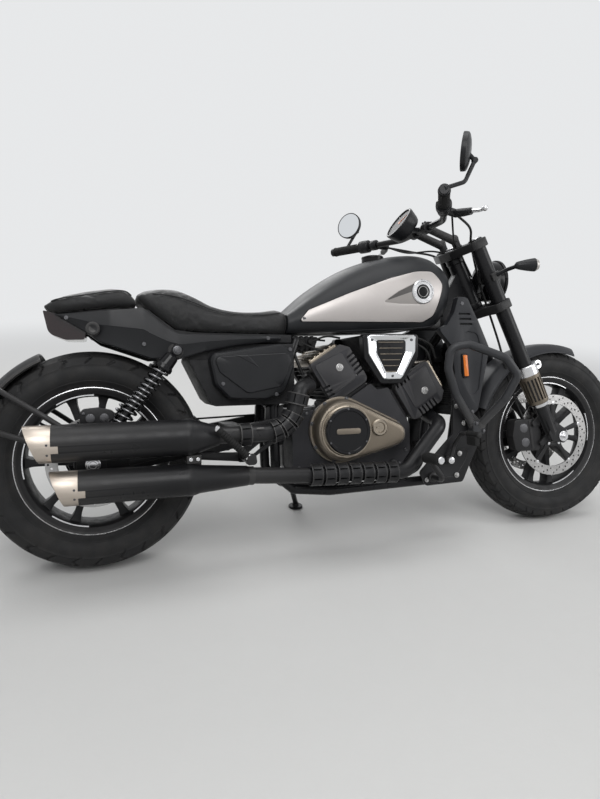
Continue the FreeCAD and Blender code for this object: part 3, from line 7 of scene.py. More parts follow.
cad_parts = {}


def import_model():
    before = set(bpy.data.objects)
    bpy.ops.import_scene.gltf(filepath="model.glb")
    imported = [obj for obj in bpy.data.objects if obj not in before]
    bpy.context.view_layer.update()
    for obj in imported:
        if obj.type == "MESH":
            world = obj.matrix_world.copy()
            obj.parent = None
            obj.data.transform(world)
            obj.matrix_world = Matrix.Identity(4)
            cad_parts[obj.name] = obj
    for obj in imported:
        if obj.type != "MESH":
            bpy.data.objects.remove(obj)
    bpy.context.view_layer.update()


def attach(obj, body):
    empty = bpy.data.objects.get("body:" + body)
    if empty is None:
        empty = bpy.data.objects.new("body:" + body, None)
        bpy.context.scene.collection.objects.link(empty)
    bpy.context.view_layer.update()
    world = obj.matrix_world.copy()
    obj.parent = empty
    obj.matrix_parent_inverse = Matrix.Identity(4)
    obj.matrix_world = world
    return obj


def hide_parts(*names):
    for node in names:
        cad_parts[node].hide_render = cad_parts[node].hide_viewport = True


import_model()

# A cruiser motorcycle that leans on its side stand. Sizes are millimetres and degrees in the upright
# machine's frame: X forward from the rear axle, Y to the rider's left, Z up from the ground.
WHEELBASE = 1622.0
LEAN = 12.09
RAKE = 24.67
ORIGIN_X = 792.75
ORIGIN_Y = 230.5
REAR_R, REAR_CROWN, REAR_W = 322.6, 160.0, 178.0
FRONT_R, FRONT_CROWN, FRONT_W = 320.0, 94.0, 130.0
SIN_L, COS_L = sin(radians(LEAN)), cos(radians(LEAN))
SIN_R, COS_R = sin(radians(RAKE)), cos(radians(RAKE))
DROP = REAR_CROWN * (1 - COS_L)
REAR_Z = ((REAR_R - REAR_CROWN) * COS_L + REAR_CROWN - DROP) / COS_L
FRONT_Z = ((FRONT_R - FRONT_CROWN) * COS_L + FRONT_CROWN - DROP) / COS_L
AXLE_LEAD = 64.0
LEG_X, LEG_Y = 35.0, 104.0
FOOT = (WHEELBASE - AXLE_LEAD * COS_R, FRONT_Z - AXLE_LEAD * SIN_R)
CRANK = (862.0, 390.0)

TO_ROW = (Matrix.Translation((-ORIGIN_X / 1000, -ORIGIN_Y / 1000, DROP / 1000))
          @ Matrix.Rotation(-radians(LEAN), 4, "X") @ Matrix.Scale(0.001, 4))
FORK = Matrix.Translation((FOOT[0], 0, FOOT[1])) @ Matrix.Rotation(-radians(RAKE), 4, "Y")


def V(x, y, z):
    return Vector((x, y, z))


# Shapes are (points, faces) pairs in millimetres. A solid lathe profile starts and ends at a radius this small.
CORE_R, ROD_CORE = 0.01, 0.001


def join(*forms):
    points, faces = [], []
    for more, sides in forms:
        base = len(points)
        points += more
        faces += [tuple(i + base for i in side) for side in sides]
    return points, faces


def moved(form, matrix):
    return [matrix @ p for p in form[0]], form[1]


def shifted(form, x, y, z):
    return moved(form, shift(x, y, z))


def mirrored(form):
    return [V(p.x, -p.y, p.z) for p in form[0]], [side[::-1] for side in form[1]]


def pair(form):
    return [form, mirrored(form)]


def both(form):
    return join(*pair(form))


def skin(rings, caps=True, loop=False, shut=True):
    """Faces between rings of equal length; loop joins the last to the first, shut closes each ring."""
    size, rows = len(rings[0]), len(rings)
    faces = []
    for i in range(rows if loop else rows - 1):
        a, b = i * size, (i + 1) % rows * size
        for k in range(size if shut else size - 1):
            nxt = (k + 1) % size
            faces.append((a + k, a + nxt, b + nxt, b + k))
    if caps and not loop:
        faces.append(tuple(range(size - 1, -1, -1)))
        faces.append(tuple(range((rows - 1) * size, rows * size)))
    return [p for ring in rings for p in ring], faces


def same(form):
    return form


SIDES = (("right", same), ("left", mirrored))


def lathe(profile, origin, axis, segments=48, turn=360.0, start=0.0):
    """Revolves (along, radius) rows about an axis; a profile that ends where it starts makes a ring."""
    along = Vector(axis).normalized()
    across = along.cross(V(0, 1, 0) if abs(along.y) < 0.9 else V(1, 0, 0)).normalized()
    up = along.cross(across)
    ring = profile[:-1] if profile[0] == profile[-1] else profile
    full = turn >= 360
    rings = []
    for k in range(segments if full else segments + 1):
        angle = radians(start + turn * k / segments)
        way = across * cos(angle) + up * sin(angle)
        rings.append([Vector(origin) + along * a + way * r for a, r in ring])
    return skin(rings, caps=not full, loop=full, shut=len(ring) < len(profile))


def solid(rows, origin, axis, segments=48):
    """Lathe of a solid whose (along, radius) rows run from end to end and are closed at the axis."""
    return lathe([(rows[0][0], CORE_R)] + rows + [(rows[-1][0], CORE_R)], origin, axis, segments)


def axle(x, z):
    """Origin and axis of a lathe that turns about a line across the machine."""
    return (x, 0, z), (0, 1, 0)


def shift(x, y, z):
    return Matrix.Translation((x, y, z))


def swung(angle, axis="Y"):
    return Matrix.Rotation(radians(angle), 4, axis)


def rounded(points, radii, closed, step=12.0):
    """The route or outline with its corners turned into arcs."""
    count, result = len(points), []
    for i, corner in enumerate(points):
        corner = Vector(corner)
        if radii[i] <= 0 or (not closed and i in (0, count - 1)):
            result.append(corner)
            continue
        back = (Vector(points[i - 1]) - corner).normalized()
        ahead = (Vector(points[(i + 1) % count]) - corner).normalized()
        turn = pi - back.angle(ahead)
        if turn < 0.02:
            result.append(corner)
            continue
        parts = max(2, ceil(degrees(turn) / step))
        run = radii[i] * tan(turn / 2)
        centre = corner + (back + ahead).normalized() * (radii[i] / cos(turn / 2))
        first, last = corner + back * run - centre, corner + ahead * run - centre
        for k in range(parts + 1):
            angle = turn * k / parts
            result.append(centre + (first * sin(turn - angle) + last * sin(angle)) / sin(turn))
    return result


def through(points, parts=8):
    """Smooth curve through points."""
    pts = [Vector(p) for p in points]
    result = []
    for i, (b, c) in enumerate(zip(pts, pts[1:])):
        a = pts[i - 1] if i else b * 2 - c
        d = pts[i + 2] if i + 2 < len(pts) else c * 2 - b
        for k in range(parts):
            t = k / parts
            result.append((b * 2 + (c - a) * t + (a * 2 - b * 5 + c * 4 - d) * t * t
                           + (b * 3 - a - c * 3 + d) * t ** 3) / 2)
    return result + [pts[-1]]


def tube(points, radius, sides=16, loop=False, flat=1.0):
    """Round bar along points; radius may be one number or one per point; flat squashes it."""
    pts = [Vector(p) for p in points]
    count = len(pts)
    radii = radius if isinstance(radius, (list, tuple)) else [radius] * count
    rings, across = [], None
    for i, p in enumerate(pts):
        before = pts[i - 1] if (i or loop) else p
        after = pts[(i + 1) % count] if (i + 1 < count or loop) else p
        along = (after - before).normalized()
        if across is None:
            across = along.cross(V(0, 1, 0) if abs(along.y) < 0.9 else V(1, 0, 0))
        across = (across - along * across.dot(along)).normalized()
        up = along.cross(across)
        rings.append([p + across * (radii[i] * cos(a)) + up * (radii[i] * flat * sin(a))
                      for a in (2 * pi * (k + 0.5) / sides for k in range(sides))])
    return skin(rings, loop=loop)


def bar(route, radius, bends=None, sides=16, step=12.0):
    return tube(rounded(route, bends or [0] * len(route), False, step), radius, sides)


def outline(corners, step=12.0):
    """Rounded (x, z) points of an outline given as (x, z, corner radius) rows."""
    return rounded([V(x, 0, z) for x, z, r in corners], [r for x, z, r in corners], True, step)


def prism(ring, y0, y1):
    return skin([[V(p.x, y, p.z) for p in ring] for y in (y0, y1)])


def plate(corners, y0, y1, step=12.0):
    """Flat slab of an X-Z outline between two depths."""
    return prism(outline(corners, step), y0, y1)


def slab(corners, z0, z1):
    """Flat slab of an X-Y outline between two heights."""
    ring = rounded([V(x, y, 0) for x, y, r in corners], [r for x, y, r in corners], True)
    return skin([[V(p.x, p.y, z) for p in ring] for z in (z0, z1)])


def deck(x0, x1, y, r, z0, z1):
    """Slab of a level rectangle, as wide on both sides, between two heights."""
    return slab([(x0, -y, r), (x1, -y, r), (x1, y, r), (x0, y, r)], z0, z1)


def block(x, y, z):
    return pad(*x, *z, 0, *y)


def rod(start, end, radius, sides=32, edge=0.0):
    """Cylinder with an optional chamfer at both ends."""
    start, end = Vector(start), Vector(end)
    length = (end - start).length
    rows = [(0, radius - edge), (edge, radius), (length - edge, radius), (length, radius - edge)]
    if not edge:
        rows = [(0, radius), (length, radius)]
    return lathe([(0, ROD_CORE)] + rows + [(length, ROD_CORE)], start, end - start, sides)


def pin(x, z, y0, y1, radius, sides=32, edge=0.0):
    """Cylinder across the machine."""
    return rod((x, y0, z), (x, y1, z), radius, sides, edge)


def hexagon(start, end, radius, edge=1.0):
    return rod(start, end, radius, 6, edge)


def nut(x, z, y0, y1, radius, edge=1.0):
    """Hexagon across the machine."""
    return pin(x, z, y0, y1, radius, 6, edge)


def pad(x0, x1, z0, z1, r, y0, y1):
    """Slab of one upright rectangle with equal corners between two depths."""
    return plate([(x0, z0, r), (x1, z0, r), (x1, z1, r), (x0, z1, r)], y0, y1)


def spots(x, z, radius, count, first=0.0):
    """Places spread round a circle, the first a share of a step from its start."""
    angles = [2 * pi * (k + first) / count for k in range(count)]
    return [(x + radius * cos(a), z + radius * sin(a)) for a in angles]


def torus(centre, axis, big, small, segments=48, sides=10):
    rows = [(small * sin(2 * pi * k / sides), big + small * cos(2 * pi * k / sides)) for k in range(sides)]
    return lathe(rows + rows[:1], centre, axis, segments)


def turned(form, angle):
    """From cylinder coordinates, Z along its bore, to the upright frame."""
    return moved(form, shift(CRANK[0], 0, CRANK[1]) @ swung(angle))


def forked(form):
    """From the fork's frame, Z along its legs, to the upright frame."""
    return moved(form, FORK)


def bore_point(angle, height, across):
    tilt = radians(angle)
    return (CRANK[0] + height * sin(tilt) + across * cos(tilt), CRANK[1] + height * cos(tilt) - across * sin(tilt))


def spun(form, x, z, count, phase=0.0):
    """Copies of a form made about the Y axis at the origin, spread round a wheel's axle."""
    copies = []
    for k in range(count):
        turn = swung(-(phase + 360 * k / count))
        copies.append(moved(form, shift(x, 0, z) @ turn))
    return join(*copies)


# Pieces

OWN = True                # a piece that replaces the node of its own name


def piece(name, looks, form, replaces=(), slot="satin_black", body="chassis", bevel=0.0, sharp=35.0, cuts=(),
          steps=2, rim=0, overlap=False):
    """Makes a visible piece of a form: cuts are forms taken out, bevel rounds its sharp edges, rim is the
    number of the look that the bevels get, overlap is for forms that run into each other."""
    looks = looks if isinstance(looks, (list, tuple)) else [looks]
    obj = placed(name, form)
    for cutter in cuts:
        combine(obj, cutter, "DIFFERENCE", use_self=overlap)
    if bevel:
        if rim:
            for look in looks:
                obj.data.materials.append(look)
        apply(obj, "BEVEL", material=rim or -1, **rounding(bevel, steps, sharp))
    dress(obj, looks, body, [name] if replaces is OWN else replaces)
    obj.data.set_sharp_from_angle(angle=radians(sharp))
    return obj


def dress(obj, looks, body, replaces):
    """Lays the object in the row frame and gives it its looks, body and nodes."""
    mesh = obj.data
    mesh.transform(TO_ROW)
    mesh.materials.clear()
    for look in looks:
        mesh.materials.append(look)
    mesh.polygons.foreach_set("use_smooth", [True] * len(mesh.polygons))
    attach(obj, body)
    if replaces:
        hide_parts(*replaces)


def placed(name, form, near=0.01):
    """An object in the scene made of a form, whose points nearer than near are merged."""
    mesh = bpy.data.meshes.new(name)
    mesh.from_pydata(form[0], [], form[1])
    work = bmesh.new()
    work.from_mesh(mesh)
    if near:
        bmesh.ops.remove_doubles(work, verts=work.verts, dist=near)
        bmesh.ops.dissolve_degenerate(work, edges=work.edges, dist=near / 2)
    bmesh.ops.recalc_face_normals(work, faces=work.faces)
    work.to_mesh(mesh)
    work.free()
    obj = bpy.data.objects.new(name, mesh)
    bpy.context.scene.collection.objects.link(obj)
    return obj


def apply(obj, kind, **settings):
    """Adds a modifier to the object and applies it to its mesh."""
    step = obj.modifiers.new(kind.lower(), kind)
    for key, value in settings.items():
        setattr(step, key, value)
    bake(obj)


def bake(obj):
    graph = bpy.context.evaluated_depsgraph_get()
    graph.update()
    mesh = bpy.data.meshes.new_from_object(obj.evaluated_get(graph), preserve_all_data_layers=True, depsgraph=graph)
    obj.modifiers.clear()
    obj.data = mesh


def combine(obj, form, how, near=0.01, **settings):
    """Takes a form out of the object, or keeps only what lies inside it."""
    tool = placed(obj.name + "_tool", form, near)
    apply(obj, "BOOLEAN", operation=how, solver="EXACT", object=tool, **settings)
    bpy.data.objects.remove(tool)


def rounding(width, steps, sharp):
    return {"width": width, "segments": steps, "limit_method": "ANGLE", "angle_limit": radians(sharp),
            "use_clamp_overlap": True}


def round_edges(obj, width, steps=2):
    """Bevels a piece that already lies in the row frame."""
    apply(obj, "BEVEL", **rounding(width / 1000, steps, 35))
    obj.data.polygons.foreach_set("use_smooth", [True] * len(obj.data.polygons))
    obj.data.set_sharp_from_angle(angle=radians(35))


def carve(name, looks, form, keep, replaces=(), slot="satin_black", **more):
    """A piece of a form kept only where it lies inside another form."""
    obj = piece(name, looks, form, replaces, slot, **more)
    combine(obj, moved(keep, TO_ROW), "INTERSECT", near=0)
    return obj


# Materials

def surface(name, colour, rough, metal=0.0, vary=0.25, patch=14.0, grain=0.0, grain_size=1.2, spread=0.12,
            coat=0.0, stretch=(1, 1, 1), wear=None, kind="noise", sheen=0.0, dust=0.0, shine=0.22):
    """Painted, cast, moulded or woven surface: colour patches, uneven gloss, fine relief and edge wear."""
    mat = bpy.data.materials.new(name)
    mat.use_nodes = True
    nodes, links = mat.node_tree.nodes, mat.node_tree.links
    shader = nodes["Principled BSDF"]
    shader.inputs["Metallic"].default_value = metal
    shader.inputs["Coat Weight"].default_value = coat
    shader.inputs["Coat Roughness"].default_value = 0.12
    shader.inputs["Sheen Weight"].default_value = sheen
    shader.inputs["Specular IOR Level"].default_value = shine
    place = nodes.new("ShaderNodeTexCoord")
    scale = nodes.new("ShaderNodeMapping")
    scale.inputs["Scale"].default_value = stretch
    links.new(place.outputs["Object"], scale.inputs["Vector"])

    def noise(per_metre, detail):
        node = nodes.new("ShaderNodeTexNoise")
        node.inputs["Scale"].default_value = per_metre
        node.inputs["Detail"].default_value = detail
        links.new(scale.outputs["Vector"], node.inputs["Vector"])
        return node

    def mixed(low, high, factor, kind="MIX"):
        node = nodes.new("ShaderNodeMix")
        node.data_type = "RGBA"
        node.blend_type = kind
        for socket, value in ((6, low), (7, high)):
            if isinstance(value, tuple):
                node.inputs[socket].default_value = value
            else:
                links.new(value, node.inputs[socket])
        links.new(factor, node.inputs[0])
        return node.outputs[2]

    def ranged(value, low, high, to_low, to_high):
        node = nodes.new("ShaderNodeMapRange")
        for socket, number in (("From Min", low), ("From Max", high), ("To Min", to_low), ("To Max", to_high)):
            node.inputs[socket].default_value = number
        links.new(value, node.inputs["Value"])
        return node.outputs["Result"]

    patches = noise(patch, 5.0)
    speck = noise(patch * 22, 3.0)
    dark = tuple(c * (1 - vary) for c in colour) + (1,)
    light = tuple(min(1, c * (1 + vary)) for c in colour) + (1,)
    tone = mixed(dark, light, patches.outputs["Fac"])
    fine = mixed(dark, light, speck.outputs["Fac"])
    half = nodes.new("ShaderNodeValue")
    half.outputs[0].default_value = 0.35
    tone = mixed(tone, fine, half.outputs[0])
    if dust:
        film = ranged(noise(patch * 2.2, 6.0).outputs["Fac"], 0.45, 0.8, 0.0, dust)
        tone = mixed(tone, (0.30, 0.27, 0.23, 1), film)
    if wear:
        edge = nodes.new("ShaderNodeNewGeometry")
        rub = ranged(edge.outputs["Pointiness"], 0.52, 0.6, 0.0, wear[1])
        tone = mixed(tone, tuple(wear[0]) + (1,), rub)
    links.new(tone, shader.inputs["Base Color"])
    links.new(ranged(noise(patch * 3.1, 4.0).outputs["Fac"], 0.3, 0.7, max(0.02, rough - spread),
                     min(1, rough + spread)), shader.inputs["Roughness"])
    if grain:
        if kind == "cells":
            relief = nodes.new("ShaderNodeTexVoronoi")
            relief.feature = "SMOOTH_F1"
            relief.inputs["Scale"].default_value = 1000 / grain_size
            links.new(scale.outputs["Vector"], relief.inputs["Vector"])
            height = relief.outputs["Distance"]
        else:
            height = noise(1000 / grain_size, 4.0).outputs["Fac"]
        bump = nodes.new("ShaderNodeBump")
        bump.inputs["Strength"].default_value = grain
        bump.inputs["Distance"].default_value = 0.0006 * grain_size
        links.new(height, bump.inputs["Height"])
        links.new(bump.outputs["Normal"], shader.inputs["Normal"])
    return mat


BARE = (0.32, 0.31, 0.30)
PAINT = surface("satin_black_paint", (0.012, 0.012, 0.013), 0.38, 0.0, 0.25, 9, 0.25, 1.6, 0.10, wear=(BARE, 0.15))
FRAME_PAINT = surface("frame_black_paint", (0.010, 0.010, 0.011), 0.30, 0.0, 0.2, 8, 0.12, 3.0, 0.08)
CAST_BLACK = surface("cast_black", (0.013, 0.013, 0.014), 0.46, 0.0, 0.3, 16, 0.5, 1.4, 0.12, wear=(BARE, 0.2))
ENGINE = surface("engine_dark_grey", (0.026, 0.026, 0.029), 0.44, 0.2, 0.3, 12, 0.55, 1.2, 0.12, wear=(BARE, 0.3))
MACHINED = surface("machined_edge", (0.62, 0.62, 0.63), 0.28, 1.0, 0.12, 20, 0.1, 2.0, 0.08)
BRONZE = surface("bronze_cover", (0.165, 0.14, 0.11), 0.38, 0.75, 0.18, 10, 0.3, 1.5, 0.10, wear=(BARE, 0.3))
NICKEL = surface("nickel_cap", (0.30, 0.26, 0.21), 0.30, 0.9, 0.14, 12, 0.1, 2.0, 0.08)
CHROME = surface("chrome_plate", (0.72, 0.73, 0.74), 0.09, 1.0, 0.05, 5, 0.02, 6.0, 0.04)
POLISHED = surface("polished_alloy", (0.62, 0.62, 0.63), 0.2, 1.0, 0.10, 14, 0.08, 1.0, 0.08)
STEEL = surface("brushed_steel", (0.38, 0.375, 0.37), 0.32, 1.0, 0.15, 12, 0.25, 1.0, 0.10)
BOLT = surface("dark_bolt", (0.10, 0.10, 0.105), 0.34, 0.8, 0.3, 30, 0.2, 1.0, 0.12)
TITAN = surface("satin_titanium", (0.52, 0.46, 0.40), 0.40, 0.85, 0.14, 9, 0.22, 1.2, 0.08, stretch=(0.12, 1, 1))
HOT_BLACK = surface("heatproof_black", (0.011, 0.011, 0.012), 0.36, 0.0, 0.3, 8, 0.3, 1.0, 0.10, wear=(BARE, 0.1))
SHIELD = surface("shield_black", (0.016, 0.016, 0.017), 0.36, 0.2, 0.3, 10, 0.25, 1.0, 0.10, wear=(BARE, 0.3))
TANK = surface("tank_matte_black", (0.016, 0.017, 0.019), 0.42, 0.0, 0.12, 3, 0.10, 0.7, 0.05)
SILVER = surface("panel_satin_silver", (0.50, 0.47, 0.455), 0.42, 0.45, 0.07, 4, 0.10, 0.6, 0.05)
SHROUD = surface("shroud_grey", (0.024, 0.025, 0.028), 0.40, 0.1, 0.16, 5, 0.12, 0.8, 0.07)
LOOP_GREY = surface("crash_bar_grey", (0.038, 0.039, 0.042), 0.42, 0.25, 0.2, 8, 0.2, 1.0, 0.08, wear=(BARE, 0.2))
GLOSS = surface("gloss_black", (0.008, 0.008, 0.009), 0.14, 0.0, 0.2, 5, 0.02, 3.0, 0.05)
PLASTIC = surface("moulded_black", (0.013, 0.013, 0.014), 0.58, 0.0, 0.25, 12, 0.6, 0.9, 0.10, kind="cells")
RUBBER = surface("grip_rubber", (0.012, 0.012, 0.012), 0.70, 0.0, 0.3, 18, 0.5, 1.0, 0.10)
TYRE = surface("tyre_rubber", (0.017, 0.017, 0.0175), 0.66, 0.0, 0.25, 9, 0.35, 1.3, 0.10, dust=0.035)
LEATHER = surface("seat_cover", (0.012, 0.012, 0.0125), 0.46, 0.0, 0.22, 10, 0.75, 1.7, 0.10, kind="cells",
                  sheen=0.15)
STITCH = surface("seat_thread", (0.05, 0.05, 0.052), 0.7, 0.0, 0.3, 60, 0.5, 0.6, 0.1)
HOSE = surface("hose_rubber", (0.014, 0.014, 0.014), 0.5, 0.0, 0.3, 20, 0.3, 1.0, 0.1)
AMBER = surface("amber_reflector", (0.80, 0.20, 0.02), 0.2, 0.0, 0.12, 60, 0.5, 2.2, 0.05, kind="cells", coat=0.6)
SMOKED = surface("smoked_lens", (0.016, 0.007, 0.008), 0.12, 0.0, 0.2, 40, 0.25, 3.0, 0.04, coat=0.8)
WHITE = surface("blank_plate", (0.62, 0.62, 0.60), 0.4, 0.0, 0.06, 8, 0.1, 1.0, 0.06)
PLASTIC_GLOSS = surface("housing_black", (0.010, 0.010, 0.011), 0.30, 0.0, 0.2, 8, 0.1, 1.0, 0.06)
PLASTIC_SMOOTH = surface("satin_moulding", (0.014, 0.0145, 0.016), 0.36, 0.0, 0.15, 5, 0.15, 0.9, 0.06)
# Painted light: the first of these two looks darkens the tank wedge's silver as a painted shade, and the second is a
# near-black grey painted as the shadow along the wedge's upper edge.
SILVER_PAINTED_SHADE = surface("panel_painted_shade", (0.30, 0.282, 0.268), 0.34, 0.5, 0.10, 6, 0.1, 3.0, 0.05)
SILVER_PAINTED_SHADOW = surface("panel_painted_shadow", (0.10, 0.095, 0.092), 0.36, 0.5, 0.10, 6, 0.1, 3.0, 0.05)
SMOKED_AMBER = surface("smoked_amber_lens", (0.20, 0.055, 0.012), 0.14, 0.0, 0.15, 60, 0.3, 3.0, 0.04, coat=0.8)
FROSTED = surface("frosted_lens", (0.42, 0.40, 0.38), 0.16, 0.3, 0.12, 60, 0.3, 2.4, 0.05)
DIAL = surface("dial_black", (0.008, 0.008, 0.009), 0.38, 0.0, 0.1, 5, 0.05, 1.0, 0.04, shine=0.15)
MIRROR = surface("mirror_glass", (0.80, 0.82, 0.84), 0.03, 1.0, 0.02, 3, 0.0, 1.0, 0.01)
CORE = surface("radiator_core", (0.030, 0.030, 0.031), 0.45, 0.6, 0.3, 20, 0.9, 2.2, 0.1, stretch=(1, 1, 0.25))


def glass(name, tint, rough=0.02, clear=0.9):
    mat = surface(name, tint, rough, 0.0, 0.04, 6, 0.02, 4.0, 0.02)
    shader = mat.node_tree.nodes["Principled BSDF"]
    shader.inputs["Transmission Weight"].default_value = clear
    shader.inputs["IOR"].default_value = 1.45
    return mat


CLEAR = glass("clear_lens", (0.9, 0.92, 0.93))
SMOKE_CLEAR = glass("smoked_clear_lens", (0.10, 0.10, 0.10), 0.05, 0.55)
SPRING = surface("dark_chrome", (0.16, 0.16, 0.165), 0.18, 1.0, 0.1, 8, 0.05, 3.0, 0.06)


# Wheels and tyres

REAR_RIM_W, FRONT_RIM_W = 144.0, 92.0
REAR_HUB, FRONT_HUB = 176.0, 134.0
REAR_DISC_Y, FRONT_DISC_Y = REAR_HUB / 2 + 2.5, FRONT_HUB / 2 + 2.5
FLANGE_R = 217.0
BEAD_R = 203.2
PAIRS = 5
PAIR_HALF = 21.0          # degrees from a pair's middle to each spoke
REAR_PHASE, FRONT_PHASE = -86.0, -60.0
# groove lines of one repeat: (turn, across) to (turn, across), half width in mm
REAR_TREAD = [((0.02, 0.06), (0.42, 0.30), 3.4), ((0.42, 0.30), (0.22, 0.56), 3.4), ((0.22, 0.56), (0.62, 0.96), 3.2),
              ((0.62, 0.96), (0.50, 1.12), 3.0), ((0.50, 1.12), (0.64, 1.34), 2.8), ((0.78, 0.44), (1.02, 0.80), 2.6),
              ((1.02, 0.80), (0.96, 1.02), 2.4), ((0.96, 1.02), (1.10, 1.26), 2.2),
              ((0.02, 0.06), (-0.30, 0.02), 3.0)]
FRONT_TREAD = [((0.00, 0.03), (0.50, 0.34), 2.8), ((0.50, 0.34), (0.30, 0.62), 2.6),
               ((0.30, 0.62), (0.72, 0.98), 2.8), ((0.72, 0.98), (0.62, 1.26), 2.6),
               ((0.50, 0.34), (1.00, 0.40), 2.2), ((0.82, 0.62), (1.05, 0.96), 2.2),
               ((1.05, 0.96), (1.00, 1.22), 2.0), ((0.00, 0.70), (0.30, 0.62), 1.8)]
TYRE_COLUMNS, CROWN_ROWS = 648, 50
DISC_T = 5.0


def tyre_profile(radius, crown, width, rim_w):
    """Half of the tyre's section from its middle to the bead: (across, radius, tread coordinate, normal)."""
    half = width / 2
    shoulder = 0.86 * half
    shoulder_r = radius - crown + sqrt(crown ** 2 - shoulder ** 2)
    side_r = (shoulder_r + FLANGE_R) / 2
    bead = rim_w / 2 - 6
    line = []
    for k in range(CROWN_ROWS // 2):
        y = shoulder * (k + 0.5) / (CROWN_ROWS / 2)
        line.append((y, radius - crown + sqrt(crown ** 2 - y ** 2)))
    turn = through([(shoulder, shoulder_r, 0), (half - 4.5, side_r + 20, 0), (half - 0.6, side_r + 2, 0),
                    (half - 5, side_r - 19, 0), (bead + 1, FLANGE_R - 4, 0)], 12)
    upper, lower = [(p.x, p.y) for p in turn[:13]], [(p.x, p.y) for p in turn[13:]]
    line += upper[:11] + [(upper[10][0] + 1.5, upper[10][1] - 0.8), (upper[11][0] + 1.3, upper[11][1])]
    line += [upper[12]] + lower[3:24:5]
    edge = lower[25]
    line += [edge, (edge[0] + 0.9, edge[1] - 1.2), (edge[0] + 0.5, edge[1] - 2.6)] + lower[28:-1:4] + [(bead, BEAD_R)]
    result, gone = [], 0.0
    for k, (y, r) in enumerate(line):
        before, after = line[max(k - 1, 0)], line[min(k + 1, len(line) - 1)]
        along = V(after[0] - before[0], after[1] - before[1], 0).normalized()
        gone += dist(before, (y, r)) if k else y
        result.append((y, r, gone / shoulder, V(-along.y, along.x, 0)))
    return result, shoulder


def tyre(name, body, x, z, radius, crown, width, rim_w, lines, repeats, depth):
    half, shoulder = tyre_profile(radius, crown, width, rim_w)
    ring = [(-y, r, -s, V(-n.x, n.y, 0)) for y, r, s, n in reversed(half)] + half
    pitch = 2 * pi * radius / repeats
    turn = np.arange(TYRE_COLUMNS) / TYRE_COLUMNS
    grid_u, grid_s = np.meshgrid(turn * repeats, np.array([row[2] for row in ring]), indexing="ij")
    cut = np.zeros(grid_u.shape)
    for side in (1, -1):
        place = (grid_u + (0.5 if side < 0 else 0)) % 1.0
        for start, end, half_w in lines:
            ax, ay = start[0] * pitch, start[1] * shoulder * side
            bx, by = end[0] * pitch, end[1] * shoulder * side
            for copy in (-1, 0, 1):
                px, py = (place + copy) * pitch - ax, grid_s * shoulder - ay
                share = np.clip((px * (bx - ax) + py * (by - ay)) / ((bx - ax) ** 2 + (by - ay) ** 2), 0, 1)
                far = np.hypot(px - share * (bx - ax), py - share * (by - ay))
                cut = np.maximum(cut, np.clip((half_w + 1.0 - far) / 1.6, 0, 1))
    cut *= depth * np.clip((1.9 - np.abs(grid_s)) / 0.9, 0, 1)
    rings = []
    for k in range(TYRE_COLUMNS):
        angle = 2 * pi * k / TYRE_COLUMNS
        c, s = cos(angle), sin(angle)
        rings.append([V(x + (r - cut[k, j] * abs(n.y)) * c, y - cut[k, j] * n.x, z + (r - cut[k, j] * abs(n.y)) * s)
                      for j, (y, r, _, n) in enumerate(ring)])
    piece(name, TYRE, skin(rings, loop=True), OWN, "tyre", body=body, sharp=50)


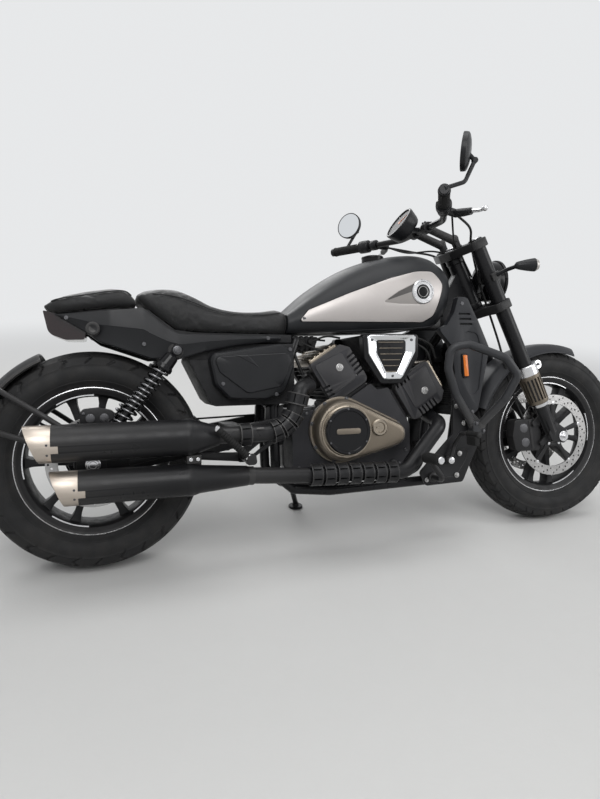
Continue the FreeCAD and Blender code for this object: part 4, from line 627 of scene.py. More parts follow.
def wheel(name, body, x, z, rim_w, hub_w, phase):
    half = rim_w / 2
    barrel = [(-half, 214), (-half + 1.5, FLANGE_R), (-half + 4.5, FLANGE_R - 1), (-half + 7, BEAD_R + 1),
              (-half + 26, BEAD_R - 1), (-half * 0.3, 195), (half * 0.3, 195), (half - 26, BEAD_R - 1),
              (half - 7, BEAD_R + 1), (half - 4.5, FLANGE_R - 1), (half - 1.5, FLANGE_R), (half, 214),
              (half - 3, 206), (half - 8, 196), (half - 20, 190), (half * 0.4, 187), (-half * 0.4, 187),
              (20 - half, 190), (8 - half, 196), (3 - half, 206), (-half, 214)]
    hub = [(-hub_w / 2, 12), (-hub_w / 2, 40), (4 - hub_w / 2, 42), (-hub_w * 0.3, 40), (-hub_w * 0.16, 35),
           (hub_w * 0.16, 35), (hub_w * 0.3, 40), (hub_w / 2 - 4, 42), (hub_w / 2, 40), (hub_w / 2, 12),
           (-hub_w / 2, 12)]
    piece(name, [CAST_BLACK, MACHINED],
          join(lathe(barrel, *axle(x, z), 128), lathe(hub, *axle(x, z), 64)), OWN, "wheel_black", body=body, sharp=30)
    spokes = []
    for side in (-1, 1):
        rings = []
        for far, wide, deep, lean in ((34, 15, rim_w * 0.33, 0), (62, 10.5, rim_w * 0.27, 0),
                                      (118, 8.2, rim_w * 0.23, 1), (168, 9.4, rim_w * 0.23, 2.5),
                                      (184, 13, rim_w * 0.24, 3.5), (191, 19, rim_w * 0.25, 4.5)):
            mid = side * lean
            rings.append([V(far, -deep, mid - wide), V(far, -deep * 0.9, mid - wide - 1.2),
                          V(far, deep * 0.9, mid - wide - 1.2), V(far, deep, mid - wide), V(far, deep, mid + wide),
                          V(far, deep * 0.9, mid + wide + 1.2), V(far, -deep * 0.9, mid + wide + 1.2),
                          V(far, -deep, mid + wide)])
        spokes.append(spun(skin(rings), x, z, PAIRS, phase + side * PAIR_HALF))
    piece(name + "_spokes", [CAST_BLACK, MACHINED], join(*spokes), slot="wheel_black", body=body, bevel=1.7, sharp=38,
          rim=1)
    arcs = []
    for side in (-1, 1):
        ring = [(-1.2, 191.5), (-1.2, 195.5), (1.2, 195.5), (1.2, 191.5), (-1.2, 191.5)]
        for k in range(PAIRS):
            arcs.append(lathe(ring, (x, side * (half - 11.5), z), (0, 1, 0), 20, 32,
                              180 + phase - 16 + 360 * k / PAIRS))
        edge = [(side * (half - 0.6), 213), (side * (half + 0.3), 214.6), (side * (half - 0.5), 216.6),
                (side * (half - 1.6), 214.8), (side * (half - 0.6), 213)]
        arcs.append(lathe(edge, *axle(x, z), 128))
    piece(name + "_bright_lines", MACHINED, join(*arcs), slot="polished_alloy", body=body)
    stem = join(rod((x - 150, 20, z + 112), (x - 138, 30, z + 103), 4, 12),
                rod((x - 138, 30, z + 103), (x - 128, 38, z + 96), 5, 12, 1))
    piece(name + "_valve", BOLT, stem, body=body)


def disc(name, body, nodes, x, z, y, radius, outside):
    """Drilled disc on its carrier; outside is the side its bolts show on."""
    inner = radius - 34
    t = DISC_T / 2
    band = lathe([(-t, inner), (-t, radius - 0.6), (0.6 - t, radius), (t - 0.6, radius), (t, radius - 0.6),
                  (t, inner), (-t, inner)], (x, y, z), (0, 1, 0), 120)
    holes = []
    for k, (c, s) in enumerate(spots(0, 0, 1, 60)):
        far = radius - (8, 16.5, 25)[k % 3]
        holes.append(lathe([(-6, ROD_CORE), (-6, 3.4), (6, 3.4), (6, ROD_CORE)], (x + far * c, y, z + far * s),
                           (0, 1, 0), 10))
    piece(name, STEEL, band, nodes, "disc_steel", body=body, cuts=[join(*holes)], sharp=30)
    arm = plate([(34, -12, 3), (60, -7, 20), (inner - 6, -10, 2), (inner + 3, -11, 2), (inner + 3, 11, 2),
                 (inner - 6, 10, 2), (60, 7, 20), (34, 12, 3)], -2.2, 2.2)
    hub = lathe([(-2.6, 31), (-2.6, 44), (2.6, 44), (2.6, 31), (-2.6, 31)], *axle(0, 0), 48)
    carrier = shifted(join(spun(arm, 0, 0, PAIRS, 18), hub), x, y, z)
    bolt = join(nut(38, 0, 0, outside * 7, 6), pin(inner + 3, 0, -t - 0.8, t + 0.8, 6, 20, 0.6))
    piece(name + "_carrier", PAINT, carrier, body=body, bevel=0.6)
    piece(name + "_bolts", POLISHED, shifted(spun(bolt, 0, 0, PAIRS, 18), x, y, z), slot="polished_alloy", body=body,
          bevel=0.5)


tyre("rear_tyre", "rear_wheel", 0, REAR_Z, REAR_R, REAR_CROWN, REAR_W, REAR_RIM_W, REAR_TREAD, 14, 6.0)
tyre("front_tyre", "front_wheel", WHEELBASE, FRONT_Z, FRONT_R, FRONT_CROWN, FRONT_W, FRONT_RIM_W, FRONT_TREAD, 22,
     5.0)
wheel("rear_rim", "rear_wheel", 0, REAR_Z, REAR_RIM_W, REAR_HUB, REAR_PHASE)
wheel("front_rim", "front_wheel", WHEELBASE, FRONT_Z, FRONT_RIM_W, FRONT_HUB, FRONT_PHASE)
disc("rear_disc", "rear_wheel", ["rear_disc"], 0, REAR_Z, -REAR_DISC_Y, 130, -1)
disc("front_disc_right", "front_wheel", ["front_discs"], WHEELBASE, FRONT_Z, -FRONT_DISC_Y, 150, -1)
disc("front_disc_left", "front_wheel", [], WHEELBASE, FRONT_Z, FRONT_DISC_Y, 150, 1)


def pulley():
    teeth = []
    for k, (c, s) in enumerate(spots(0, 0, 1, 66 * 4)):
        far = 88 if k % 4 in (0, 1) else 85.6
        teeth.append((far * c, far * s))
    rings = [[V(x * s, y, REAR_Z + z * s) for x, z in teeth] for y, s in ((88, 1), (92, 1), (112, 1))]
    web = lathe([(92, 14), (92, 80), (96, 82), (110, 84.5), (112, 84.5), (112, 78), (101, 72), (100, 40), (108, 34),
                 (108, 14), (92, 14)], *axle(0, REAR_Z), 72)
    return join(skin(rings, caps=False), lathe([(88, 14), (88, 86)], *axle(0, REAR_Z), 72), web)


piece("rear_pulley", PAINT, pulley(), OWN, body="rear_wheel", sharp=30)


# Rear suspension, belt and axle

ARM_IN, ARM_OUT = 118.0, 142.0
PIVOT = (545.0, 400.0)
SHOCK_LOW, SHOCK_HIGH, SHOCK_Y = (32.0, 385.0), (240.0, 640.0), 150.0


def swingarm():
    low, high = REAR_Z - 27, REAR_Z + 27
    x, z = PIVOT
    arm = plate([(-50, low + 4, 12), (60, low - 2, 30), (x, z - 32, 30), (x + 26, z, 22), (x, z + 32, 30),
                 (60, high + 2, 30), (-50, high - 4, 12)], -ARM_OUT, -ARM_IN, 8)
    lug = plate([(2, REAR_Z + 20, 6), (88, REAR_Z + 20, 6), (50, 404, 12), (14, 404, 12)], -130, -ARM_IN)
    ridge = plate([(96, REAR_Z - 11, 8), (x - 60, z - 12, 8), (x - 60, z + 12, 8), (96, REAR_Z + 11, 8)],
                  -ARM_OUT - 2.0, -ARM_OUT + 1)
    slot = pad(-44, 36, REAR_Z - 15, REAR_Z + 15, 8, -ARM_OUT - 2.5, -ARM_OUT + 1)
    adjuster = join(hexagon((-52, -130, REAR_Z), (-46, -130, REAR_Z), 7),
                    rod((-51.5, -130, REAR_Z), (-20, -130, REAR_Z), 3.5, 12))
    cross = block((400, 448), (-ARM_IN - 2, ARM_IN + 2), (358, 408))
    piece("swingarm", PAINT, join(both(join(arm, lug, ridge, slot)), cross), OWN, bevel=2.5, steps=3)
    piece("swingarm_adjusters", BOLT, both(adjuster), bevel=0.4)
    pivot = join(pin(x, z, -ARM_OUT - 5, -ARM_OUT + 1, 19, 32, 2), nut(x, z, -ARM_OUT - 5.9, -ARM_OUT, 11))
    piece("swingarm_pivot_caps", POLISHED, both(pivot), slot="polished_alloy", bevel=0.6)


def rear_axle():
    end = join(nut(0, REAR_Z, -ARM_OUT - 12, -ARM_OUT - 2, 18, 1.5),
               pin(0, REAR_Z, -ARM_OUT - 3.5, -ARM_OUT, 21, 32, 0.8),
               pin(0, REAR_Z, -ARM_OUT - 14, -ARM_OUT - 8, 10.8, 32, 1.2))
    shaft = pin(0, REAR_Z, -130, 130, 11, 32)
    spacer = both(pin(0, REAR_Z, -ARM_IN, -REAR_HUB / 2 - 9, 17, 32, 1))
    piece("rear_axle", POLISHED, join(both(end), shaft, spacer), OWN, "polished_alloy", bevel=0.6)


def shock():
    start, end = V(SHOCK_LOW[0], -SHOCK_Y, SHOCK_LOW[1]), V(SHOCK_HIGH[0], -SHOCK_Y, SHOCK_HIGH[1])
    along = (end - start).normalized()
    length = (end - start).length
    low, high = 60.0, length - 68
    across = along.cross(V(0, 1, 0)).normalized()
    up = along.cross(across)
    turns = 11.5
    coil, count = [], 420
    for k in range(count + 1):
        share = k / count
        far = low + 6 + (high - low - 12) * (share + 0.028 * sin(2 * pi * share))
        angle = 2 * pi * turns * share
        coil.append(start + along * far + (across * cos(angle) + up * sin(angle)) * 21.4)
    body = lathe([(16, CORE_R), (16, 11), (40, 13), (46, 18), (50, 18), (50, 27), (60, 27.5), (62, 25), (62, 12),
                  (length - 70, 12), (length - 70, 25), (length - 66, 27.5), (length - 58, 27), (length - 52, 22.5),
                  (length - 24, 20), (length - 16, 12), (length - 14, CORE_R)], start, along, 40)
    collar = []
    for a, b in spots(0, 0, 1, 8):
        at = start + along * 55 + (across * a + up * b) * 25.6
        collar.append(rod(at - along * 4, at + along * 4, 3.0, 10))
    eyes, bolts = [], []
    for at in (start, end):
        eyes.append(lathe([(-11.5, 7), (-11.5, 14.5), (-10, 16), (10, 16), (11.5, 14.5), (11.5, 7), (-11.5, 7)],
                          at, (0, 1, 0), 32))
        bolts += [rod(at + V(0, y0, 0), at + V(0, y1, 0), r, sides, edge) for y0, y1, r, sides,
                  edge in ((-18, -11, 10, 6, 1), (-12.6, -11.4, 12.5, 24, 0), (-12, 32, 7, 20, 0))]
    return tube(coil, 3.9, 10), join(body, *eyes), join(*collar), join(*bolts)


def rear_caliper():
    y0, y1 = -116.5, -74.5
    body = plate([(-34, REAR_Z + 106, 6), (58, REAR_Z + 98, 6), (64, REAR_Z + 146, 16), (20, REAR_Z + 158, 12),
                  (-30, REAR_Z + 154, 14)], y0, y1)
    gap = solid([(-5, 136), (5, 136)], (0, -REAR_DISC_Y, REAR_Z), (0, 1, 0), 64)
    bracket = plate([(-20, REAR_Z - 18, 16), (20, REAR_Z - 18, 16), (40, REAR_Z + 112, 6), (-20, REAR_Z + 112, 6)],
                    y0 - 0.4, y0 + 6)
    piece("rear_caliper", PAINT, join(body, bracket), OWN, bevel=2.2, cuts=[gap], steps=3)
    details = [pin(x, REAR_Z + 128, y0 - 1.5, y0 + 1, 13, 28, 1) for x in (-4, 34)]
    details += [nut(x, REAR_Z + z, y0 - 4, y0 + 1, 5) for x, z in ((-22, 142), (52, 112))]
    piece("rear_caliper_caps", BOLT, join(*details), bevel=0.4)


def wrap(first, first_r, second, second_r, parts):
    """Points round two circles and the tangents between them, as (x, z)."""
    dx, dz = second[0] - first[0], second[1] - first[1]
    base = atan2(dz, dx)
    spread = acos((first_r - second_r) / hypot(dx, dz))
    ring = []
    for k in range(parts + 1):
        angle = base + spread + (2 * pi - 2 * spread) * k / parts
        ring.append((first[0] + first_r * cos(angle), first[1] + first_r * sin(angle)))
    for k in range(parts + 1):
        angle = base - spread + 2 * spread * k / parts
        ring.append((second[0] + second_r * cos(angle), second[1] + second_r * sin(angle)))
    return ring


CASE_ROOM = 84.0          # depth from which the gearbox's pulley has its room


def drive_belt():
    gear, gear_r = (612.0, 392.0), 36.0
    inside = wrap((0, REAR_Z), 88.6, gear, gear_r, 40)
    outside = wrap((0, REAR_Z), 94.0, gear, gear_r + 5.4, 40)
    edges = (inside, 96), (outside, 95.4), (outside, 109.6), (inside, 109)
    rings = [[V(x, y, z) for x, z in ring] for ring, y in edges]
    piece("drive_belt", RUBBER, skin(rings, loop=True), OWN, "rubber", sharp=30)
    teeth = solid([(CASE_ROOM, 35.6), (117, 35.6)], *axle(*gear), 48)
    piece("gearbox_pulley", BOLT, teeth, bevel=0.8)


swingarm()
rear_axle()
coil, bodies, collars, bolts = shock()
piece("shocks", GLOSS, both(bodies), OWN, sharp=30)
piece("shock_springs", SPRING, both(coil), slot="chrome", sharp=60)
piece("shock_collars", PAINT, both(collars))
piece("shock_bolts", BOLT, both(bolts), slot="polished_alloy", bevel=0.5)
rear_caliper()
drive_belt()


# Engine

REAR_TILT, FRONT_TILT = -32.0, 58.0
CASE_Y = 118.0
DECK, HEAD_TOP = 118.0, 284.0
CYL_W, CYL_Y, COVER_Y = 73.0, 100.0, 126.0
CLUTCH, CLUTCH_R, CAP_R = (751.0, 384.0), 106.0, 76.0
NOSE, NOSE_R = (921.0, 366.0), 48.0


def crankcase():
    tops = [bore_point(FRONT_TILT, DECK, CYL_W) + (8,), bore_point(FRONT_TILT, DECK, -CYL_W) + (4,),
            (CRANK[0] + 24, CRANK[1] + 118, 6), bore_point(REAR_TILT, DECK, CYL_W) + (4,),
            bore_point(REAR_TILT, DECK, -CYL_W) + (8,)]
    outlines = [(592, 262, 24), (640, 222, 30), (940, 222, 34), (1002, 300, 34), *tops, (650, 448, 20),
                (592, 452, 24)]
    case = plate(outlines, -CASE_Y, CASE_Y)
    hollow = solid([(-200, 61), (200, 61)], *axle(*PIVOT), 48)
    room = block((560, 664), (CASE_ROOM, CASE_Y + 1), (330, 460))
    generator = solid([(CASE_Y - 1, 92), (CASE_Y + 6, 92), (CASE_Y + 8, 88), (CASE_Y + 26, 85), (CASE_Y + 33, 76),
                       (CASE_Y + 34, 60), (CASE_Y + 31, 56)], *axle(*CRANK), 72)
    sump = plate([(700, 206, 10), (900, 206, 10), (900, 223, 0), (700, 223, 0)], -80, 80)
    ribs = [pad(x - 3, x + 3, 208, 222, 0, -78, 78) for x in range(715, 900, 22)]
    seam = moved(plate(outlines, -6, 6), shift(800, 0, 340) @ Matrix.Diagonal((1.008, 1, 1.012, 1))
                 @ shift(-800, 0, -340))
    piece("crankcase", ENGINE, join(case, generator, sump, seam, *ribs), OWN, "engine_grey",
          bevel=2.5, cuts=[hollow, room], steps=3)
    bolts = [nut(x, z, CASE_Y + 2, CASE_Y + 11, 5.5) for x, z in spots(*CRANK, 88, 8, 0.5)]
    for x, z in ((612, 268), (680, 236), (780, 232), (880, 232), (960, 262), (985, 306), (640, 440)):
        bolts.append(both(nut(x, z, -CASE_Y - 5, -CASE_Y + 1, 6)))
    filler = join(pin(940, 300, CASE_Y - 1, CASE_Y + 12, 18, 32, 2),
                  pin(940, 262, -CASE_Y - 8, -CASE_Y + 1, 13, 32, 2))
    piece("case_bolts", BOLT, join(filler, *bolts), bevel=0.5)
    ring = torus((CRANK[0], CASE_Y + 31, CRANK[1]), (0, 1, 0), 62, 1.6, 72)
    piece("generator_ring", NICKEL, ring, slot="bronze_cover", sharp=60)


def pulley_cover():
    outer = plate([(577, 330, 26), (690, 302, 26), (754, 330, 20), (750, 450, 20), (640, 462, 20), (577, 446, 26)],
                  CASE_Y, CASE_Y + 18)
    raised = plate([(596, 346, 10), (686, 324, 10), (732, 344, 10), (730, 432, 10), (640, 442, 10), (596, 430, 10)],
                   CASE_Y + 17, CASE_Y + 24.5)
    slots = [plate([(616 + k * 26, 356, 4), (624 + k * 26, 356, 4), (634 + k * 26, 420, 4), (626 + k * 26, 420, 4)],
                   CASE_Y + 20, CASE_Y + 26) for k in range(4)]
    piece("pulley_cover", PAINT, join(outer, raised), OWN, bevel=2.5, steps=3, cuts=slots)
    places = (586, 340), (744, 338), (742, 442), (586, 440), (690, 312)
    bolts = [nut(x, z, CASE_Y + 16, CASE_Y + 22, 6) for x, z in places]
    piece("pulley_cover_bolts", BOLT, join(*bolts), bevel=0.5)


def teardrop(shrink, depth):
    ring = wrap(CLUTCH, CLUTCH_R - shrink, NOSE, NOSE_R - shrink, 30)
    return [V(x, -CASE_Y - depth, z) for x, z in ring]


def clutch_cover():
    flange = skin([teardrop(0.5, -0.5), teardrop(0, 2), teardrop(0, 12), teardrop(2.5, 14.5), teardrop(5, 15)])
    dome = skin([teardrop(7, 12), teardrop(7.5, 24), teardrop(9, 42), teardrop(11, 51), teardrop(16, 58),
                 teardrop(22, 61), teardrop(30, 62)])
    piece("clutch_cover", BRONZE, join(flange, dome), OWN, "bronze_cover", sharp=26)
    x, z = CLUTCH
    face = -CASE_Y
    step = lathe([(face - 58, CAP_R + 4), (face - 66, CAP_R + 3), (face - 69, CAP_R), (face - 69, 20),
                  (face - 58, 20)], *axle(x, z), 96)
    facets = lathe([(face - 54, CAP_R + 12), (face - 63, CAP_R + 8), (face - 63.5, CAP_R - 2)], *axle(x, z), 16)
    piece("clutch_cover_ridge", NICKEL, join(step, facets), slot="bronze_cover", sharp=20)
    cap = solid([(face - 66, CAP_R - 2), (face - 76, CAP_R - 2), (face - 79.5, CAP_R - 5.5),
                 (face - 79.5, CAP_R - 12), (face - 77, CAP_R - 14)], *axle(x, z), 96)
    raised = pad(x - 40, x + 40, z - 9, z + 9, 8, face - 79.6, face - 76)
    piece("clutch_cap", GLOSS, cap, slot="gloss_black", sharp=28)
    piece("clutch_cap_bar", BRONZE, raised, slot="bronze_cover", bevel=1.2)
    screws = [pin(sx, sz, face - 80, face - 76, 3.2, 14, 0.5) for sx, sz in spots(x, z, 68.5, 6, 0.5)]
    edge = wrap(CLUTCH, CLUTCH_R - 6, NOSE, NOSE_R - 6, 30)
    for k in (2, 8, 14, 20, 26, 33, 41, 49, 57):
        ex, ez = edge[k]
        screws.append(join(nut(ex, ez, face - 20, face - 11, 5.0), pin(ex, ez, face - 16, face - 12, 7.0, 18, 0.6)))
    piece("clutch_screws", BOLT, join(*screws), bevel=0.4)
    plug = solid([(face - 58, 27), (face - 66, 27), (face - 69.5, 23.5), (face - 69.5, 17),
                  (face - 66, 15)], *axle(*CRANK), 48)
    slot = block((CRANK[0] - 11, CRANK[0] + 11), (face - 69, face - 65), (CRANK[1] - 2.5, CRANK[1] + 2.5))
    piece("timing_plug", NICKEL, join(plug, slot), slot="bronze_cover", sharp=28)


def cylinder(name, angle):
    fins = []
    for k in range(9):
        low = DECK + 8 + k * 16.5
        fins.append(deck(-CYL_W + 5, CYL_W - 5, CYL_Y, 16, low, low + 3.2))
    core = deck(-CYL_W + 14, CYL_W - 14, CYL_Y - 8, 14, DECK, HEAD_TOP - 8)
    base = deck(-CYL_W + 4, CYL_W - 4, CYL_Y, 8, DECK - 2, DECK + 7)
    guard = [] if angle > 0 else [solid([(-200, CLUTCH_R + 1), (-CASE_Y + 0.5, CLUTCH_R + 1)], *axle(*CLUTCH), 64)]
    piece(name, ENGINE, turned(join(core, base, *fins), angle), OWN, "engine_grey", bevel=0.8, cuts=guard)
    cover = plate([(-CYL_W, HEAD_TOP - 150, 28), (CYL_W - 4, HEAD_TOP - 150, 16), (CYL_W, HEAD_TOP - 132, 10),
                   (CYL_W, HEAD_TOP - 26, 8), (CYL_W - 24, HEAD_TOP - 1, 8), (-CYL_W + 2, HEAD_TOP - 1, 8)],
                  -COVER_Y, 1 - CYL_Y)
    panel = plate([(-CYL_W + 12, HEAD_TOP - 122, 16), (CYL_W - 34, HEAD_TOP - 122, 12),
                   (CYL_W - 34, HEAD_TOP - 24, 10), (-CYL_W + 12, HEAD_TOP - 14, 10)], -COVER_Y - 2.2, -COVER_Y + 1)
    slots = []
    for k in range(5):
        low = HEAD_TOP - 116 + k * 15.5
        slots.append(plate([(CYL_W - 27, low, 1), (CYL_W + 6, low + 3, 1), (CYL_W + 6, low + 10, 1),
                            (CYL_W - 27, low + 7, 1)], -COVER_Y - 4, 10 - COVER_Y))
        if k < 4:
            slots.append(plate([(-CYL_W - 6, low - 23, 1), (-CYL_W + 22, low - 26, 1), (-CYL_W + 22, low - 19, 1),
                                (-CYL_W - 6, low - 16, 1)], -COVER_Y - 4, 10 - COVER_Y))
    shape, tool = turned(join(cover, panel), angle), turned(join(*slots), angle)
    for suffix, side in SIDES:
        piece(name + "_cover_" + suffix, ENGINE, side(shape), slot="engine_grey", bevel=1.6, overlap=True,
              cuts=[side(tool)] + (guard if suffix == "right" else []))
    bolt = join(pin(8, HEAD_TOP - 62, -COVER_Y - 4, 1 - COVER_Y, 13, 32, 1.5),
                nut(8, HEAD_TOP - 62, -COVER_Y - 5, -COVER_Y, 7.5))
    piece(name + "_bolts", STEEL, turned(both(bolt), angle), slot="polished_alloy", bevel=0.6)
    top = deck(4 - CYL_W, CYL_W - 30, COVER_Y - 7, 12, HEAD_TOP - 9, HEAD_TOP + 8)
    ridge = [deck(8 - CYL_W + k * 20, 19 - CYL_W + k * 20, COVER_Y - 11, 4, HEAD_TOP + 7, HEAD_TOP + 11.5)
             for k in range(5)]
    piece(name + "_rocker_cap", NICKEL, turned(join(top, *ridge), angle), slot="bronze_cover", bevel=1.8)


INTAKE = [(838, 685, 12), (1014, 685, 12), (1012, 630, 18), (960, 541, 16), (894, 541, 16), (842, 624, 18)]
HOUSING = [(826, 688, 10), (1026, 688, 10), (1024, 612, 20), (966, 527, 16), (888, 527, 16), (832, 608, 20)]


def narrowed(corners, rows):
    """Loft of the intake's outline, drawn smaller about its middle by (across, up, depth) rows."""
    return skin([[V(926 + (p.x - 926) * across, y, 624 + (p.z - 624) * up) for p in outline(corners)]
                 for across, up, y in rows])


def air_intake():
    body = plate([(846, 689, 6), (1000, 689, 6), (960, 604, 10), (922, 564, 10), (888, 604, 10)], -112, 112)
    shell = narrowed(INTAKE, [(1, 1, -112), (1, 1, -146), (0.985, 0.985, -150), (0.95, 0.95, -152),
                              (0.90, 0.91, -151.4), (0.62, 0.74, -144), (0.58, 0.71, -142), (0.56, 0.69, -130)])
    housing = narrowed(HOUSING, [(1, 1, -112), (1, 1, -139), (0.98, 0.98, -142), (0.95, 0.95, -143)])
    mouth = narrowed(INTAKE, [(0.555, 0.685, -131.5), (0.555, 0.685, -129.5)])
    piece("air_intake", CHROME, both(shell), OWN, "chrome", sharp=18)
    piece("intake_housings", PLASTIC_GLOSS, both(housing), slot="black_plastic", sharp=24)
    piece("intake_mouths", GLOSS, both(mouth), slot="gloss_black", sharp=24)
    slats, tilt = [], swung(-56, "X")
    for k in range(6):
        low = 664 - k * 19.0
        half = 46 - k * 3.4 - max(0, k - 2) * 3.0
        slat = pad(-half, half, -6, 6, 2, -1.3, 1.3)
        slats.append(moved(slat, shift(926, -138.5, low) @ tilt))
    piece("intake_louvres", NICKEL, both(join(*slats)), slot="bronze_cover", bevel=0.7)
    studs = [solid([(-153.5, 3.4), (-152.5, 4.2), (-150, 4.2)], *axle(x, z), 20)
             for x, z in ((856, 668), (996, 668), (926, 552))]
    piece("intake_screws", BOLT, both(join(*studs)), sharp=30)
    ports = []
    for angle, side in ((REAR_TILT, 1), (FRONT_TILT, -1)):
        x0, z0 = bore_point(angle, 190, side * 60)
        x1, z1 = bore_point(angle, 190, side * 120)
        ports.append(rod((x0, 0, z0), (x1, 0, z1), 25, 32))
        ports.append(torus(((x0 * 0.6 + x1 * 0.4), 0, (z0 * 0.6 + z1 * 0.4)), (x1 - x0, 0, z1 - z0), 26, 3, 40))
    piece("throttle_box", PLASTIC, join(body, *ports), slot="black_plastic", bevel=2.5)


def engine_clutter():
    """Coil pack, connectors and fixed looms between the battery case and the rear cylinder."""
    pack = join(plate([(612, 640, 6), (690, 648, 8), (704, 684, 6), (612, 684, 6)], -66, 66),
                *[plate([(622 + k * 18, 638, 2), (632 + k * 18, 639, 2), (632 + k * 18, 686, 2),
                         (622 + k * 18, 686, 2)], -69, 69) for k in range(4)])
    piece("coil_pack", PLASTIC, pack, slot="black_plastic", bevel=1.5)
    plugs = [pin(640, 664, -84, -60, 12, 28, 2), pin(672, 668, -82, -60, 9, 24, 2)]
    piece("coil_plugs", RUBBER, join(*plugs, *[mirrored(p) for p in plugs]), slot="rubber", sharp=40)
    looms = []
    for start, middle, end, radius in (((640, -80, 664), (700, -96, 640), (744, -88, 662), 4.0),
                                       ((672, -78, 668), (724, -84, 684), (776, -70, 680), 3.4),
                                       ((616, -58, 650), (622, -84, 610), (640, -92, 560), 5.0),
                                       ((1020, -70, 690), (1090, -96, 660), (1120, -88, 610), 4.4),
                                       ((1010, -60, 680), (1070, -104, 640), (1098, -98, 586), 3.6)):
        looms.append(tube(through([start, middle, end], 10), radius, 12))
    piece("engine_looms", HOSE, both(join(*looms)), slot="black_plastic", sharp=60)


engine_clutter()
crankcase()
pulley_cover()
clutch_cover()
cylinder("rear_cylinder", REAR_TILT)
cylinder("front_cylinder", FRONT_TILT)
air_intake()


# Frame, tank, seats and tail

TUBE_R, DOWN_Y, SIDE_Y = 16.0, 100.0, 70.0
CROSS = (625.0, 676.0)
HEAD_R, LOW_CLAMP, TOP_CLAMP = 32.0, 533.0, 762.0
STAND_PIVOT, STAND_FOOT = (650.0, 140.0, 206.0), (716.0, 276.0)
STAND_TILT = radians(42.3)
STAND_AXIS = V(0, cos(STAND_TILT), sin(STAND_TILT))


def chassis_frame():
    x, z = PIVOT
    route = [(1238, -10, 748), (1206, -DOWN_Y, 654), (1190, -DOWN_Y, 430), (1150, -DOWN_Y, 196), (720, -DOWN_Y, 186),
             (606, -SIDE_Y, 194), (548, -SIDE_Y, 244), (x, -SIDE_Y, z + 60), (CROSS[0], -SIDE_Y, CROSS[1])]
    down = bar(route, TUBE_R, [0, 50, 20, 50, 60, 20, 40, 30, 0], 20, 8)
    side = plate([(510, z - 60, 8), (575, z - 60, 8), (575, z + 66, 8), (520, z + 66, 8)], -SIDE_Y - 8, 8 - SIDE_Y)
    spine = block((612, 1180), (-22, 22), (712, 756))
    tail = block((613, 638), (-22, 22), (CROSS[1], 713))
    gusset = plate([(1176, 712, 0), (1240, 736, 20), (1312, 806, 6), (1262, 930, 6), (1192, 816, 20), (1192, 756, 0),
                    (1176, 756, 0)], -18, 18)
    bolt = pin(x, z, -148, 148, 16, 32, 1)
    crosses = join(pin(*CROSS, -SIDE_Y, SIDE_Y, 12, 24), pin(x, z + 60, -SIDE_Y, SIDE_Y, 12, 24))
    pivot = V(*STAND_PIVOT)
    boss = join(rod(pivot - STAND_AXIS * 42, pivot - STAND_AXIS * 12.4, 18, 32, 1.5),
                rod(pivot - STAND_AXIS * 30, pivot + STAND_AXIS * 16, 9, 24),
                hexagon(pivot + STAND_AXIS * 12.4, pivot + STAND_AXIS * 17, 15))
    piece("frame", FRAME_PAINT, join(both(join(down, side)), spine, tail, gusset, bolt, crosses, boss), OWN,
          bevel=1.8)
    head = lathe([(LOW_CLAMP + 15.5, 15.5), (LOW_CLAMP + 15.5, HEAD_R - 1), (LOW_CLAMP + 18, HEAD_R),
                  (LOW_CLAMP + 34, HEAD_R), (LOW_CLAMP + 38, HEAD_R - 3), (TOP_CLAMP - 38, HEAD_R - 3),
                  (TOP_CLAMP - 34, HEAD_R), (TOP_CLAMP - 18, HEAD_R), (TOP_CLAMP - 15.5, HEAD_R - 1),
                  (TOP_CLAMP - 15.5, 15.5), (LOW_CLAMP + 15.5, 15.5)], (0, 0, 0), (0, 0, 1), 56)
    piece("steering_head", FRAME_PAINT, forked(head), sharp=30)


TANK_ROWS = [(590, 694, 722, 750, 762, 84, 110, 68), (680, 696, 756, 816, 836, 92, 130, 82),
             (800, 699, 790, 882, 907, 100, 146, 92), (920, 703, 810, 924, 949, 106, 156, 96),
             (1040, 708, 824, 940, 968, 106, 158, 94), (1112, 722, 834, 936, 962, 96, 148, 84),
             (1158, 768, 848, 916, 936, 72, 118, 62), (1180, 820, 856, 890, 902, 42, 70, 36)]


def eased(rows, parts):
    """Rows of numbers drawn through with a smooth curve, so that a loft has no visible steps."""
    out = []
    for i in range(len(rows) - 1):
        before, low, high = np.array(rows[max(i - 1, 0)]), np.array(rows[i]), np.array(rows[i + 1])
        after = np.array(rows[min(i + 2, len(rows) - 1)])
        for k in range(parts):
            t = k / parts
            width = high[0] - low[0]
            enter = (high - before) / max(high[0] - before[0], 1) * width
            leave = (after - low) / max(after[0] - low[0], 1) * width
            out.append((2 * t ** 3 - 3 * t ** 2 + 1) * low + (t ** 3 - 2 * t ** 2 + t) * enter
                       + (3 * t ** 2 - 2 * t ** 3) * high + (t ** 3 - t ** 2) * leave)
    return out + [np.array(rows[-1], float)]


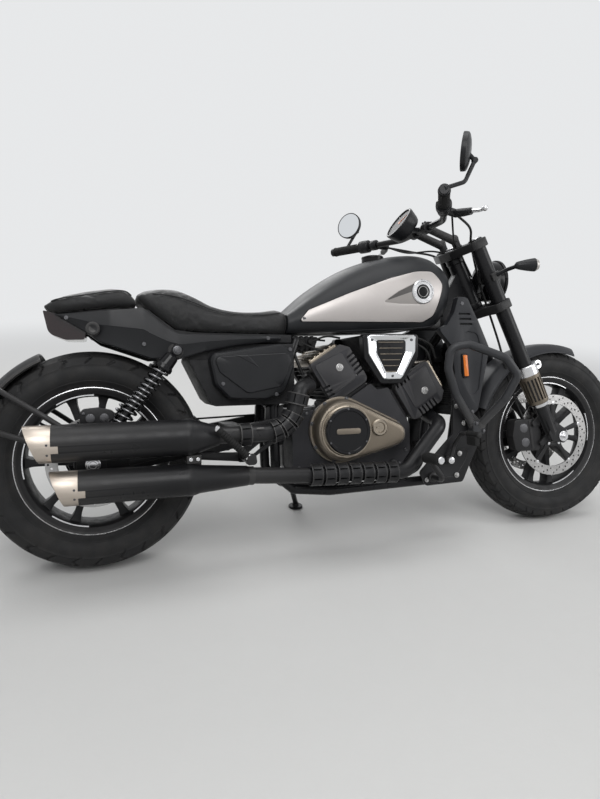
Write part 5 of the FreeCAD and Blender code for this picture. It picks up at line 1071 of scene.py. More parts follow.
def arc_through(a, b, c, parts):
    """Points on the circle through three, in a plane of constant X."""
    (ay, az), (by, bz), (cy, cz) = ((p.y, p.z) for p in (a, b, c))
    d = 2 * (ay * (bz - cz) + by * (cz - az) + cy * (az - bz))
    a2, b2, c2 = ay * ay + az * az, by * by + bz * bz, cy * cy + cz * cz
    uy = (a2 * (bz - cz) + b2 * (cz - az) + c2 * (az - bz)) / d
    uz = (a2 * (cy - by) + b2 * (ay - cy) + c2 * (by - ay)) / d
    radius = hypot(ay - uy, az - uz)
    first, middle, last = (atan2(z - uz, y - uy) for y, z in ((ay, az), (by, bz), (cy, cz)))
    turn = (last - first) % (2 * pi)
    if (middle - first) % (2 * pi) > turn:
        turn -= 2 * pi
    return [V(a.x, uy + radius * cos(first + turn * k / parts), uz + radius * sin(first + turn * k / parts))
            for k in range(parts + 1)]


def body_ring(row, grow=0.0, side_parts=12, top_parts=22):
    """Cross-section of the tank or a seat: flat underside, arched sides and an arched top between creases."""
    x, low, middle, crease, top, low_w, middle_w, crease_w = (float(value) for value in row)
    left = arc_through(V(x, low_w + grow, low - grow), V(x, middle_w + grow, middle),
                       V(x, crease_w + grow, crease), side_parts)
    crown = arc_through(V(x, crease_w + grow, crease), V(x, 0, top + grow), V(x, -crease_w - grow, crease), top_parts)
    right = [V(p.x, -p.y, p.z) for p in left[::-1]]
    return left + crown[1:] + right[1:]


PANEL = [(618, 727, 6), (1052, 726, 26), (1088, 748, 20), (1121, 854, 26), (1088, 896, 26), (1030, 896, 120),
         (923, 869, 200), (783, 819, 100), (648, 763, 14)]
BADGE = (1035.0, 824.0)


def shrunk(corners, by, centre):
    """The outline drawn nearer its centre by a distance."""
    ring = outline(corners)
    result = []
    for p in ring:
        away = V(p.x - centre[0], 0, p.z - centre[1])
        result.append(V(p.x, 0, p.z) - away.normalized() * by)
    return result


# The wedge is coloured with a painted shade, and the strip along its upper edge, outlined next, with a painted
# shadow.
WEDGE = [(894, 789, 3), (946, 824, 8), (1040, 868, 4), (1040, 784, 4), (952, 784, 20)]
WEDGE_SHADOW_STRIP = [(899, 791, 2), (948, 823, 8), (1040, 866, 4), (1040, 838, 4), (960, 812, 20)]


def fuel_tank():
    rows = eased(TANK_ROWS, 9)
    rings = [body_ring(row) for row in rows]
    nose = rings[-1]
    middle = sum(nose, V(0, 0, 0)) / len(nose)
    for share, ahead in ((0.82, 2.2), (0.5, 3.6), (0.15, 4.0)):
        rings.append([middle + (p - middle) * share + V(ahead, 0, 0) for p in nose])
    tunnel = block((500, 1250), (-22.3, 22.3), (600, 756.3))
    seam = [V(row[0], -row[5] - 1.6, row[1] + 3) for row in rows]
    lip = both(tube(seam, 3.0, 8))
    piece("fuel_tank", TANK, skin(rings), OWN, "tank_grey", cuts=[tunnel], sharp=16)
    piece("tank_seam", TANK, lip, slot="tank_grey", sharp=60)
    cap = solid([(940, 37), (956, 37), (957, 38), (961, 38), (963.5, 35.5), (963.5, 30), (961.5, 28.5)], (930, 0, 0),
                (0, 0, 1), 64)
    flap = deck(908, 952, 12, 6, 961, 964)
    screws = [rod((x, y, 962), (x, y, 964.3), 2.4, 12, 0.4) for x, y in spots(930, 0, 33, 6)]
    piece("tank_cap", GLOSS, join(cap, flap), slot="gloss_black", bevel=0.5)
    piece("tank_cap_screws", POLISHED, join(*screws), slot="polished_alloy")


TRIM_Y = (-200, -60)      # depths between which an outline cuts the tank's right side


def tank_trim():
    """Border, panel and wedge as skins that stand out from the tank by their own heights."""
    rows = eased(TANK_ROWS, 9)
    grown = {grow: skin([body_ring(row, grow) for row in rows]) for grow in (0.15, 0.4, 1.6, 2.1, 2.4, 3.0)}
    border, wedge, wall = (plate(corners, *TRIM_Y) for corners in (PANEL, WEDGE, WEDGE_SHADOW_STRIP))
    field = prism(shrunk(PANEL, 5, (870, 800)), *TRIM_Y)
    badge = solid([(-200, 40), (-60, 40)], *axle(*BADGE), 56)
    for suffix, turn in SIDES:
        hole = turn(badge)
        edge = carve("tank_border_" + suffix, GLOSS, grown[1.6], turn(border),
                     ["tank_panels"] if suffix == "right" else [], "gloss_black", cuts=[grown[0.15], hole])
        round_edges(edge, 0.5)
        face = carve("tank_panel_" + suffix, SILVER, grown[3.0], turn(field), slot="panel_silver",
                     cuts=[grown[0.4], turn(wedge), hole])
        # Darker silver painted on the wedge as the shade of its recess.
        carve("tank_wedge_" + suffix, SILVER_PAINTED_SHADE, grown[2.1], turn(wedge), slot="panel_silver",
              cuts=[grown[0.4], hole])
        # Near-black strip painted as the shadow under the wedge's upper edge.
        carve("tank_wedge_shadow_strip_" + suffix, SILVER_PAINTED_SHADOW, grown[2.4], turn(wall), slot="panel_silver",
              cuts=[grown[1.6], hole])
        round_edges(face, 1.0, 3)
    ring = lathe([(-144, 24), (-144, 39.5), (-162, 39.5), (-165, 37), (-165, 33.5), (-162.5, 32), (-162.5, 24),
                  (-144, 24)], *axle(*BADGE), 72)
    bowl = lathe([(-140, CORE_R), (-140, 33), (-160, 32.5), (-161.5, 26), (-162.5, 12), (-162.8, CORE_R)],
                 *axle(*BADGE), 64)
    piece("tank_badge_rings", POLISHED, both(ring), slot="polished_alloy", sharp=30)
    piece("tank_badge_bowls", GLOSS, both(bowl), slot="gloss_black", sharp=30)
    mark = torus((BADGE[0], -162.2, BADGE[1]), (0, 1, 0), 17, 1.1, 56, 8)
    piece("tank_badge_marks", STEEL, both(mark), slot="polished_alloy", sharp=60)
    bolt = both(join(pin(640, 738, -118, -124, 7, 24, 1), pin(640, 738, -123, -125.5, 3.4, 6)))
    piece("tank_panel_bolts", BOLT, bolt)


SEAT_ROWS = [(137, 790, 799, 808, 816, 80, 90, 76), (165, 762, 790, 814, 828, 92, 106, 84),
             (240, 703, 766, 814, 828, 106, 124, 92), (300, 695, 748, 792, 805, 112, 130, 96),
             (355, 693.7, 732, 765, 776, 112, 132, 98), (420, 692.1, 724, 752, 761, 108, 128, 94),
             (505, 690, 724, 752, 761, 96, 114, 78), (588, 688, 728, 764, 774, 76, 96, 56)]
PAD_ROWS = [(-122, 766, 770, 774, 778, 46, 56, 44), (-85, 753, 776, 794, 802, 66, 80, 62),
            (0, 759.4, 786, 808, 818, 84, 98, 78), (75, 765, 796, 820, 829, 92, 106, 84),
            (108, 766, 796, 816, 824, 92, 104, 82), (132, 770, 779, 788, 793, 84, 94, 76)]


def end_caps(rings, reach):
    """Rounds a loft's two ends with a few shrinking rings, so the padding has no flat end."""
    out = list(rings)
    for at, way in ((0, -1), (-1, 1)):
        end = rings[at]
        middle = sum(end, V(0, 0, 0)) / len(end)
        extra = []
        for share, ahead in ((0.97, 0.35), (0.90, 0.7), (0.76, 0.93), (0.5, 1.0), (0.2, 1.0)):
            extra.append([middle + (p - middle) * share + V(way * reach * ahead, 0, 0) for p in end])
        out = extra[::-1] + out if at == 0 else out + extra
    return out


def cushion(name, rows, start, reach, cap):
    """Padded seat: a closed form swollen by cloth pressure, held at its base, cap in millimetres."""
    points, faces = skin(end_caps([body_ring(row, -start, 14, 26) for row in eased(rows, 8)], reach))
    obj = placed(name, ([p * 0.001 for p in points], faces))
    apply(obj, "REMESH", mode="VOXEL", voxel_size=0.0052)
    swell(obj, rows, cap)
    apply(obj, "SUBSURF", levels=1, render_levels=1)
    finish_cushion(obj, name, rows)


def base_height(rows, x):
    return np.interp(x, [row[0] for row in rows], [row[1] for row in rows])


def swell(obj, rows, cap):
    """Cloth pressure rounds the padding while its underside stays where it rests."""
    before = np.array([v.co[:] for v in obj.data.vertices])
    group = obj.vertex_groups.new(name="held")
    held = [i for i, p in enumerate(before) if p[2] * 1000 < base_height(rows, p[0] * 1000) + 9]
    group.add(held, 1.0, "REPLACE")
    cloth = obj.modifiers.new("cloth", "CLOTH")
    settings = cloth.settings
    settings.quality = 5
    settings.use_pressure = True
    settings.uniform_pressure_force = 4.0
    settings.effector_weights.gravity = 0.0
    settings.vertex_group_mass = "held"
    cloth.collision_settings.use_collision = False
    cloth.point_cache.frame_start, cloth.point_cache.frame_end = 1, 16
    for step in range(1, 17):
        bpy.context.scene.frame_set(step)
    bake(obj)
    bpy.context.scene.frame_set(1)
    after = np.array([v.co[:] for v in obj.data.vertices])
    move = after - before
    far = np.linalg.norm(move, axis=1)
    limit = cap / 1000
    share = np.where(far > limit, limit / np.maximum(far, 1e-9), 1.0)
    obj.data.vertices.foreach_set("co", (before + move * share[:, None]).ravel())
    obj.data.update()


def finish_cushion(obj, name, rows):
    """Keeps the padding within its base, then lays it in the row frame."""
    points = np.array([v.co[:] for v in obj.data.vertices]) * 1000
    points[:, 2] = np.maximum(points[:, 2], base_height(rows, points[:, 0]) + 0.4)
    obj.data.vertices.foreach_set("co", points.ravel())
    obj.data.update()
    dress(obj, [LEATHER], "chassis", [name])


def seam_line(rows, at, grow, first, last, parts=10):
    """Points along both sides of a cushion at a share of the way from its low edge to its crease."""
    line = []
    for row in eased(rows, parts):
        if not first <= row[0] <= last:
            continue
        ring = body_ring(row, grow, 20, 4)
        line.append(ring[round(20 * at)])
    return line


def seat_details():
    welt = []
    for rows, first, last in ((SEAT_ROWS, 175, 575), (PAD_ROWS, -100, 120)):
        line = seam_line(rows, 0.86, -0.6, first, last)
        welt.append(both(tube(line, 1.9, 8)))
    piece("seat_piping", LEATHER, join(*welt), slot="seat_cover", sharp=70)
    thread = []
    for rows, first, last in ((SEAT_ROWS, 178, 572), (PAD_ROWS, -98, 118)):
        path = through(seam_line(rows, 0.80, -0.2, first, last, 12), 3)
        run = 0.0
        for a, b in zip(path, path[1:]):
            length = (b - a).length
            if length < 0.5:
                continue
            if run % 8 < 5:
                thread.append(both(tube([a, b], 0.55, 6)))
            run += length
    piece("seat_stitches", STITCH, join(*thread), slot="seat_cover", sharp=70)


def tail_y(x):
    """Half width of the tail panels' outer face."""
    return float(np.interp(x, [-128, -100, 60, 250, 562], [52, 74, 114, 130, 122]))


def tail_inside(x):
    return float(np.interp(x, [-110, 60, 250, 562], [46, 92, 107, 102]))


def tail_panels():
    """Side panels as skins between an upper and a lower edge, with the long crease along them."""
    top = [(-92, 749), (19, 756), (150, 766), (216, 709), (250, 690), (400, 687), (562, 683)]
    low = [(-92, 749), (-11, 697), (27, 667), (172, 616), (262, 618), (329, 638), (422, 655), (560, 668)]
    rings = []
    for x in np.linspace(-91, 561, 120):
        high = float(np.interp(x, [p[0] for p in top], [p[1] for p in top]))
        deep = float(np.interp(x, [p[0] for p in low], [p[1] for p in low]))
        out, inn = tail_y(x), tail_inside(x)
        crease = deep + (high - deep) * 0.56
        rows = [(-inn, high - 0.5), (-out + 7, high - 0.3), (-out + 3.4, high - 1.2), (-out + 2.6, high - 4),
                (-out + 0.4, crease + 2), (-out + 0.2, crease), (-out + 1.4, crease - 3), (-out + 4.2, deep + 4),
                (-out + 6, deep + 1), (-out + 10, deep + 0.2), (-inn, deep + 0.5)]
        rings.append([V(x, y, z) for y, z in rows])
    piece("tail_panels", PLASTIC_SMOOTH, both(skin(rings)), OWN, sharp=24)
    boss = lathe([(-90, CORE_R), (-90, 19), (-124, 19.5), (-128, 17), (-129, 12), (-128, 9), (-127, CORE_R)],
                 *axle(11, 704), 40)
    piece("tail_bosses", CAST_BLACK, both(boss), slot="gloss_black", sharp=30)
    x, z = SHOCK_HIGH
    mount = join(pin(x, z, -112, -127, 23, 40, 1.5), pin(x, z, -112, -137.7, 7, 20))
    piece("shock_mounts", CAST_BLACK, both(mount), sharp=30)
    bolts = [join(pin(x, z, -tail_y(x) - 1.6, -tail_y(x) + 4, 6, 20, 0.8),
                  nut(x, z, -tail_y(x) - 2.2, -tail_y(x), 3.2)) for x, z in ((150, 660), (520, 676), (-60, 738))]
    piece("tail_bolts", BOLT, both(join(*bolts)))


def plan(rows):
    """Block of a plan that is the same on both sides: (x, half width) rows."""
    return slab([(x, -y, 0) for x, y in rows] + [(x, y, 0) for x, y in reversed(rows)], 600, 800)


def seat_pan():
    front = CROSS[0] - 12.3
    profile = [(-85, 752.7, 0), (75, 764.7, 0), (165, 761.7, 4), (240, 702.7, 4), (300, 694.7, 0), (588, 687.7, 0),
               (front, 686.7, 0), (front, 664, 2), (240, 664, 20), (60, 699, 10), (-8, 699, 0)]
    keep = plan([(front, 50), (600, 50), (600, 101.7), (250, 106.7), (60, 91.7), (-110, 45.7)])
    round_edges(carve("seat_pan", PLASTIC, plate(profile, -110, 110), keep, OWN, "black_plastic", sharp=30), 1.0)
    ribs = [block((x - 2, x + 2), (-60, 60), (660.5, 665)) for x in range(280, 590, 34)]
    piece("seat_pan_ribs", PLASTIC, join(*ribs), slot="black_plastic", bevel=0.5)


def tail_lamp():
    profile = [(-126, 764, 3), (-85.5, 752.2, 0), (-9, 698.2, 3), (-12, 677, 10), (-66, 677, 30), (-112, 696, 30)]
    keep = plan([(-130, 36), (-110, 45.7), (60, 91.7)])
    round_edges(carve("tail_lamp", SMOKED, plate(profile, -80, 80), keep, OWN, "smoked_lens", sharp=30), 2.0, 3)


COVER = [(330, 631, 26), (556, 659, 26), (596, 634, 24), (598, 588, 24), (567, 509, 30), (506, 488, 30),
         (390, 492, 30), (348, 537, 30)]
COVER_PANEL = [(346, 620, 14), (574, 630, 14), (587, 606, 16), (556, 528, 24), (446, 508, 28), (362, 574, 24)]
BOX_Y = 108.0


def inset(share):
    cx, cz = 470.0, 575.0
    return [(cx + (x - cx) * share, cz + (z - cz) * share, r * share) for x, z, r in COVER]


def side_covers():
    rings = []
    for share, depth in ((1, 0), (1, 22), (0.993, 29), (0.975, 35), (0.93, 39.5), (0.84, 40.8), (0.5, 41.5),
                         (0.12, 41.8)):
        rings.append([V(p.x, -BOX_Y - depth, p.z) for p in outline(inset(share), 8)])
    shell = skin(rings)
    rings = []
    for share, depth in ((1, 36), (1, 41), (0.985, 44.4), (0.955, 45.7), (0.6, 46), (0.1, 46)):
        rings.append([V(470 + (p.x - 470) * share, -BOX_Y - depth, 574 + (p.z - 574) * share)
                      for p in outline(COVER_PANEL, 8)])
    panel = skin(rings)
    crease = skin([[V(x, -BOX_Y - 45, z) for x, z in ((408, 624), (452, 624), (492, 580))],
                   [V(x, -BOX_Y - 47.2, z) for x, z in ((424, 620.5), (446, 620.5), (474, 592))]])
    piece("side_covers", PLASTIC_SMOOTH, both(shell), OWN, sharp=26)
    piece("side_cover_panels", PLASTIC_SMOOTH, both(panel), sharp=26)
    piece("side_cover_creases", PLASTIC_SMOOTH, both(crease), sharp=10)
    bolts = [join(pin(x, z, -BOX_Y - 43, -BOX_Y - 36, 6, 20, 0.8),
                  pin(x, z, -BOX_Y - 43.6, -BOX_Y - 42, 3, 6)) for x, z in ((372, 540), (582, 640), (536, 504))]
    piece("side_cover_bolts", BOLT, both(join(*bolts)))


def battery_box():
    half = BOX_Y - 0.3
    foot = 460 + 12 * sqrt(cos(pi / 8)) + 0.3
    notch = block((524, 700), (-SIDE_Y - 18, 18 - SIDE_Y), (440, 700))
    top = block((270, 610), (-BOX_Y - 1, -101), (612, 700))
    body = plate([(286, 660, 4), (279, 613, 4), (338, 488, 6), (356, foot, 4), (586, foot, 0), (606, 520, 4),
                  (606, 660, 4)], -half, half)
    piece("battery_box", PLASTIC, body, OWN, "black_plastic", bevel=1.5, cuts=pair(notch) + pair(top))
    ribs = [block((x, x + 5), (-half - 0.4, half + 0.4), (foot + 4, 600)) for x in (372, 398, 424)]
    piece("battery_box_ribs", PLASTIC, join(*ribs), slot="black_plastic", bevel=0.8)


chassis_frame()
fuel_tank()
tank_trim()
cushion("rider_seat", SEAT_ROWS, 3.0, 2.0, 8)
cushion("pillion_pad", PAD_ROWS, 2.6, 2.0, 7)
seat_details()
tail_panels()
seat_pan()
tail_lamp()
side_covers()
battery_box()


# Radiator, cowls, crash bars, foot controls and exhausts

MUFFLER_Y, UPPER_Z, LOWER_Z = -222.0, 394.0, 274.0
PIPE_R = 24.0
BEND_R, BEND_TURN = 100.0, 75.0
BEND_TOP, BEND_CORNER, REAR_PIPE_Y, REAR_CONE_X = (592.0, 520.0), (557.7, 392.0), -207.0, 338.0
RUN_X, RUN_Z, RUN_Y = (610.0, 915.0), (258.0, 248.0), -200.0
SHIELD_R, SHIELD_PITCH = 34.0, 42.0


def muffler(name, z, front_x, cone_x, rear_x, tip_x, front_r, rear_r):
    """Can with a cone, a band and seams; then a hollow slash-cut tip with its stepped joint."""
    profile = [(-cone_x, CORE_R), (-cone_x, 27), (-cone_x + 3, 28.6), (-front_x - 16, front_r - 5),
               (-front_x - 3, front_r - 1), (-front_x + 4, front_r), (-front_x + 6, front_r + 0.9),
               (-front_x + 20, front_r + 1.0), (-front_x + 22, front_r + 0.2), (-rear_x, rear_r - 0.2),
               (-rear_x + 1, rear_r - 3), (-rear_x + 1, CORE_R)]
    can = lathe(profile, (0, MUFFLER_Y, z), (-1, 0, 0), 96)
    notch = block((rear_x - 6, rear_x + 20), (MUFFLER_Y - 90, MUFFLER_Y - 16), (z - 22, z - 2))
    piece(name, HOT_BLACK, can, OWN, "exhaust_black", cuts=[notch], sharp=30)
    outer, wall = rear_r - 0.6, 2.6
    tube_profile = [(-rear_x - 18, outer - wall), (-rear_x - 18, outer), (-tip_x, outer), (-tip_x, outer - wall),
                    (-rear_x - 18, outer - wall)]
    sleeve = lathe(tube_profile, (0, MUFFLER_Y, z), (-1, 0, 0), 96)
    slash = block((-220, 0), (-120, 120), (-260, 260))
    slash = moved(slash, shift(tip_x + 4, MUFFLER_Y, z + rear_r) @ swung(-21))
    under = block((rear_x + 1.5, rear_x + 60), (MUFFLER_Y - 90, MUFFLER_Y + 90), (z - 90, z - 21.5))
    above = block((rear_x + 1.5, rear_x + 60), (MUFFLER_Y - 90, MUFFLER_Y + 90), (z - 2.5, z + 90))
    behind = block((rear_x + 1.5, rear_x + 60), (MUFFLER_Y - 10, MUFFLER_Y + 90), (z - 21.6, z - 2.4))
    tip = piece(name + "_tip", TITAN, sleeve, slot="polished_alloy", cuts=[slash, under, above, behind], sharp=30)
    round_edges(tip, 0.7)
    lining = lathe([(-rear_x - 22, outer - wall - 0.1), (-rear_x - 22, outer - 12), (-rear_x + 34, outer - 14),
                    (-rear_x + 38, outer - wall - 0.1), (-rear_x - 22, outer - wall - 0.1)], (0, MUFFLER_Y, z),
                   (-1, 0, 0), 64)
    baffle = solid([(-rear_x - 20, outer - 11), (-rear_x - 17, outer - 11)], (0, MUFFLER_Y, z), (-1, 0, 0), 64)
    piece(name + "_core", HOT_BLACK, join(lining, baffle), slot="exhaust_black", sharp=30)
    rivets = []
    for angle in (150, 182):
        a = radians(angle)
        at = V(rear_x - 9, MUFFLER_Y + rear_r * cos(a), z - rear_r * sin(a))
        way = V(0, cos(a), -sin(a))
        rivets.append(rod(at - way * 2, at + way * 0.9, 3.2, 16, 0.6))
    piece(name + "_rivets", BOLT, join(*rivets), sharp=30)


def exhausts():
    x0, z0 = bore_point(REAR_TILT, 225, -67.2)
    x1, z1 = bore_point(REAR_TILT, 225, -103)
    rear = bar([(x0, -55, z0), (x1, -55, z1), (x1 - 20, -160, z1), (BEND_TOP[0], REAR_PIPE_Y, BEND_TOP[1]),
                (BEND_CORNER[0], REAR_PIPE_Y, BEND_CORNER[1]), (REAR_CONE_X + 2, MUFFLER_Y, UPPER_Z)], PIPE_R,
               [0, 18, 30, 28, BEND_R, 0], 28, 6)
    x2, z2 = bore_point(FRONT_TILT, 215, 67.2)
    x3, z3 = bore_point(FRONT_TILT, 215, 103)
    front = bar([(x2, -52, z2), (x3, -52, z3), (1092, -165, 390), (944, RUN_Y, RUN_Z[1]), (RUN_X[0], RUN_Y, RUN_Z[0]),
                 (422, MUFFLER_Y, LOWER_Z)], PIPE_R, [0, 30, 44, 60, 30, 0], 28, 6)
    flanges = [rod((x0, -55, z0), (x0 + (x1 - x0) * 0.3, -55, z0 + (z1 - z0) * 0.3), 33, 32, 2),
               rod((x2, -52, z2), (x2 + (x3 - x2) * 0.3, -52, z2 + (z3 - z2) * 0.3), 33, 32, 2)]
    clamps = [lathe([(-9, 24.2), (-9, 27), (9, 27), (9, 24.2), (-9, 24.2)], (430, -220.6, 273), (1, 0.11, -0.08), 48)]
    piece("exhaust_pipes", HOT_BLACK, join(rear, front, *flanges, *clamps), slot="exhaust_black", sharp=40)
    muffler("rear_exhaust", UPPER_Z, 268, REAR_CONE_X + 4, -98, -172, 50.5, 50.5)
    muffler("front_exhaust", LOWER_Z, 268, 424, -36, -112, 45, 47.5)


def shell_section(radius, thick, half, parts):
    points = []
    for r, order in ((radius, 1), (radius - thick, -1)):
        arc = []
        for k in range(parts + 1):
            angle = radians(180 - half + 2 * half * k / parts)
            arc.append((r * cos(angle), -r * sin(angle)))
        points += arc[::order]
    return points


# (along, radius) of a shield's shell, with a raised rim at both ends
SHIELD_ROWS = [(-17, SHIELD_R), (-14, SHIELD_R), (-13.2, SHIELD_R - 0.7), (13.2, SHIELD_R - 0.7), (14, SHIELD_R),
               (17, SHIELD_R)]


def straight_shield(x, z, slope):
    rings = [[V(far, y, z) for y, z in shell_section(r, 2.3, 112, 26)] for far, r in SHIELD_ROWS]
    return moved(skin(rings), shift(x, 0, z) @ Matrix.Rotation(-atan(slope), 4, "Y"))


def slots_of(shield_x, z, slope):
    cuts = []
    for angle in (164, 216):
        a = radians(angle)
        way = V(0, cos(a), -sin(a))
        up = V(0, sin(a), cos(a))
        start = V(shield_x - 11, 0, z) + way * (SHIELD_R - 6)
        ring = [V(x, 0, 0) + up * y for x, y in ((0, -2.2), (22, -2.2), (23.5, 0), (22, 2.2), (0, 2.2), (-1.5, 0))]
        form = skin([[start + p for p in ring], [start + p + way * 12 for p in ring]])
        about = shift(shield_x, 0, z) @ Matrix.Rotation(-atan(slope), 4, "Y") \
            @ shift(-shield_x, 0, -z)
        cuts.append(moved(form, about))
    return cuts


def bent_shield(angle):
    """Shield swept round the bend, whose centre lies BEND_R above the pipe."""
    rings = []
    for far, r in SHIELD_ROWS[:3] + [(0.0, SHIELD_R - 0.7)] + SHIELD_ROWS[3:]:
        turn = radians(angle) + far / (BEND_R + SHIELD_R)
        rings.append([V((BEND_R - z) * sin(turn), y, BEND_R - (BEND_R - z) * cos(turn))
                      for y, z in shell_section(r, 2.3, 112, 26)])
    return skin(rings)


def pipe_shields():
    slope = (RUN_Z[1] - RUN_Z[0]) / (RUN_X[1] - RUN_X[0])
    lower, cuts, clips = [], [], []
    for index in range(7):
        x = RUN_X[0] + 26 + index * SHIELD_PITCH
        z = RUN_Z[0] + slope * (x - RUN_X[0])
        lower.append(shifted(straight_shield(x, z, slope), 0, RUN_Y, 0))
        cuts += [shifted(form, 0, RUN_Y, 0) for form in slots_of(x, z, slope)]
        clips.append(block((x - 3, x + 3), (RUN_Y - SHIELD_R + 1.9, RUN_Y - PIPE_R - 0.4), (z - 3.5, z + 3.5)))
    bend_x = BEND_CORNER[0] - BEND_R * tan(radians(BEND_TURN) / 2)
    yaw = atan((REAR_PIPE_Y - MUFFLER_Y) / (BEND_CORNER[0] - REAR_CONE_X))
    corner = V(BEND_CORNER[0], REAR_PIPE_Y, BEND_CORNER[1])
    about = V(BEND_TOP[0] - BEND_CORNER[0], 0, BEND_TOP[1] - BEND_CORNER[1])
    swing = Matrix.Translation(corner) @ Matrix.Rotation(yaw, 4, about) @ Matrix.Translation(-corner) \
        @ shift(0, REAR_PIPE_Y, BEND_CORNER[1])
    rear, rear_cuts = [], []
    for x in (bend_x - 64, bend_x - 22):
        rear.append(moved(straight_shield(x, 0, 0), swing))
        rear_cuts += [moved(form, swing) for form in slots_of(x, 0, 0)]

    def bent(angle):
        return swing @ shift(bend_x, 0, BEND_R) @ swung(-angle) @ shift(0, 0, -BEND_R)

    for chord in range(4):
        angle = BEND_TURN * chord / 4
        rear.append(moved(bent_shield(angle), swing @ shift(bend_x, 0, 0)))
        rear_cuts += [moved(form, bent(angle)) for form in slots_of(0, 0, 0)]
    rear.append(moved(straight_shield(24, 0, 0), bent(BEND_TURN)))
    rear_cuts += [moved(form, bent(BEND_TURN)) for form in slots_of(24, 0, 0)]
    piece("pipe_shields", SHIELD, join(*lower), OWN, "exhaust_black", cuts=[join(*cuts)], bevel=0.4, sharp=30)
    piece("pipe_shields_rear", SHIELD, join(*rear), slot="exhaust_black", cuts=[join(*rear_cuts)], sharp=30)
    piece("shield_clips", BOLT, join(*clips), sharp=30)


def radiator():
    tanks = [plate([(1258, 646, 6), (1298, 638, 6), (1304, 668, 10), (1264, 676, 10)], -100, 100),
             plate([(1214, 408, 10), (1250, 402, 10), (1256, 438, 6), (1222, 442, 6)], -100, 100)]
    lugs = []
    for y in (-DOWN_Y, DOWN_Y):
        lugs.append(block((1209.3, 1232), (y - 10, y + 10), (456, 476)))
        lugs.append(block((1219.8, 1270), (y - 10, y + 10), (600, 620)))
    ends = [plate([(1221, 440, 0), (1257, 435.5, 0), (1297, 640, 0), (1261, 648.5, 0)], y, y + 4)
            for y in (-112, 108)]
    piece("radiator", PLASTIC, join(*tanks, *lugs, *ends), OWN, "black_plastic", bevel=1.5)
    fins = []
    for k in range(26):
        share = (k + 0.5) / 26
        x, z = 1240 + 41 * share, 441 + 200 * share
        rows = block((-17.5, 17.5), (-108, 108), (-1.0, 1.0))
        fins.append(moved(rows, shift(x, 0, z) @ swung(12)))
    inner = plate([(1227, 442, 1), (1250, 439, 1), (1290, 640, 1), (1267, 646, 1)], -108, 108)
    piece("radiator_core", CORE, join(inner, *fins), slot="black_plastic")
    guard = []
    for k in range(22):
        y = -105 + k * 10
        guard.append(tube([V(1259, y, 440), V(1298.4, y, 638)], 1.0, 6))
    piece("radiator_guard", PAINT, join(*guard), sharp=60)


COWL = [(1104, 704, 6), (1132, 718, 10), (1160, 760, 20), (1176, 812, 4), (1210, 812, 20), (1252, 730, 30),
        (1284, 654, 30), (1292, 622, 20), (1248, 430, 20), (1214, 402, 8), (1162, 424, 8), (1160, 560, 60),
        (1148, 650, 20), (1112, 690, 10)]


def radiator_shroud():
    body = plate(COWL, -146, -118)
    rows = eased(TANK_ROWS, 9)
    hollow = skin([body_ring(row, 4.0) for row in rows])
    vents = [plate([(1176 + k * 2, 752 - k * 17, 1), (1222 + k * 4, 752 - k * 17, 1), (1220 + k * 4, 758 - k * 17, 1),
                    (1178 + k * 2, 758 - k * 17, 1)], -148, -139) for k in range(3)]
    dish = plate([(1182, 560, 10), (1222, 470, 14), (1252, 500, 14), (1270, 620, 14), (1248, 690, 20),
                  (1200, 700, 16)], -150, -142.8)
    piece("radiator_shroud", SHROUD, both(body), OWN, "shroud_grey", bevel=4.0, steps=4,
          cuts=[hollow] + [tool for form in vents + [dish] for tool in (form, mirrored(form))], sharp=30)
    arm = pin(1250, 560, -120, -112, 12, 32)
    inner = [plate([(1176 + k * 2, 753 - k * 17, 1), (1222 + k * 4, 753 - k * 17, 1), (1220 + k * 4, 757 - k * 17, 1),
                    (1178 + k * 2, 757 - k * 17, 1)], -140.5, -139.5) for k in range(3)]
    piece("shroud_inner", PLASTIC, both(join(arm, *inner)), slot="black_plastic")
    holder = plate([(1184, 622, 6), (1208, 622, 6), (1214, 540, 6), (1190, 540, 6)], -150.5, -142)
    glow = plate([(1188, 617, 4), (1204, 617, 4), (1210, 545, 4), (1194, 545, 4)], -152.5, -149)
    piece("reflector_seats", PLASTIC, both(holder), slot="black_plastic", bevel=0.8)
    piece("reflectors", AMBER, both(glow), slot="smoked_lens", bevel=0.9, steps=3)
    bolts = [join(pin(x, z, -148, -140, 6.5, 20, 0.8), nut(x, z, -149, -146, 3.4))
             for x, z in ((1226, 424), (1190, 790), (1276, 640))]
    piece("shroud_bolts", BOLT, both(join(*bolts)))


BAR_RUN = ((1092.0, -214.0, 570.0), (1214.0, -175.0, 372.0))


def crash_bars():
    route = [BAR_RUN[1], (1128, -200, 486), BAR_RUN[0], (1094, -226, 640), (1150, -244, 648),
             (1262, -280, 602), (1302, -288, 545), (1272, -262, 470), (1226, -182, 376)]
    loop = bar(route, 13.5, [0, 40, 40, 34, 40, 40, 30, 60, 0], 24, 6)
    clamp = plate([(1196, 352, 8), (1240, 352, 8), (1246, 396, 8), (1196, 396, 8)], -196, -160)
    sleeve = [tube([V(1214, -175, 372) * (1 - t) + V(1128, -200, 486) * t for t in (0.02, 0.16)], 15.5, 24),
              tube([V(1226, -182, 376) * (1 - t) + V(1272, -262, 470) * t for t in (0.02, 0.14)], 15.5, 24)]
    piece("crash_bars", LOOP_GREY, both(join(loop, *sleeve)), OWN, "bar_grey", sharp=50)
    piece("crash_bar_clamps", LOOP_GREY, both(clamp), slot="bar_grey", bevel=3.0, steps=3)
    bolts = [nut(x, z, -200, -194, 6) for x, z in ((1208, 388), (1234, 362))]
    piece("crash_bar_bolts", BOLT, both(join(*bolts)), bevel=0.5)


PLATE_CORNERS = [(1142, 468, 8), (1160, 474, 8), (1243, 400, 20), (1243, 325, 20), (1176, 190, 14),
                 (1036, 186, 14), (1014, 232, 14), (1102, 316, 20), (1140, 352, 20)]


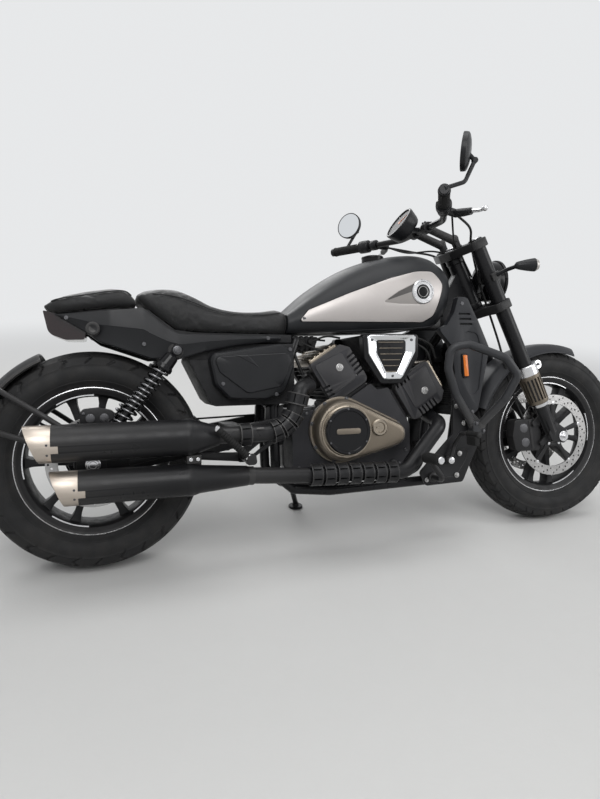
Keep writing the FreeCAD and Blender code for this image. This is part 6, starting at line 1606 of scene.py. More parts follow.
def footrest_plates():
    lightened = plate([(1126, 300, 10), (1200, 300, 12), (1188, 262, 12), (1150, 212, 12), (1080, 208, 12),
                       (1064, 232, 12)], -164, -157)
    bosses = [pin(x, z, -151, -116.8, 12, 28) for x, z in ((1183, 388), (1165, 286), (1153, 214))]
    piece("footrest_plates", PAINT, both(plate(PLATE_CORNERS, -160, -150)), OWN, bevel=1.6,
          cuts=pair(lightened), steps=3)
    piece("footrest_bosses", PAINT, both(join(*bosses)), bevel=0.8)
    bolts = []
    for x, z, r in ((1183, 388, 6), (1165, 286, 6), (1153, 214, 6), (1154, 446, 5), (1204, 336, 5), (1040, 206, 5)):
        bolts.append(join(pin(x, z, -162.2, -158, r + 3, 28, 0.8), nut(x, z, -167, -160, r, 1.2)))
    piece("footrest_bolts", STEEL, both(join(*bolts)), slot="polished_alloy", bevel=0.4)


PEG_NEAR, PEG_FAR = V(997, -232, 292), V(1004, -308, 292)


def rider_pegs():
    arm = bar([(1060, -151, 214), (1056, -242, 216), (998, -246, 292)], 9, [0, 30, 0], 18, 8)
    foot = pin(1060, 214, -170, -160, 16, 32, 1.5)
    joint = pad(986, 1010, 280, 304, 8, -250, -238)
    piece("rider_pegs", PAINT, both(join(arm, foot, joint)), OWN, bevel=1.2, sharp=50)
    along = PEG_FAR - PEG_NEAR
    rows = [(0, CORE_R), (0, 16.5)]
    for k in range(9):
        low = 3 + k * 7.6
        rows += [(low, 16.5), (low + 0.8, 17.7), (low + 5.0, 17.7), (low + 5.8, 16.5)]
    rows += [(72, 16.5), (74, 17.5), (76.3, 16), (76.3, CORE_R)]
    rubber = lathe(rows, PEG_NEAR, along, 32)
    end = solid([(76, 11.6), (82, 11.6), (84.2, 9.5)], PEG_NEAR, along, 32)
    piece("peg_rubbers", RUBBER, both(rubber), slot="rubber", sharp=30)
    piece("peg_ends", POLISHED, both(end), slot="polished_alloy", sharp=30)


def pedals():
    pivot = pin(1120, 268, -182, -160, 13, 28, 1.5)
    arm = bar([(1120, -174, 268), (1136, -176, 320), (1142, -206, 358), (1144, -240, 362)], 7, [0, 30, 14, 0], 16, 8)
    core = rod((1144, -232, 362), (1148, -302, 360), 7.5, 20)
    rows = [(10, 7.5)]
    for k in range(9):
        rows += [(11 + k * 6.4, 8.6), (12 + k * 6.4, 9.9), (15.4 + k * 6.4, 9.9), (16.4 + k * 6.4, 8.6)]
    rows += [(69.5, 9.2), (70, 7.5)]
    rubber = lathe(rows, (1144, -232, 362), (4, -70, -2), 24)
    lower = plate([(1134, 326, 6), (1150, 326, 6), (1150, 356, 4), (1134, 356, 4)], -298, -250)
    grooves = [block((1133, 1151), (-293 + k * 8, -290 + k * 8), (325, 329)) for k in range(6)]
    bolt = both(join(nut(1120, 268, -186, -180, 8), pin(1120, 268, -184, -181, 11, 24)))
    piece("brake_pedal", PAINT, join(pivot, arm, core), OWN, bevel=0.8, sharp=50)
    piece("gear_lever", PAINT, mirrored(join(pivot, arm, core)), OWN, bevel=0.8, sharp=50)
    piece("pedal_rubbers", RUBBER, both(rubber), slot="rubber", sharp=30)
    piece("brake_pad_rubber", RUBBER, lower, slot="rubber", bevel=1.5, cuts=grooves)
    piece("pedal_bolts", POLISHED, bolt, slot="polished_alloy", bevel=0.5)


HANG_Y = (148.0, 156.0)


def passenger_pegs():
    x, z = PIVOT
    corners = [(x + 18, z + 18, 14), (x + 18, z - 18, 14), (440, 304, 10), (408, 304, 10), (408, 336, 10),
               (x - 18, z + 18, 14)]
    window = plate([(x - 22, z - 8, 8), (x - 10, z - 16, 6), (452, 322, 6), (434, 326, 6)], -160, -140)
    hook = plate(corners, -HANG_Y[1], -HANG_Y[0])
    arm = pin(424, 322, -148, -268, 11, 24, 1)
    clevis = plate([(410, 312, 6), (440, 312, 10), (436, 342, 6), (412, 338, 6)], -282, -254)
    piece("passenger_pegs", PAINT, both(hook), OWN, bevel=1.6, cuts=pair(window), steps=3)
    piece("passenger_peg_arms", PAINT, both(join(arm, clevis)), bevel=2.0)
    start, end = V(424, -268, 326), V(330, -268, 418)
    along = (end - start).normalized()
    rows = [(0, CORE_R), (0, 8), (6, 10.8), (18, 10.8), (20, 9)]
    for k in range(12):
        rows += [(22 + k * 7.6, 9), (23 + k * 7.6, 10.9), (27.6 + k * 7.6, 10.9), (28.6 + k * 7.6, 9)]
    rows += [(116, 9), (117, 10.4), (129, 10.4), (130, 8), (130, CORE_R)]
    piece("passenger_peg_bars", RUBBER, both(lathe(rows, start, along, 28)), slot="rubber", sharp=30)
    ends = join(solid([(129, 10.9), (134, 10.6), (136, 8)], start, along, 28),
                solid([(-1, 8), (5, 11.2), (15, 11.2), (16, 9)], start, along, 28))
    piece("passenger_peg_ends", POLISHED, both(ends), slot="polished_alloy", sharp=30)
    strap = plate([(420, 306, 6), (420, 334, 6), (250, 341, 6), (250, 324, 6)], -HANG_Y[1], -HANG_Y[0])
    bridge = block((250, 290), (MUFFLER_Y - 12, -HANG_Y[0]), (LOWER_Z + 45.6, UPPER_Z - 51))
    piece("muffler_hanger", PAINT, join(strap, bridge), bevel=1.2)
    bolts = [nut(bx, 332, MUFFLER_Y - 18, MUFFLER_Y - 11, 6.5) for bx in (260, 280)]
    bolts.append(join(nut(x, z, -162, -155, 12), pin(x, z, -158, -155.5, 15, 32, 0.8)))
    bolts.append(mirrored(bolts[-1]))
    piece("hanger_bolts", POLISHED, join(*bolts), slot="polished_alloy", bevel=0.6)


FENDER_R, FENDER_W = 342.0, 94.0


def arch(radius, thick, half_w, drop, x, z, start, end, parts=72):
    """Arched mudguard whose sides fall by drop towards their edges."""
    def profile(r_off):
        rows = []
        for k in range(25):
            share = -1 + 2 * k / 24
            fall = drop * (0.12 * min(1, abs(share) / 0.6) ** 2 + 0.88 * max(0, (abs(share) - 0.6) / 0.4) ** 1.4)
            rows.append((half_w * share, radius - fall + r_off))
        return rows
    inner, outer = profile(0.2), profile(thick - 0.2)
    section = inner + outer[::-1]
    rings = []
    for k in range(parts + 1):
        angle = radians(start + (end - start) * k / parts)
        rings.append([V(x + r * cos(angle), y, z + r * sin(angle)) for y, r in section])
    return skin(rings)


def rear_fender():
    shell = arch(FENDER_R, 5.0, FENDER_W, 22, 0, REAR_Z, 114, 188)
    start_y = -151.0
    upper = bar([(22, start_y, REAR_Z + 34), (-120, start_y, 462), (-262, -FENDER_W - 1, 552)], 8, [0, 60, 0], 16)
    lower = bar([(0, start_y, REAR_Z + 31), (-160, start_y, 396), (-326, -FENDER_W - 1, 450)], 8, [0, 60, 0], 16)
    foot = plate([(-14, REAR_Z + 21, 3), (40, REAR_Z + 21, 3), (40, REAR_Z + 44, 8), (-14, REAR_Z + 44, 8)],
                 -154, -142)
    piece("rear_fender", PAINT, shell, OWN, sharp=40)
    piece("rear_fender_arms", PAINT, both(join(upper, lower, foot)), bevel=1.0, sharp=50)
    back = -354.0
    holder = plate([(back + 16, 362, 4), (back + 0.2, 362, 2), (back + 0.2, 560, 4), (-300, 590, 8), (-296, 560, 8),
                    (back + 12, 530, 8)], -60, 60)
    beam = pin(-338, 520, -150, 150, 8, 24, 1)
    light = plate([(back + 2, 548, 6), (back + 26, 556, 6), (back + 22, 572, 6), (back - 0.5, 562, 6)], -30, 30)
    piece("plate_holder", PLASTIC, join(holder, beam, light), slot="black_plastic", bevel=1.5)
    number = []
    for y, z in ((-60, 520), (60, 520), (-60, 400), (60, 400)):
        number.append(rod((-354.4, y, z), (-356.0, y, z), 4.5, 20, 0.4))
    edge = [(-110, 390), (110, 390), (110, 530), (-110, 530)]
    ring = rounded([V(0, y, z) for y, z in edge], [10] * 4, True)
    sheet = skin([[V(x, p.y, p.z) for p in ring] for x in (-355.9, -354.1)])
    rim = rounded([V(0, y * 0.97, 460 + (z - 460) * 0.955) for y, z in edge], [8] * 4, True)
    bead = tube([V(-355.7, p.y, p.z) for p in rim], 0.75, 8, loop=True)
    piece("number_plate", WHITE, join(sheet, bead), OWN, "plate_white", bevel=0.3, sharp=40)
    piece("number_plate_bolts", BOLT, join(*number))
    place = (-300, -174, 520), (-1, 0, 0)
    shade = solid([(0, 8), (3, 13), (10, 14.6), (40, 19.2), (45, 20.6), (46, 19)], *place, 40)
    stalk = lathe([(0, 6), (0, 7.9), (20, 7.0), (23.7, 8), (23.7, 6), (0, 6)], (-338, -150.4, 520), (0, -1, 0), 24)
    lens = solid([(44, 19), (48, 20.4), (51, 18), (52, 12)], *place, 40)
    piece("rear_signals", PLASTIC_SMOOTH, both(join(shade, stalk)), OWN, "black_plastic", sharp=30)
    piece("rear_signal_lenses", SMOKED_AMBER, both(lens), slot="smoked_lens", sharp=30)


exhausts()
pipe_shields()
radiator()
radiator_shroud()
crash_bars()
footrest_plates()
rider_pegs()
pedals()
passenger_pegs()
rear_fender()


# Fork, front brakes, bars and lamps

LOWER_R, RING_S, CAGE_S = 23.0, (262.0, 300.0), (152.0, 262.0)
LEG = (LEG_X, -LEG_Y, 0), (0, 0, 1)       # origin and axis of what is turned about the right leg
FORK_TOP, CLAMP_T, AXLE_END = 778.0, 30.0, 128.0
BAR_ENDS = [(958, -424, 1066), (1120, -150, 1062), (1120, 150, 1062), (958, 424, 1066)]
BAR_ALONG = V(*BAR_ENDS[1]) - V(*BAR_ENDS[0])
BAR_R, RISER_Y = 11.0, 42.0


def steered(name, looks, form, *more, **settings):
    """A piece that turns with the fork."""
    piece(name, looks, form, *more, body="steering", **settings)


def fork():
    yokes, bolts = [], []
    for height, stretch in ((LOW_CLAMP, 42), (TOP_CLAMP, 34)):
        right = [(-stretch, -36, 8), (LEG_X - 30, -LEG_Y - 32, 20), (LEG_X + 31, -LEG_Y - 32, 20),
                 (LEG_X + 31, -LEG_Y + 20, 14), (LEG_X + 10, -50, 20)]
        corners = right + [(x, -y, r) for x, y, r in reversed(right)]
        yokes.append(slab(corners, height - CLAMP_T / 2, height + CLAMP_T / 2))
        for side in (-1, 1):
            for offset in (-8, 8):
                if height == LOW_CLAMP or offset < 0:
                    bolts.append(nut(LEG_X + 28, height + offset, side * (LEG_Y - 33), side * (LEG_Y - 24), 5))
    holes = [rod((LEG_X, y, h - 30), (LEG_X, y, h + 30), 26.1, 64) for y in (-LEG_Y, LEG_Y)
             for h in (LOW_CLAMP, TOP_CLAMP)]
    steered("triple_clamps", PAINT, forked(join(*yokes)), OWN, bevel=2.5, cuts=[forked(hole) for hole in holes],
            steps=3)
    stem = join(rod((0, 0, LOW_CLAMP), (0, 0, TOP_CLAMP), 15, 32),
                hexagon((0, 0, TOP_CLAMP + 14), (0, 0, TOP_CLAMP + 24), 18, 2),
                rod((0, 0, TOP_CLAMP + 14), (0, 0, TOP_CLAMP + 17), 21, 32, 0.8))
    steered("steering_stem", POLISHED, forked(stem), slot="polished_alloy", bevel=0.5)
    steered("yoke_bolts", BOLT, forked(join(*bolts)), bevel=0.4)
    leg = solid([(262, 25.9), (FORK_TOP - 4, 25.9), (FORK_TOP - 3, 24.6), (FORK_TOP + 1, 24.6),
                 (FORK_TOP + 4, 22)], *LEG, 64)
    steered("fork_tubes", FRAME_PAINT, both(forked(leg)), OWN, sharp=30)
    cap = join(solid([(FORK_TOP + 3, 20), (FORK_TOP + 7, 18.5)], *LEG, 48),
               hexagon((LEG_X, -LEG_Y, FORK_TOP + 5), (LEG_X, -LEG_Y, FORK_TOP + 8), 10, 0.6))
    steered("fork_caps", POLISHED, both(forked(cap)), slot="polished_alloy", bevel=0.4)


def fork_lowers():
    inside = block((LEG_X - 60, LEG_X + 80), (-73, 0), (CAGE_S[0] - 1, RING_S[1] + 1))
    bore = rod((LEG_X, -LEG_Y, RING_S[0] - 1), (LEG_X, -LEG_Y, RING_S[1] + 1), 26.1, 64)
    sleeve = solid([(RING_S[0], 37.5), (RING_S[0] + 2, 39), (RING_S[1] - 3, 39), (RING_S[1], 36.5)], *LEG, 72)
    lug = plate([(LEG_X + 34, RING_S[0] + 5, 3), (LEG_X + 56, RING_S[0] + 5, 12), (LEG_X + 60, RING_S[1] - 12, 12),
                 (LEG_X + 52, RING_S[1] - 3, 8), (LEG_X + 34, RING_S[1] - 3, 3)], -LEG_Y - 13, -LEG_Y + 13)
    cut = block((LEG_X + 36, LEG_X + 70), (-LEG_Y - 1.5, -LEG_Y + 1.5), (RING_S[0] - 5, RING_S[1] + 5))
    steered("fork_rings", POLISHED, both(forked(join(sleeve, lug))), slot="polished_alloy", sharp=28, bevel=0.8,
            overlap=True, cuts=[side(forked(form)) for form in (inside, bore, cut) for _, side in SIDES])
    bolt = nut(LEG_X + 46, 282, -LEG_Y - 17, -LEG_Y + 15, 5.5)
    steered("fork_ring_bolts", BOLT, both(forked(bolt)), bevel=0.4)
    rows = [(CAGE_S[0], CORE_R), (CAGE_S[0], 34), (CAGE_S[0] + 2, 36), (CAGE_S[0] + 12, 36.3), (CAGE_S[1] - 10, 38.5),
            (CAGE_S[1] - 1, 38.8), (CAGE_S[1], 38), (CAGE_S[1], CORE_R)]
    cage = lathe(rows, *LEG, 96)
    slots = []
    for index in range(11):
        slot = pad(29.5, 52, CAGE_S[0] + 14, CAGE_S[1] - 12, 0, -3.6, 3.6)
        turn = shift(LEG_X, -LEG_Y, 0) @ swung(160 + index * 20, "Z")
        slots.append(forked(moved(slot, turn)))
    steered("fork_cages", BRONZE, both(forked(cage)), slot="polished_alloy", bevel=0.7, sharp=30,
            cuts=[side(form) for form in (join(*slots), forked(inside)) for _, side in SIDES])
    dark = solid([(CAGE_S[0] + 12, 30.4), (CAGE_S[1] - 10, 31.0)], *LEG, 48)
    flat = block((LEG_X - 60, LEG_X + 80), (-74, 0), (CAGE_S[0] - 1, RING_S[1] + 1))
    steered("fork_cage_cores", HOT_BLACK, both(forked(dark)), sharp=30, cuts=pair(forked(flat)))
    leg = solid([(30, LOWER_R), (CAGE_S[0] - 14, LOWER_R + 2.6), (CAGE_S[0] + 1, LOWER_R + 3)], *LEG, 64)
    foot = plate([(LEG_X - 22, 40, 10), (LEG_X - 20, 4, 16), (AXLE_LEAD - 8, -24, 18), (AXLE_LEAD + 22, -18, 18),
                  (AXLE_LEAD + 20, 20, 14), (LEG_X + 22, 62, 10)], -LEG_Y - 20, -LEG_Y + 20)
    lugs = []
    face = -FRONT_DISC_Y - 27
    for low in (84, 6):
        lugs.append(plate([(LEG_X - 10, low + 30, 4), (LEG_X - 60, low + 12, 8), (LEG_X - 60, low - 6, 8),
                           (LEG_X - 10, low, 4)], face - 10, face - 0.3))
    axle_hole = pin(AXLE_LEAD, 0, -LEG_Y - 40, -LEG_Y + 40, 11, 48)
    steered("fork_lowers", CAST_BLACK, both(forked(join(leg, foot, *lugs))), OWN, overlap=True, bevel=2.2, steps=3,
            cuts=pair(forked(axle_hole)), sharp=40)
    collar = lathe([(CAGE_S[0] - 12, 25.5), (CAGE_S[0] - 12, 29), (CAGE_S[0] - 1, 30.5), (CAGE_S[0] - 0.2, 30.5),
                    (CAGE_S[0] - 0.2, 25.5), (CAGE_S[0] - 12, 25.5)], *LEG, 56)
    pinch = hexagon((AXLE_LEAD + 26, -LEG_Y - 12, 8), (AXLE_LEAD + 18, -LEG_Y - 12, 8), 6)
    steered("fork_collars", POLISHED, both(forked(join(collar, pinch))), slot="polished_alloy", sharp=30)


def front_axle():
    shaft = pin(WHEELBASE, FRONT_Z, -AXLE_END, AXLE_END, 11, 48)
    end = join(nut(WHEELBASE, FRONT_Z, -AXLE_END - 8, -LEG_Y - 21, 16, 1.5),
               pin(WHEELBASE, FRONT_Z, -LEG_Y - 23, -LEG_Y - 20, 19, 36, 0.8))
    spacer = pin(WHEELBASE, FRONT_Z, 20 - LEG_Y, -FRONT_HUB / 2 - 0.3, 17, 32, 0.8)
    hollow = pin(WHEELBASE, FRONT_Z, -AXLE_END - 12, -AXLE_END + 6, 6.5, 28)
    steered("front_axle", POLISHED, join(shaft, both(join(end, spacer))), OWN, "polished_alloy", bevel=0.5,
            cuts=pair(hollow))


def front_calipers():
    body = plate([(1436, 384, 14), (1525, 384, 10), (1547, 332, 14), (1540, 268, 10), (1440, 270, 16),
                  (1426, 326, 20)], -FRONT_DISC_Y - 27, 16 - FRONT_DISC_Y)
    y = -FRONT_DISC_Y
    hollow = pin(WHEELBASE, FRONT_Z, y - 4.5, y + 4.5, 156, 96)
    steered("front_calipers", CAST_BLACK, both(body), OWN, bevel=3.0, steps=3, cuts=pair(hollow))
    parts = [pin(x, z, y - 28.5, y - 26, 17, 40, 1.2) for x, z in ((1472, 352), (1480, 300))]
    rib = plate([(1492, 380, 3), (1502, 380, 3), (1516, 276, 3), (1506, 274, 3)], y - 28.8, y - 26)
    steered("caliper_caps", BOLT, both(join(*parts)), slot="polished_alloy", bevel=0.5)
    steered("caliper_ribs", CAST_BLACK, both(rib), bevel=1.0)


FRONT_FENDER_R, FRONT_FENDER_W, FRONT_FENDER_DROP = 338.0, 76.0, 34


def front_fender():
    shell = arch(FRONT_FENDER_R, 4.0, FRONT_FENDER_W, FRONT_FENDER_DROP, WHEELBASE, FRONT_Z, 72, 160, parts=88)
    tab = block((LEG_X - 15, LEG_X + 15), (-73, -70.2), (RING_S[0] + 8, 309))
    steered("front_fender", SHROUD, shell, OWN, "shroud_grey", sharp=40)
    steered("fender_tabs", PAINT, both(forked(tab)), bevel=0.8)
    lips = []
    for side in (-1, 1):
        points = []
        for k in range(60):
            angle = radians(73 + 86 * k / 59)
            r = FRONT_FENDER_R - FRONT_FENDER_DROP + 2.2
            points.append(V(WHEELBASE + r * cos(angle), side * FRONT_FENDER_W, FRONT_Z + r * sin(angle)))
        lips.append(tube(points, 2.1, 8))
    steered("fender_lips", SHROUD, join(*lips), slot="shroud_grey", sharp=60)


LAMP, LAMP_R = (1424.0, 890.0), 74.0


def headlamp():
    x, z = LAMP
    ahead = (x, 0, z), (1, 0, 0)
    shell = solid([(-70, 42), (-66, 46), (-60, 64), (-54, 71), (-46, 73), (-9, 73.8), (-6, 73.8)], *ahead, 96)
    steered("headlamp", GLOSS, shell, OWN, "gloss_black", sharp=28)
    plate_form = plate([(x - 116, z - 22, 8), (x - 30, z - 22, 14), (x - 30, z + 22, 14), (x - 116, z + 22, 8)],
                       -LEG_Y + 26.2, -LAMP_R + 10)
    window = pad(x - 96, x - 72, z - 10, z + 10, 8, -90, -50)
    steered("headlamp_arms", PAINT, both(plate_form), bevel=1.5, cuts=pair(window))
    bezel = lathe([(-7, 68), (-7, 77), (-5, 78), (2, 78), (4.5, 75), (4.5, 69.5), (1, 67), (-7, 68)], *ahead, 96)
    steered("headlamp_bezel", GLOSS, bezel, slot="gloss_black", sharp=30)
    bowl = lathe([(-52, CORE_R), (-52, 14), (-44, 30), (-30, 48), (-10, 66), (-6, 68.5), (-6, 70), (-12, 70),
                  (-54, 20), (-56, CORE_R)], *ahead, 96)
    bulb = lathe([(-51, CORE_R), (-51, 9), (-30, 9), (-24, 6), (-22, CORE_R)], *ahead, 40)
    steered("headlamp_reflector", SPRING, bowl, slot="chrome", sharp=40)
    steered("headlamp_bulb", CLEAR, bulb, slot="smoked_lens", sharp=40)
    glass_rows = [(-1, CORE_R), (-1, 68)]
    for k in range(9):
        a = radians(90 * k / 8)
        glass_rows.append((20 * sin(a) + 3, 68 * cos(a) + CORE_R))
    lens = lathe(glass_rows, *ahead, 96)
    steered("headlamp_glass", SMOKE_CLEAR, lens, slot="smoked_lens", sharp=30)


def on_bar(distance, dx=0.0, dy=0.0, dz=0.0):
    """A point in from the bar's right end, moved off the bar."""
    return V(*BAR_ENDS[0]) + BAR_ALONG.normalized() * distance + V(dx, dy, dz)


def handlebar():
    tube_form = bar(BAR_ENDS, BAR_R, [0, 90, 90, 0], 28, 4)
    top = TOP_CLAMP + CLAMP_T / 2
    steered("handlebar", FRAME_PAINT, tube_form, OWN, sharp=50)
    foot = forked(solid([(top + 0.1, 17), (top + 4, 17), (top + 8, 14), (top + 34, 14.5)], (2, -RISER_Y, 0),
                        (0, 0, 1), 40))
    arm = tube([V(1231, -RISER_Y, 1022), V(1120, -RISER_Y, 1062)], [15, 13.4], 32)
    elbow = forked(lathe([(top + 26, CORE_R), (top + 26, 14.6), (top + 34, 16), (top + 42, 14), (top + 47, 8),
                          (top + 48, CORE_R)], (2, -RISER_Y, 0), (0, 0, 1), 40))
    clamp = solid([(-15, 18), (-13, 19.8), (13, 19.8), (15, 18)], (1120, -RISER_Y, 1062), (0, 1, 0), 48)
    steered("risers", CAST_BLACK, both(join(foot, arm, elbow, clamp)), sharp=40, bevel=0.8)
    bolts = [hexagon((x, -RISER_Y + y, 1076), (x, -RISER_Y + y, 1083), 4.5) for x in (1109, 1131) for y in (-8, 8)]
    steered("riser_bolts", BOLT, both(join(*bolts)), bevel=0.4)


def grips():
    rows = [(1, 11.4), (1, 17.4), (3, 18.2), (6, 18.2), (8, 16.6)]
    for k in range(13):
        low = 10 + k * 8.2
        rows += [(low, 16.0), (low + 1, 17.2), (low + 5.6, 17.2), (low + 6.6, 16.0)]
    rows += [(118, 16.6), (119, 17.6), (123, 17.6), (124, 16.8), (124, 11.4), (1, 11.4)]
    steered("grips", RUBBER, both(lathe(rows, BAR_ENDS[0], BAR_ALONG, 40)), OWN, "rubber", sharp=30)


LEVER_AT = 196.0


def hand_controls():
    pod = lathe([(128, 11.4), (128, 21), (131, 24), (148, 24.6), (149, 23.6), (151, 23.6), (152, 24.6), (169, 24),
                 (172, 21), (172, 11.4), (128, 11.4)], BAR_ENDS[0], BAR_ALONG, 40)
    clamp = lathe([(184, 11.4), (184, 18), (186, 19.4), (206, 19.4), (208, 18), (208, 11.4), (184, 11.4)],
                  BAR_ENDS[0], BAR_ALONG, 36)
    nubs = join(rod(on_bar(142, -18, -4, 8), on_bar(142, -25, -6, 11), 5, 20, 1),
                rod(on_bar(160, -18, -4, 6), on_bar(160, -24, -6, 8), 4, 20, 1))
    master = tube([on_bar(LEVER_AT, 8), on_bar(LEVER_AT, 26, 3, -3), on_bar(LEVER_AT, 46, 6, -6),
                   on_bar(LEVER_AT, 56, -24, -10), on_bar(LEVER_AT, 62, -54, -14)], [12, 13, 13.4, 12.6, 11], 24)
    steered("hand_controls", PLASTIC_SMOOTH, both(join(pod, clamp, master)), OWN, "black_plastic", sharp=36)
    steered("switch_buttons", STEEL, both(nubs), slot="polished_alloy", sharp=30)
    lever = tube(through([on_bar(LEVER_AT, 60, -44, -13), on_bar(LEVER_AT, 62, -62, -15),
                          on_bar(LEVER_AT, 56, -112, -26), on_bar(LEVER_AT, 46, -142, -31),
                          on_bar(LEVER_AT, 34, -165, -36)], 6), [6.4] * 6 + [6.2] * 6 + [5.6] * 6 + [5.0] * 7, 20,
                 flat=0.72)
    tip = on_bar(LEVER_AT, 34, -166, -36.5)
    rings = [(8.6 * sin(radians(a - 90)), 8.6 * cos(radians(a - 90)) + CORE_R) for a in range(0, 181, 15)]
    ball = lathe(rings, tip, (0, -1, 0), 28)
    steered("levers", POLISHED, both(join(lever, ball)), slot="polished_alloy", sharp=40)


GAUGE, GAUGE_FACING = V(1036, 0, 1084), V(-0.81, 0, 0.586)


def instrument():
    rows = [(-44, CORE_R), (-44, 46), (-40, 51), (-30, 55), (-6, 60.5), (0, 61.6), (4.5, 60.5), (6, 58), (6, 55),
            (2, 54), (1, 54), (1, CORE_R)]
    body = lathe(rows, GAUGE, GAUGE_FACING, 80)
    back = GAUGE - GAUGE_FACING * 44
    stay = block((back.x - 2, 1108.8), (-12, 12), (1056, 1068))
    steered("instrument", PLASTIC_SMOOTH, join(body, stay), OWN, "black_plastic", sharp=30)
    bezel = lathe([(3.6, 55), (3.6, 60), (5.8, 59), (6.2, 56.5), (5.6, 55), (3.6, 55)], GAUGE, GAUGE_FACING, 80)
    face = solid([(0.9, 54.4), (1.8, 54.4)], GAUGE, GAUGE_FACING, 80)
    steered("instrument_bezel", GLOSS, bezel, slot="gloss_black", sharp=40)
    steered("instrument_face", DIAL, face, slot="gloss_black", sharp=40)
    across, up = V(0, 1, 0), GAUGE_FACING.cross(V(0, 1, 0)).normalized()
    marks = []
    for k in range(25):
        a = radians(-225 + 270 * k / 24 + 90)
        way = across * sin(a) + up * cos(a)
        inner = 44 if k % 4 == 0 else 48
        at = GAUGE + GAUGE_FACING * 2.0
        marks.append(tube([at + way * inner, at + way * 52], 0.55 if k % 4 else 0.9, 6))
    needle = tube([GAUGE + GAUGE_FACING * 2.4, GAUGE + GAUGE_FACING * 2.4 - across * 32 - up * 26], [1.4, 0.5], 8)
    hub = lathe([(1.8, CORE_R), (1.8, 5), (3.4, 4.4), (3.6, CORE_R)], GAUGE, GAUGE_FACING, 28)
    steered("instrument_marks", WHITE, join(*marks), slot="plate_white", sharp=60)
    steered("instrument_needle", AMBER, join(needle, hub), slot="smoked_lens", sharp=40)


def mirrors():
    x, y, z = BAR_ENDS[0]
    clamp = solid([(-14, 13), (-12, 15.6), (-2, 15.9), (0, 14)], BAR_ENDS[0], BAR_ALONG, 36)
    stem = tube(rounded([V(x - 6, y - 12, z + 2), V(x + 58, y - 12, z + 24), V(x + 98, y - 2, z + 90)], [0, 24, 0],
                        False, 8), 6, 20)
    neck = tube([V(x + 98, y - 2, z + 90), V(x + 74, y - 4, z + 108)], 6.4, 20)
    joint = solid([(-8, 7), (-6, 8.4), (6, 8.4), (8, 7)], (x + 98, y - 2, z + 90), (0.3, 1, 0), 28)
    turn = shift(x + 66, y - 2, z + 112) @ swung(-36, "Z") \
        @ swung(-82)
    shell = moved(solid([(-16, 24), (-14.5, 34), (-10.5, 47), (-7, 52), (0, 53), (6.2, 53), (7, 52), (7, 49.5),
                         (5.6, 49)], (0, 0, 0), (0, 0, 1), 72), turn)
    face = moved(lathe([(5.4, CORE_R), (5.4, 49.2), (6.3, 49.2), (6.5, 30), (6.6, CORE_R)], (0, 0, 0), (0, 0, 1), 72),
                 turn)
    steered("mirrors", PLASTIC_SMOOTH, both(join(clamp, stem, neck, joint, shell)), OWN, "black_plastic", sharp=32)
    steered("mirror_glasses", MIRROR, both(face), slot="chrome", sharp=30)


def front_signals():
    bracket = forked(block((LEG_X - 14, LEG_X + 20), (-LEG_Y - 36, -LEG_Y - 26), (626, 652)))
    stalk = tube(rounded([V(1336, -138, 892), V(1352, -168, 904), V(1364, -204, 910)], [0, 20, 0], False, 8), 6.8, 20)
    start, along = V(1352, -212, 910), V(82, -17, 3)
    shell = solid([(0, 6), (4, 11), (12, 13.6), (40, 19), (60, 21.6), (67, 22.2), (68, 20)], start, along, 48)
    lens = lathe([(67, CORE_R), (67, 20.6), (72, 20), (78, 17), (80.5, 10), (81, CORE_R)], start, along, 48)
    steered("front_signals", PLASTIC_SMOOTH, both(join(stalk, shell)), OWN, "black_plastic", sharp=36)
    steered("signal_brackets", PAINT, both(bracket), bevel=1.5)
    steered("front_signal_lenses", FROSTED, both(lens), slot="smoked_lens", sharp=36)


def side_stand():
    pivot = V(*STAND_PIVOT)
    up = V(0, -SIN_L, COS_L)
    foot = V(STAND_FOOT[0], STAND_FOOT[1], (STAND_FOOT[1] * SIN_L - DROP) / COS_L)
    ankle = foot + up * 16
    leg = tube([pivot, pivot + (ankle - pivot) * 0.12, pivot + (ankle - pivot) * 0.5, pivot + (ankle - pivot) * 0.9,
                ankle], [10.5, 10.4, 9.6, 9.4, 10.2], 28)
    sole = solid([(0, 25.5), (1.6, 27), (6.5, 27), (9, 24)], foot, up, 44)
    post_form = solid([(5, 13), (14, 12), (20, 10.5), (22, 8)], foot, up, 32)
    eye = lathe([(-12, 9.1), (-12, 18.6), (-10.5, 20), (10.5, 20), (12, 18.6), (12, 9.1), (-12, 9.1)], pivot,
                STAND_AXIS, 48)
    bore = rod(pivot - STAND_AXIS * 40, pivot + STAND_AXIS * 40, 9.08, 48)
    piece("side_stand", FRAME_PAINT, join(leg, sole, post_form, eye), OWN, body="stand", cuts=[bore], sharp=35)
    tang_way = (ankle - pivot).normalized()
    tang = tube([pivot + tang_way * 60, pivot + tang_way * 60 + V(26, 10, 2)], [4.2, 3.6], 14)
    piece("stand_tang", FRAME_PAINT, tang, body="stand", sharp=50)


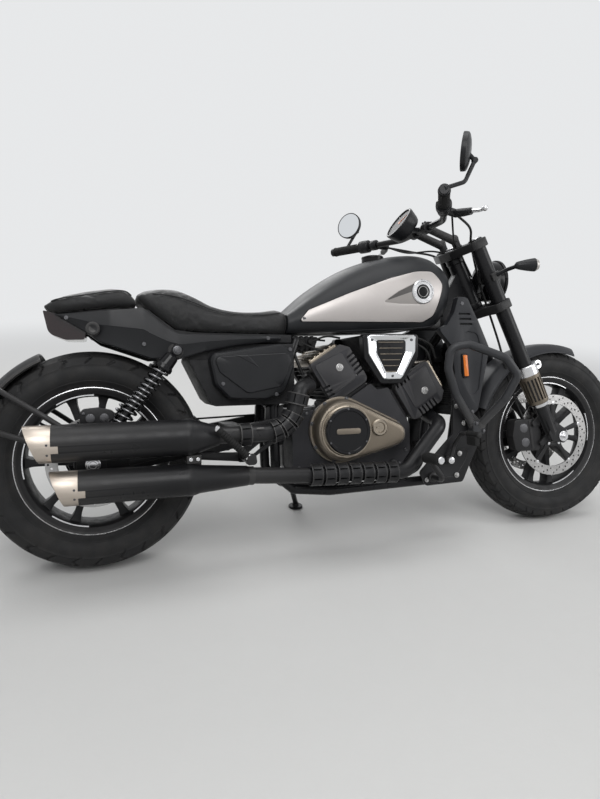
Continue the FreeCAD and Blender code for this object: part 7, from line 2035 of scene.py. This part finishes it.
def brake_lines():
    """Formed brake lines and looms that stay with the fork, clipped at the yokes."""
    master = on_bar(LEVER_AT, 46, 6, -8)
    lines = [([master, V(1190, -196, 1030), V(1244, -120, 1000), V(1300, -60, 940), V(1328, -52, 860),
               V(1352, -50, 800)], 4.0), ([master + V(-4, 14, -2), V(1150, -160, 1018), V(1210, -70, 1008),
                                           V(1262, -30, 978), V(1310, -24, 900)], 3.2)]
    forms = [tube(through(route, 10), radius, 12) for route, radius in lines]
    low = tube(through([V(1352, -50, 800), V(1366, -62, 740), V(1392, -66, 660), V(1424, -64, 560), V(1452, -68, 470),
                        V(1476, -84, 392), V(1478, -86, 372)], 10), 4.0, 12)
    union = forked(block((LEG_X + 18, LEG_X + 34), (-44, 44), (LOW_CLAMP - 34, LOW_CLAMP - 14)))
    steered("brake_lines", HOSE, both(join(*forms, low)), slot="black_plastic", sharp=60)
    steered("brake_union", PAINT, union, bevel=1.5)


fork()
fork_lowers()
front_axle()
front_calipers()
front_fender()
headlamp()
handlebar()
grips()
hand_controls()
instrument()
mirrors()
front_signals()
side_stand()
brake_lines()


# Floor, light and camera

def floor():
    """A square that lies 1 mm below the ground, so that it doesn't touch the tyres."""
    mesh = bpy.data.meshes.new("floor")
    mesh.from_pydata([(-30, -30, -0.001), (30, -30, -0.001), (30, 30, -0.001), (-30, 30, -0.001)], [], [(0, 1, 2, 3)])
    obj = bpy.data.objects.new("floor", mesh)
    bpy.context.scene.collection.objects.link(obj)
    look = surface("pale_floor", (0.62, 0.62, 0.61), 0.85, 0.0, 0.03, 0.7, 0.1, 8.0, 0.05)
    mesh.materials.append(look)
    fade(look)


BACKDROP = (0.80, 0.81, 0.82, 1)
FADE_FROM, FADE_TO = 1.6, 6.5      # metres from the machine over which the floor turns into the backdrop


def fade(look):
    """Far from the machine the camera sees the backdrop's colour on the floor, so that it has no horizon."""
    nodes, links = look.node_tree.nodes, look.node_tree.links
    shader, end = nodes["Principled BSDF"], nodes["Material Output"]
    place = nodes.new("ShaderNodeTexCoord")
    far = nodes.new("ShaderNodeVectorMath")
    far.operation = "LENGTH"
    links.new(place.outputs["Object"], far.inputs[0])
    share = nodes.new("ShaderNodeMapRange")
    share.interpolation_type = "SMOOTHSTEP"
    share.inputs["From Min"].default_value = FADE_FROM
    share.inputs["From Max"].default_value = FADE_TO
    links.new(far.outputs["Value"], share.inputs["Value"])
    seen = nodes.new("ShaderNodeMath")
    seen.operation = "MULTIPLY"
    links.new(share.outputs["Result"], seen.inputs[0])
    links.new(background_rays(nodes, links), seen.inputs[1])
    plain = nodes.new("ShaderNodeEmission")
    plain.inputs["Color"].default_value = BACKDROP
    blend = nodes.new("ShaderNodeMixShader")
    links.new(seen.outputs[0], blend.inputs[0])
    links.new(shader.outputs[0], blend.inputs[1])
    links.new(plain.outputs[0], blend.inputs[2])
    links.new(blend.outputs[0], end.inputs["Surface"])


def background_rays(nodes, links):
    """1 for camera, glossy and transmission rays, which are the ones that show the background."""
    path = nodes.new("ShaderNodeLightPath")
    total = path.outputs["Is Camera Ray"]
    for other in ("Is Glossy Ray", "Is Transmission Ray"):
        add = nodes.new("ShaderNodeMath")
        add.operation = "MAXIMUM"
        links.new(total, add.inputs[0])
        links.new(path.outputs[other], add.inputs[1])
        total = add.outputs[0]
    return total


def lamp(name, at, aim, size, power):
    light = bpy.data.lights.new(name, "AREA")
    light.shape = "RECTANGLE"
    light.size, light.size_y = size
    light.energy = power
    obj = bpy.data.objects.new(name, light)
    obj.location = at
    obj.rotation_euler = (Vector(aim) - Vector(at)).to_track_quat("-Z", "Y").to_euler()
    bpy.context.scene.collection.objects.link(obj)


def world():
    sky = bpy.data.worlds.new("studio")
    sky.use_nodes = True
    nodes, links = sky.node_tree.nodes, sky.node_tree.links
    back = nodes["Background"]
    back.inputs["Color"].default_value = (0.80, 0.81, 0.83, 1)
    back.inputs["Strength"].default_value = 0.36
    bright = nodes.new("ShaderNodeBackground")
    bright.inputs["Color"].default_value = BACKDROP
    bright.inputs["Strength"].default_value = 1.0
    blend = nodes.new("ShaderNodeMixShader")
    links.new(background_rays(nodes, links), blend.inputs[0])
    links.new(back.outputs[0], blend.inputs[1])
    links.new(bright.outputs[0], blend.inputs[2])
    links.new(blend.outputs[0], nodes["World Output"].inputs["Surface"])
    bpy.context.scene.world = sky


CAMERA_AT = (53.7, -1749.6, 945.0)      # before the machine's origin is taken off
CAMERA_YAW, CAMERA_PITCH, CAMERA_ROLL = 18.06, 13.75, 2.47
CAMERA_LENS = 26.95


def camera():
    yaw, pitch, roll = (radians(a) for a in (CAMERA_YAW, CAMERA_PITCH, CAMERA_ROLL))
    ahead = V(sin(yaw) * cos(pitch), cos(yaw) * cos(pitch), -sin(pitch))
    level = V(cos(yaw), -sin(yaw), 0)
    up = level.cross(ahead)
    right = level * cos(roll) + up * sin(roll)
    above = up * cos(roll) - level * sin(roll)
    data = bpy.data.cameras.new("camera")
    data.sensor_fit = "AUTO"
    data.sensor_width = 36.0
    data.lens = CAMERA_LENS
    obj = bpy.data.objects.new("camera", data)
    x, y, z = CAMERA_AT
    turn = Matrix((right, above, -ahead)).transposed().to_4x4()
    obj.matrix_world = shift((x - ORIGIN_X) / 1000, (y - ORIGIN_Y) / 1000, (z + DROP) / 1000) @ turn
    bpy.context.scene.collection.objects.link(obj)
    bpy.context.scene.camera = obj


floor()
lamp("key", (-1.2, -3.6, 3.6), (0.0, 0.0, 0.5), (2.6, 2.2), 98)
lamp("fill", (3.4, -2.4, 2.0), (0.3, 0.0, 0.5), (2.4, 2.0), 48)
lamp("back", (-0.6, 3.4, 3.0), (0.0, 0.0, 0.5), (3.0, 2.0), 66)
lamp("top", (0.0, -0.4, 4.2), (0.0, 0.0, 0.4), (3.4, 2.2), 62)
world()
camera()
bpy.context.scene.view_settings.view_transform = "Standard"
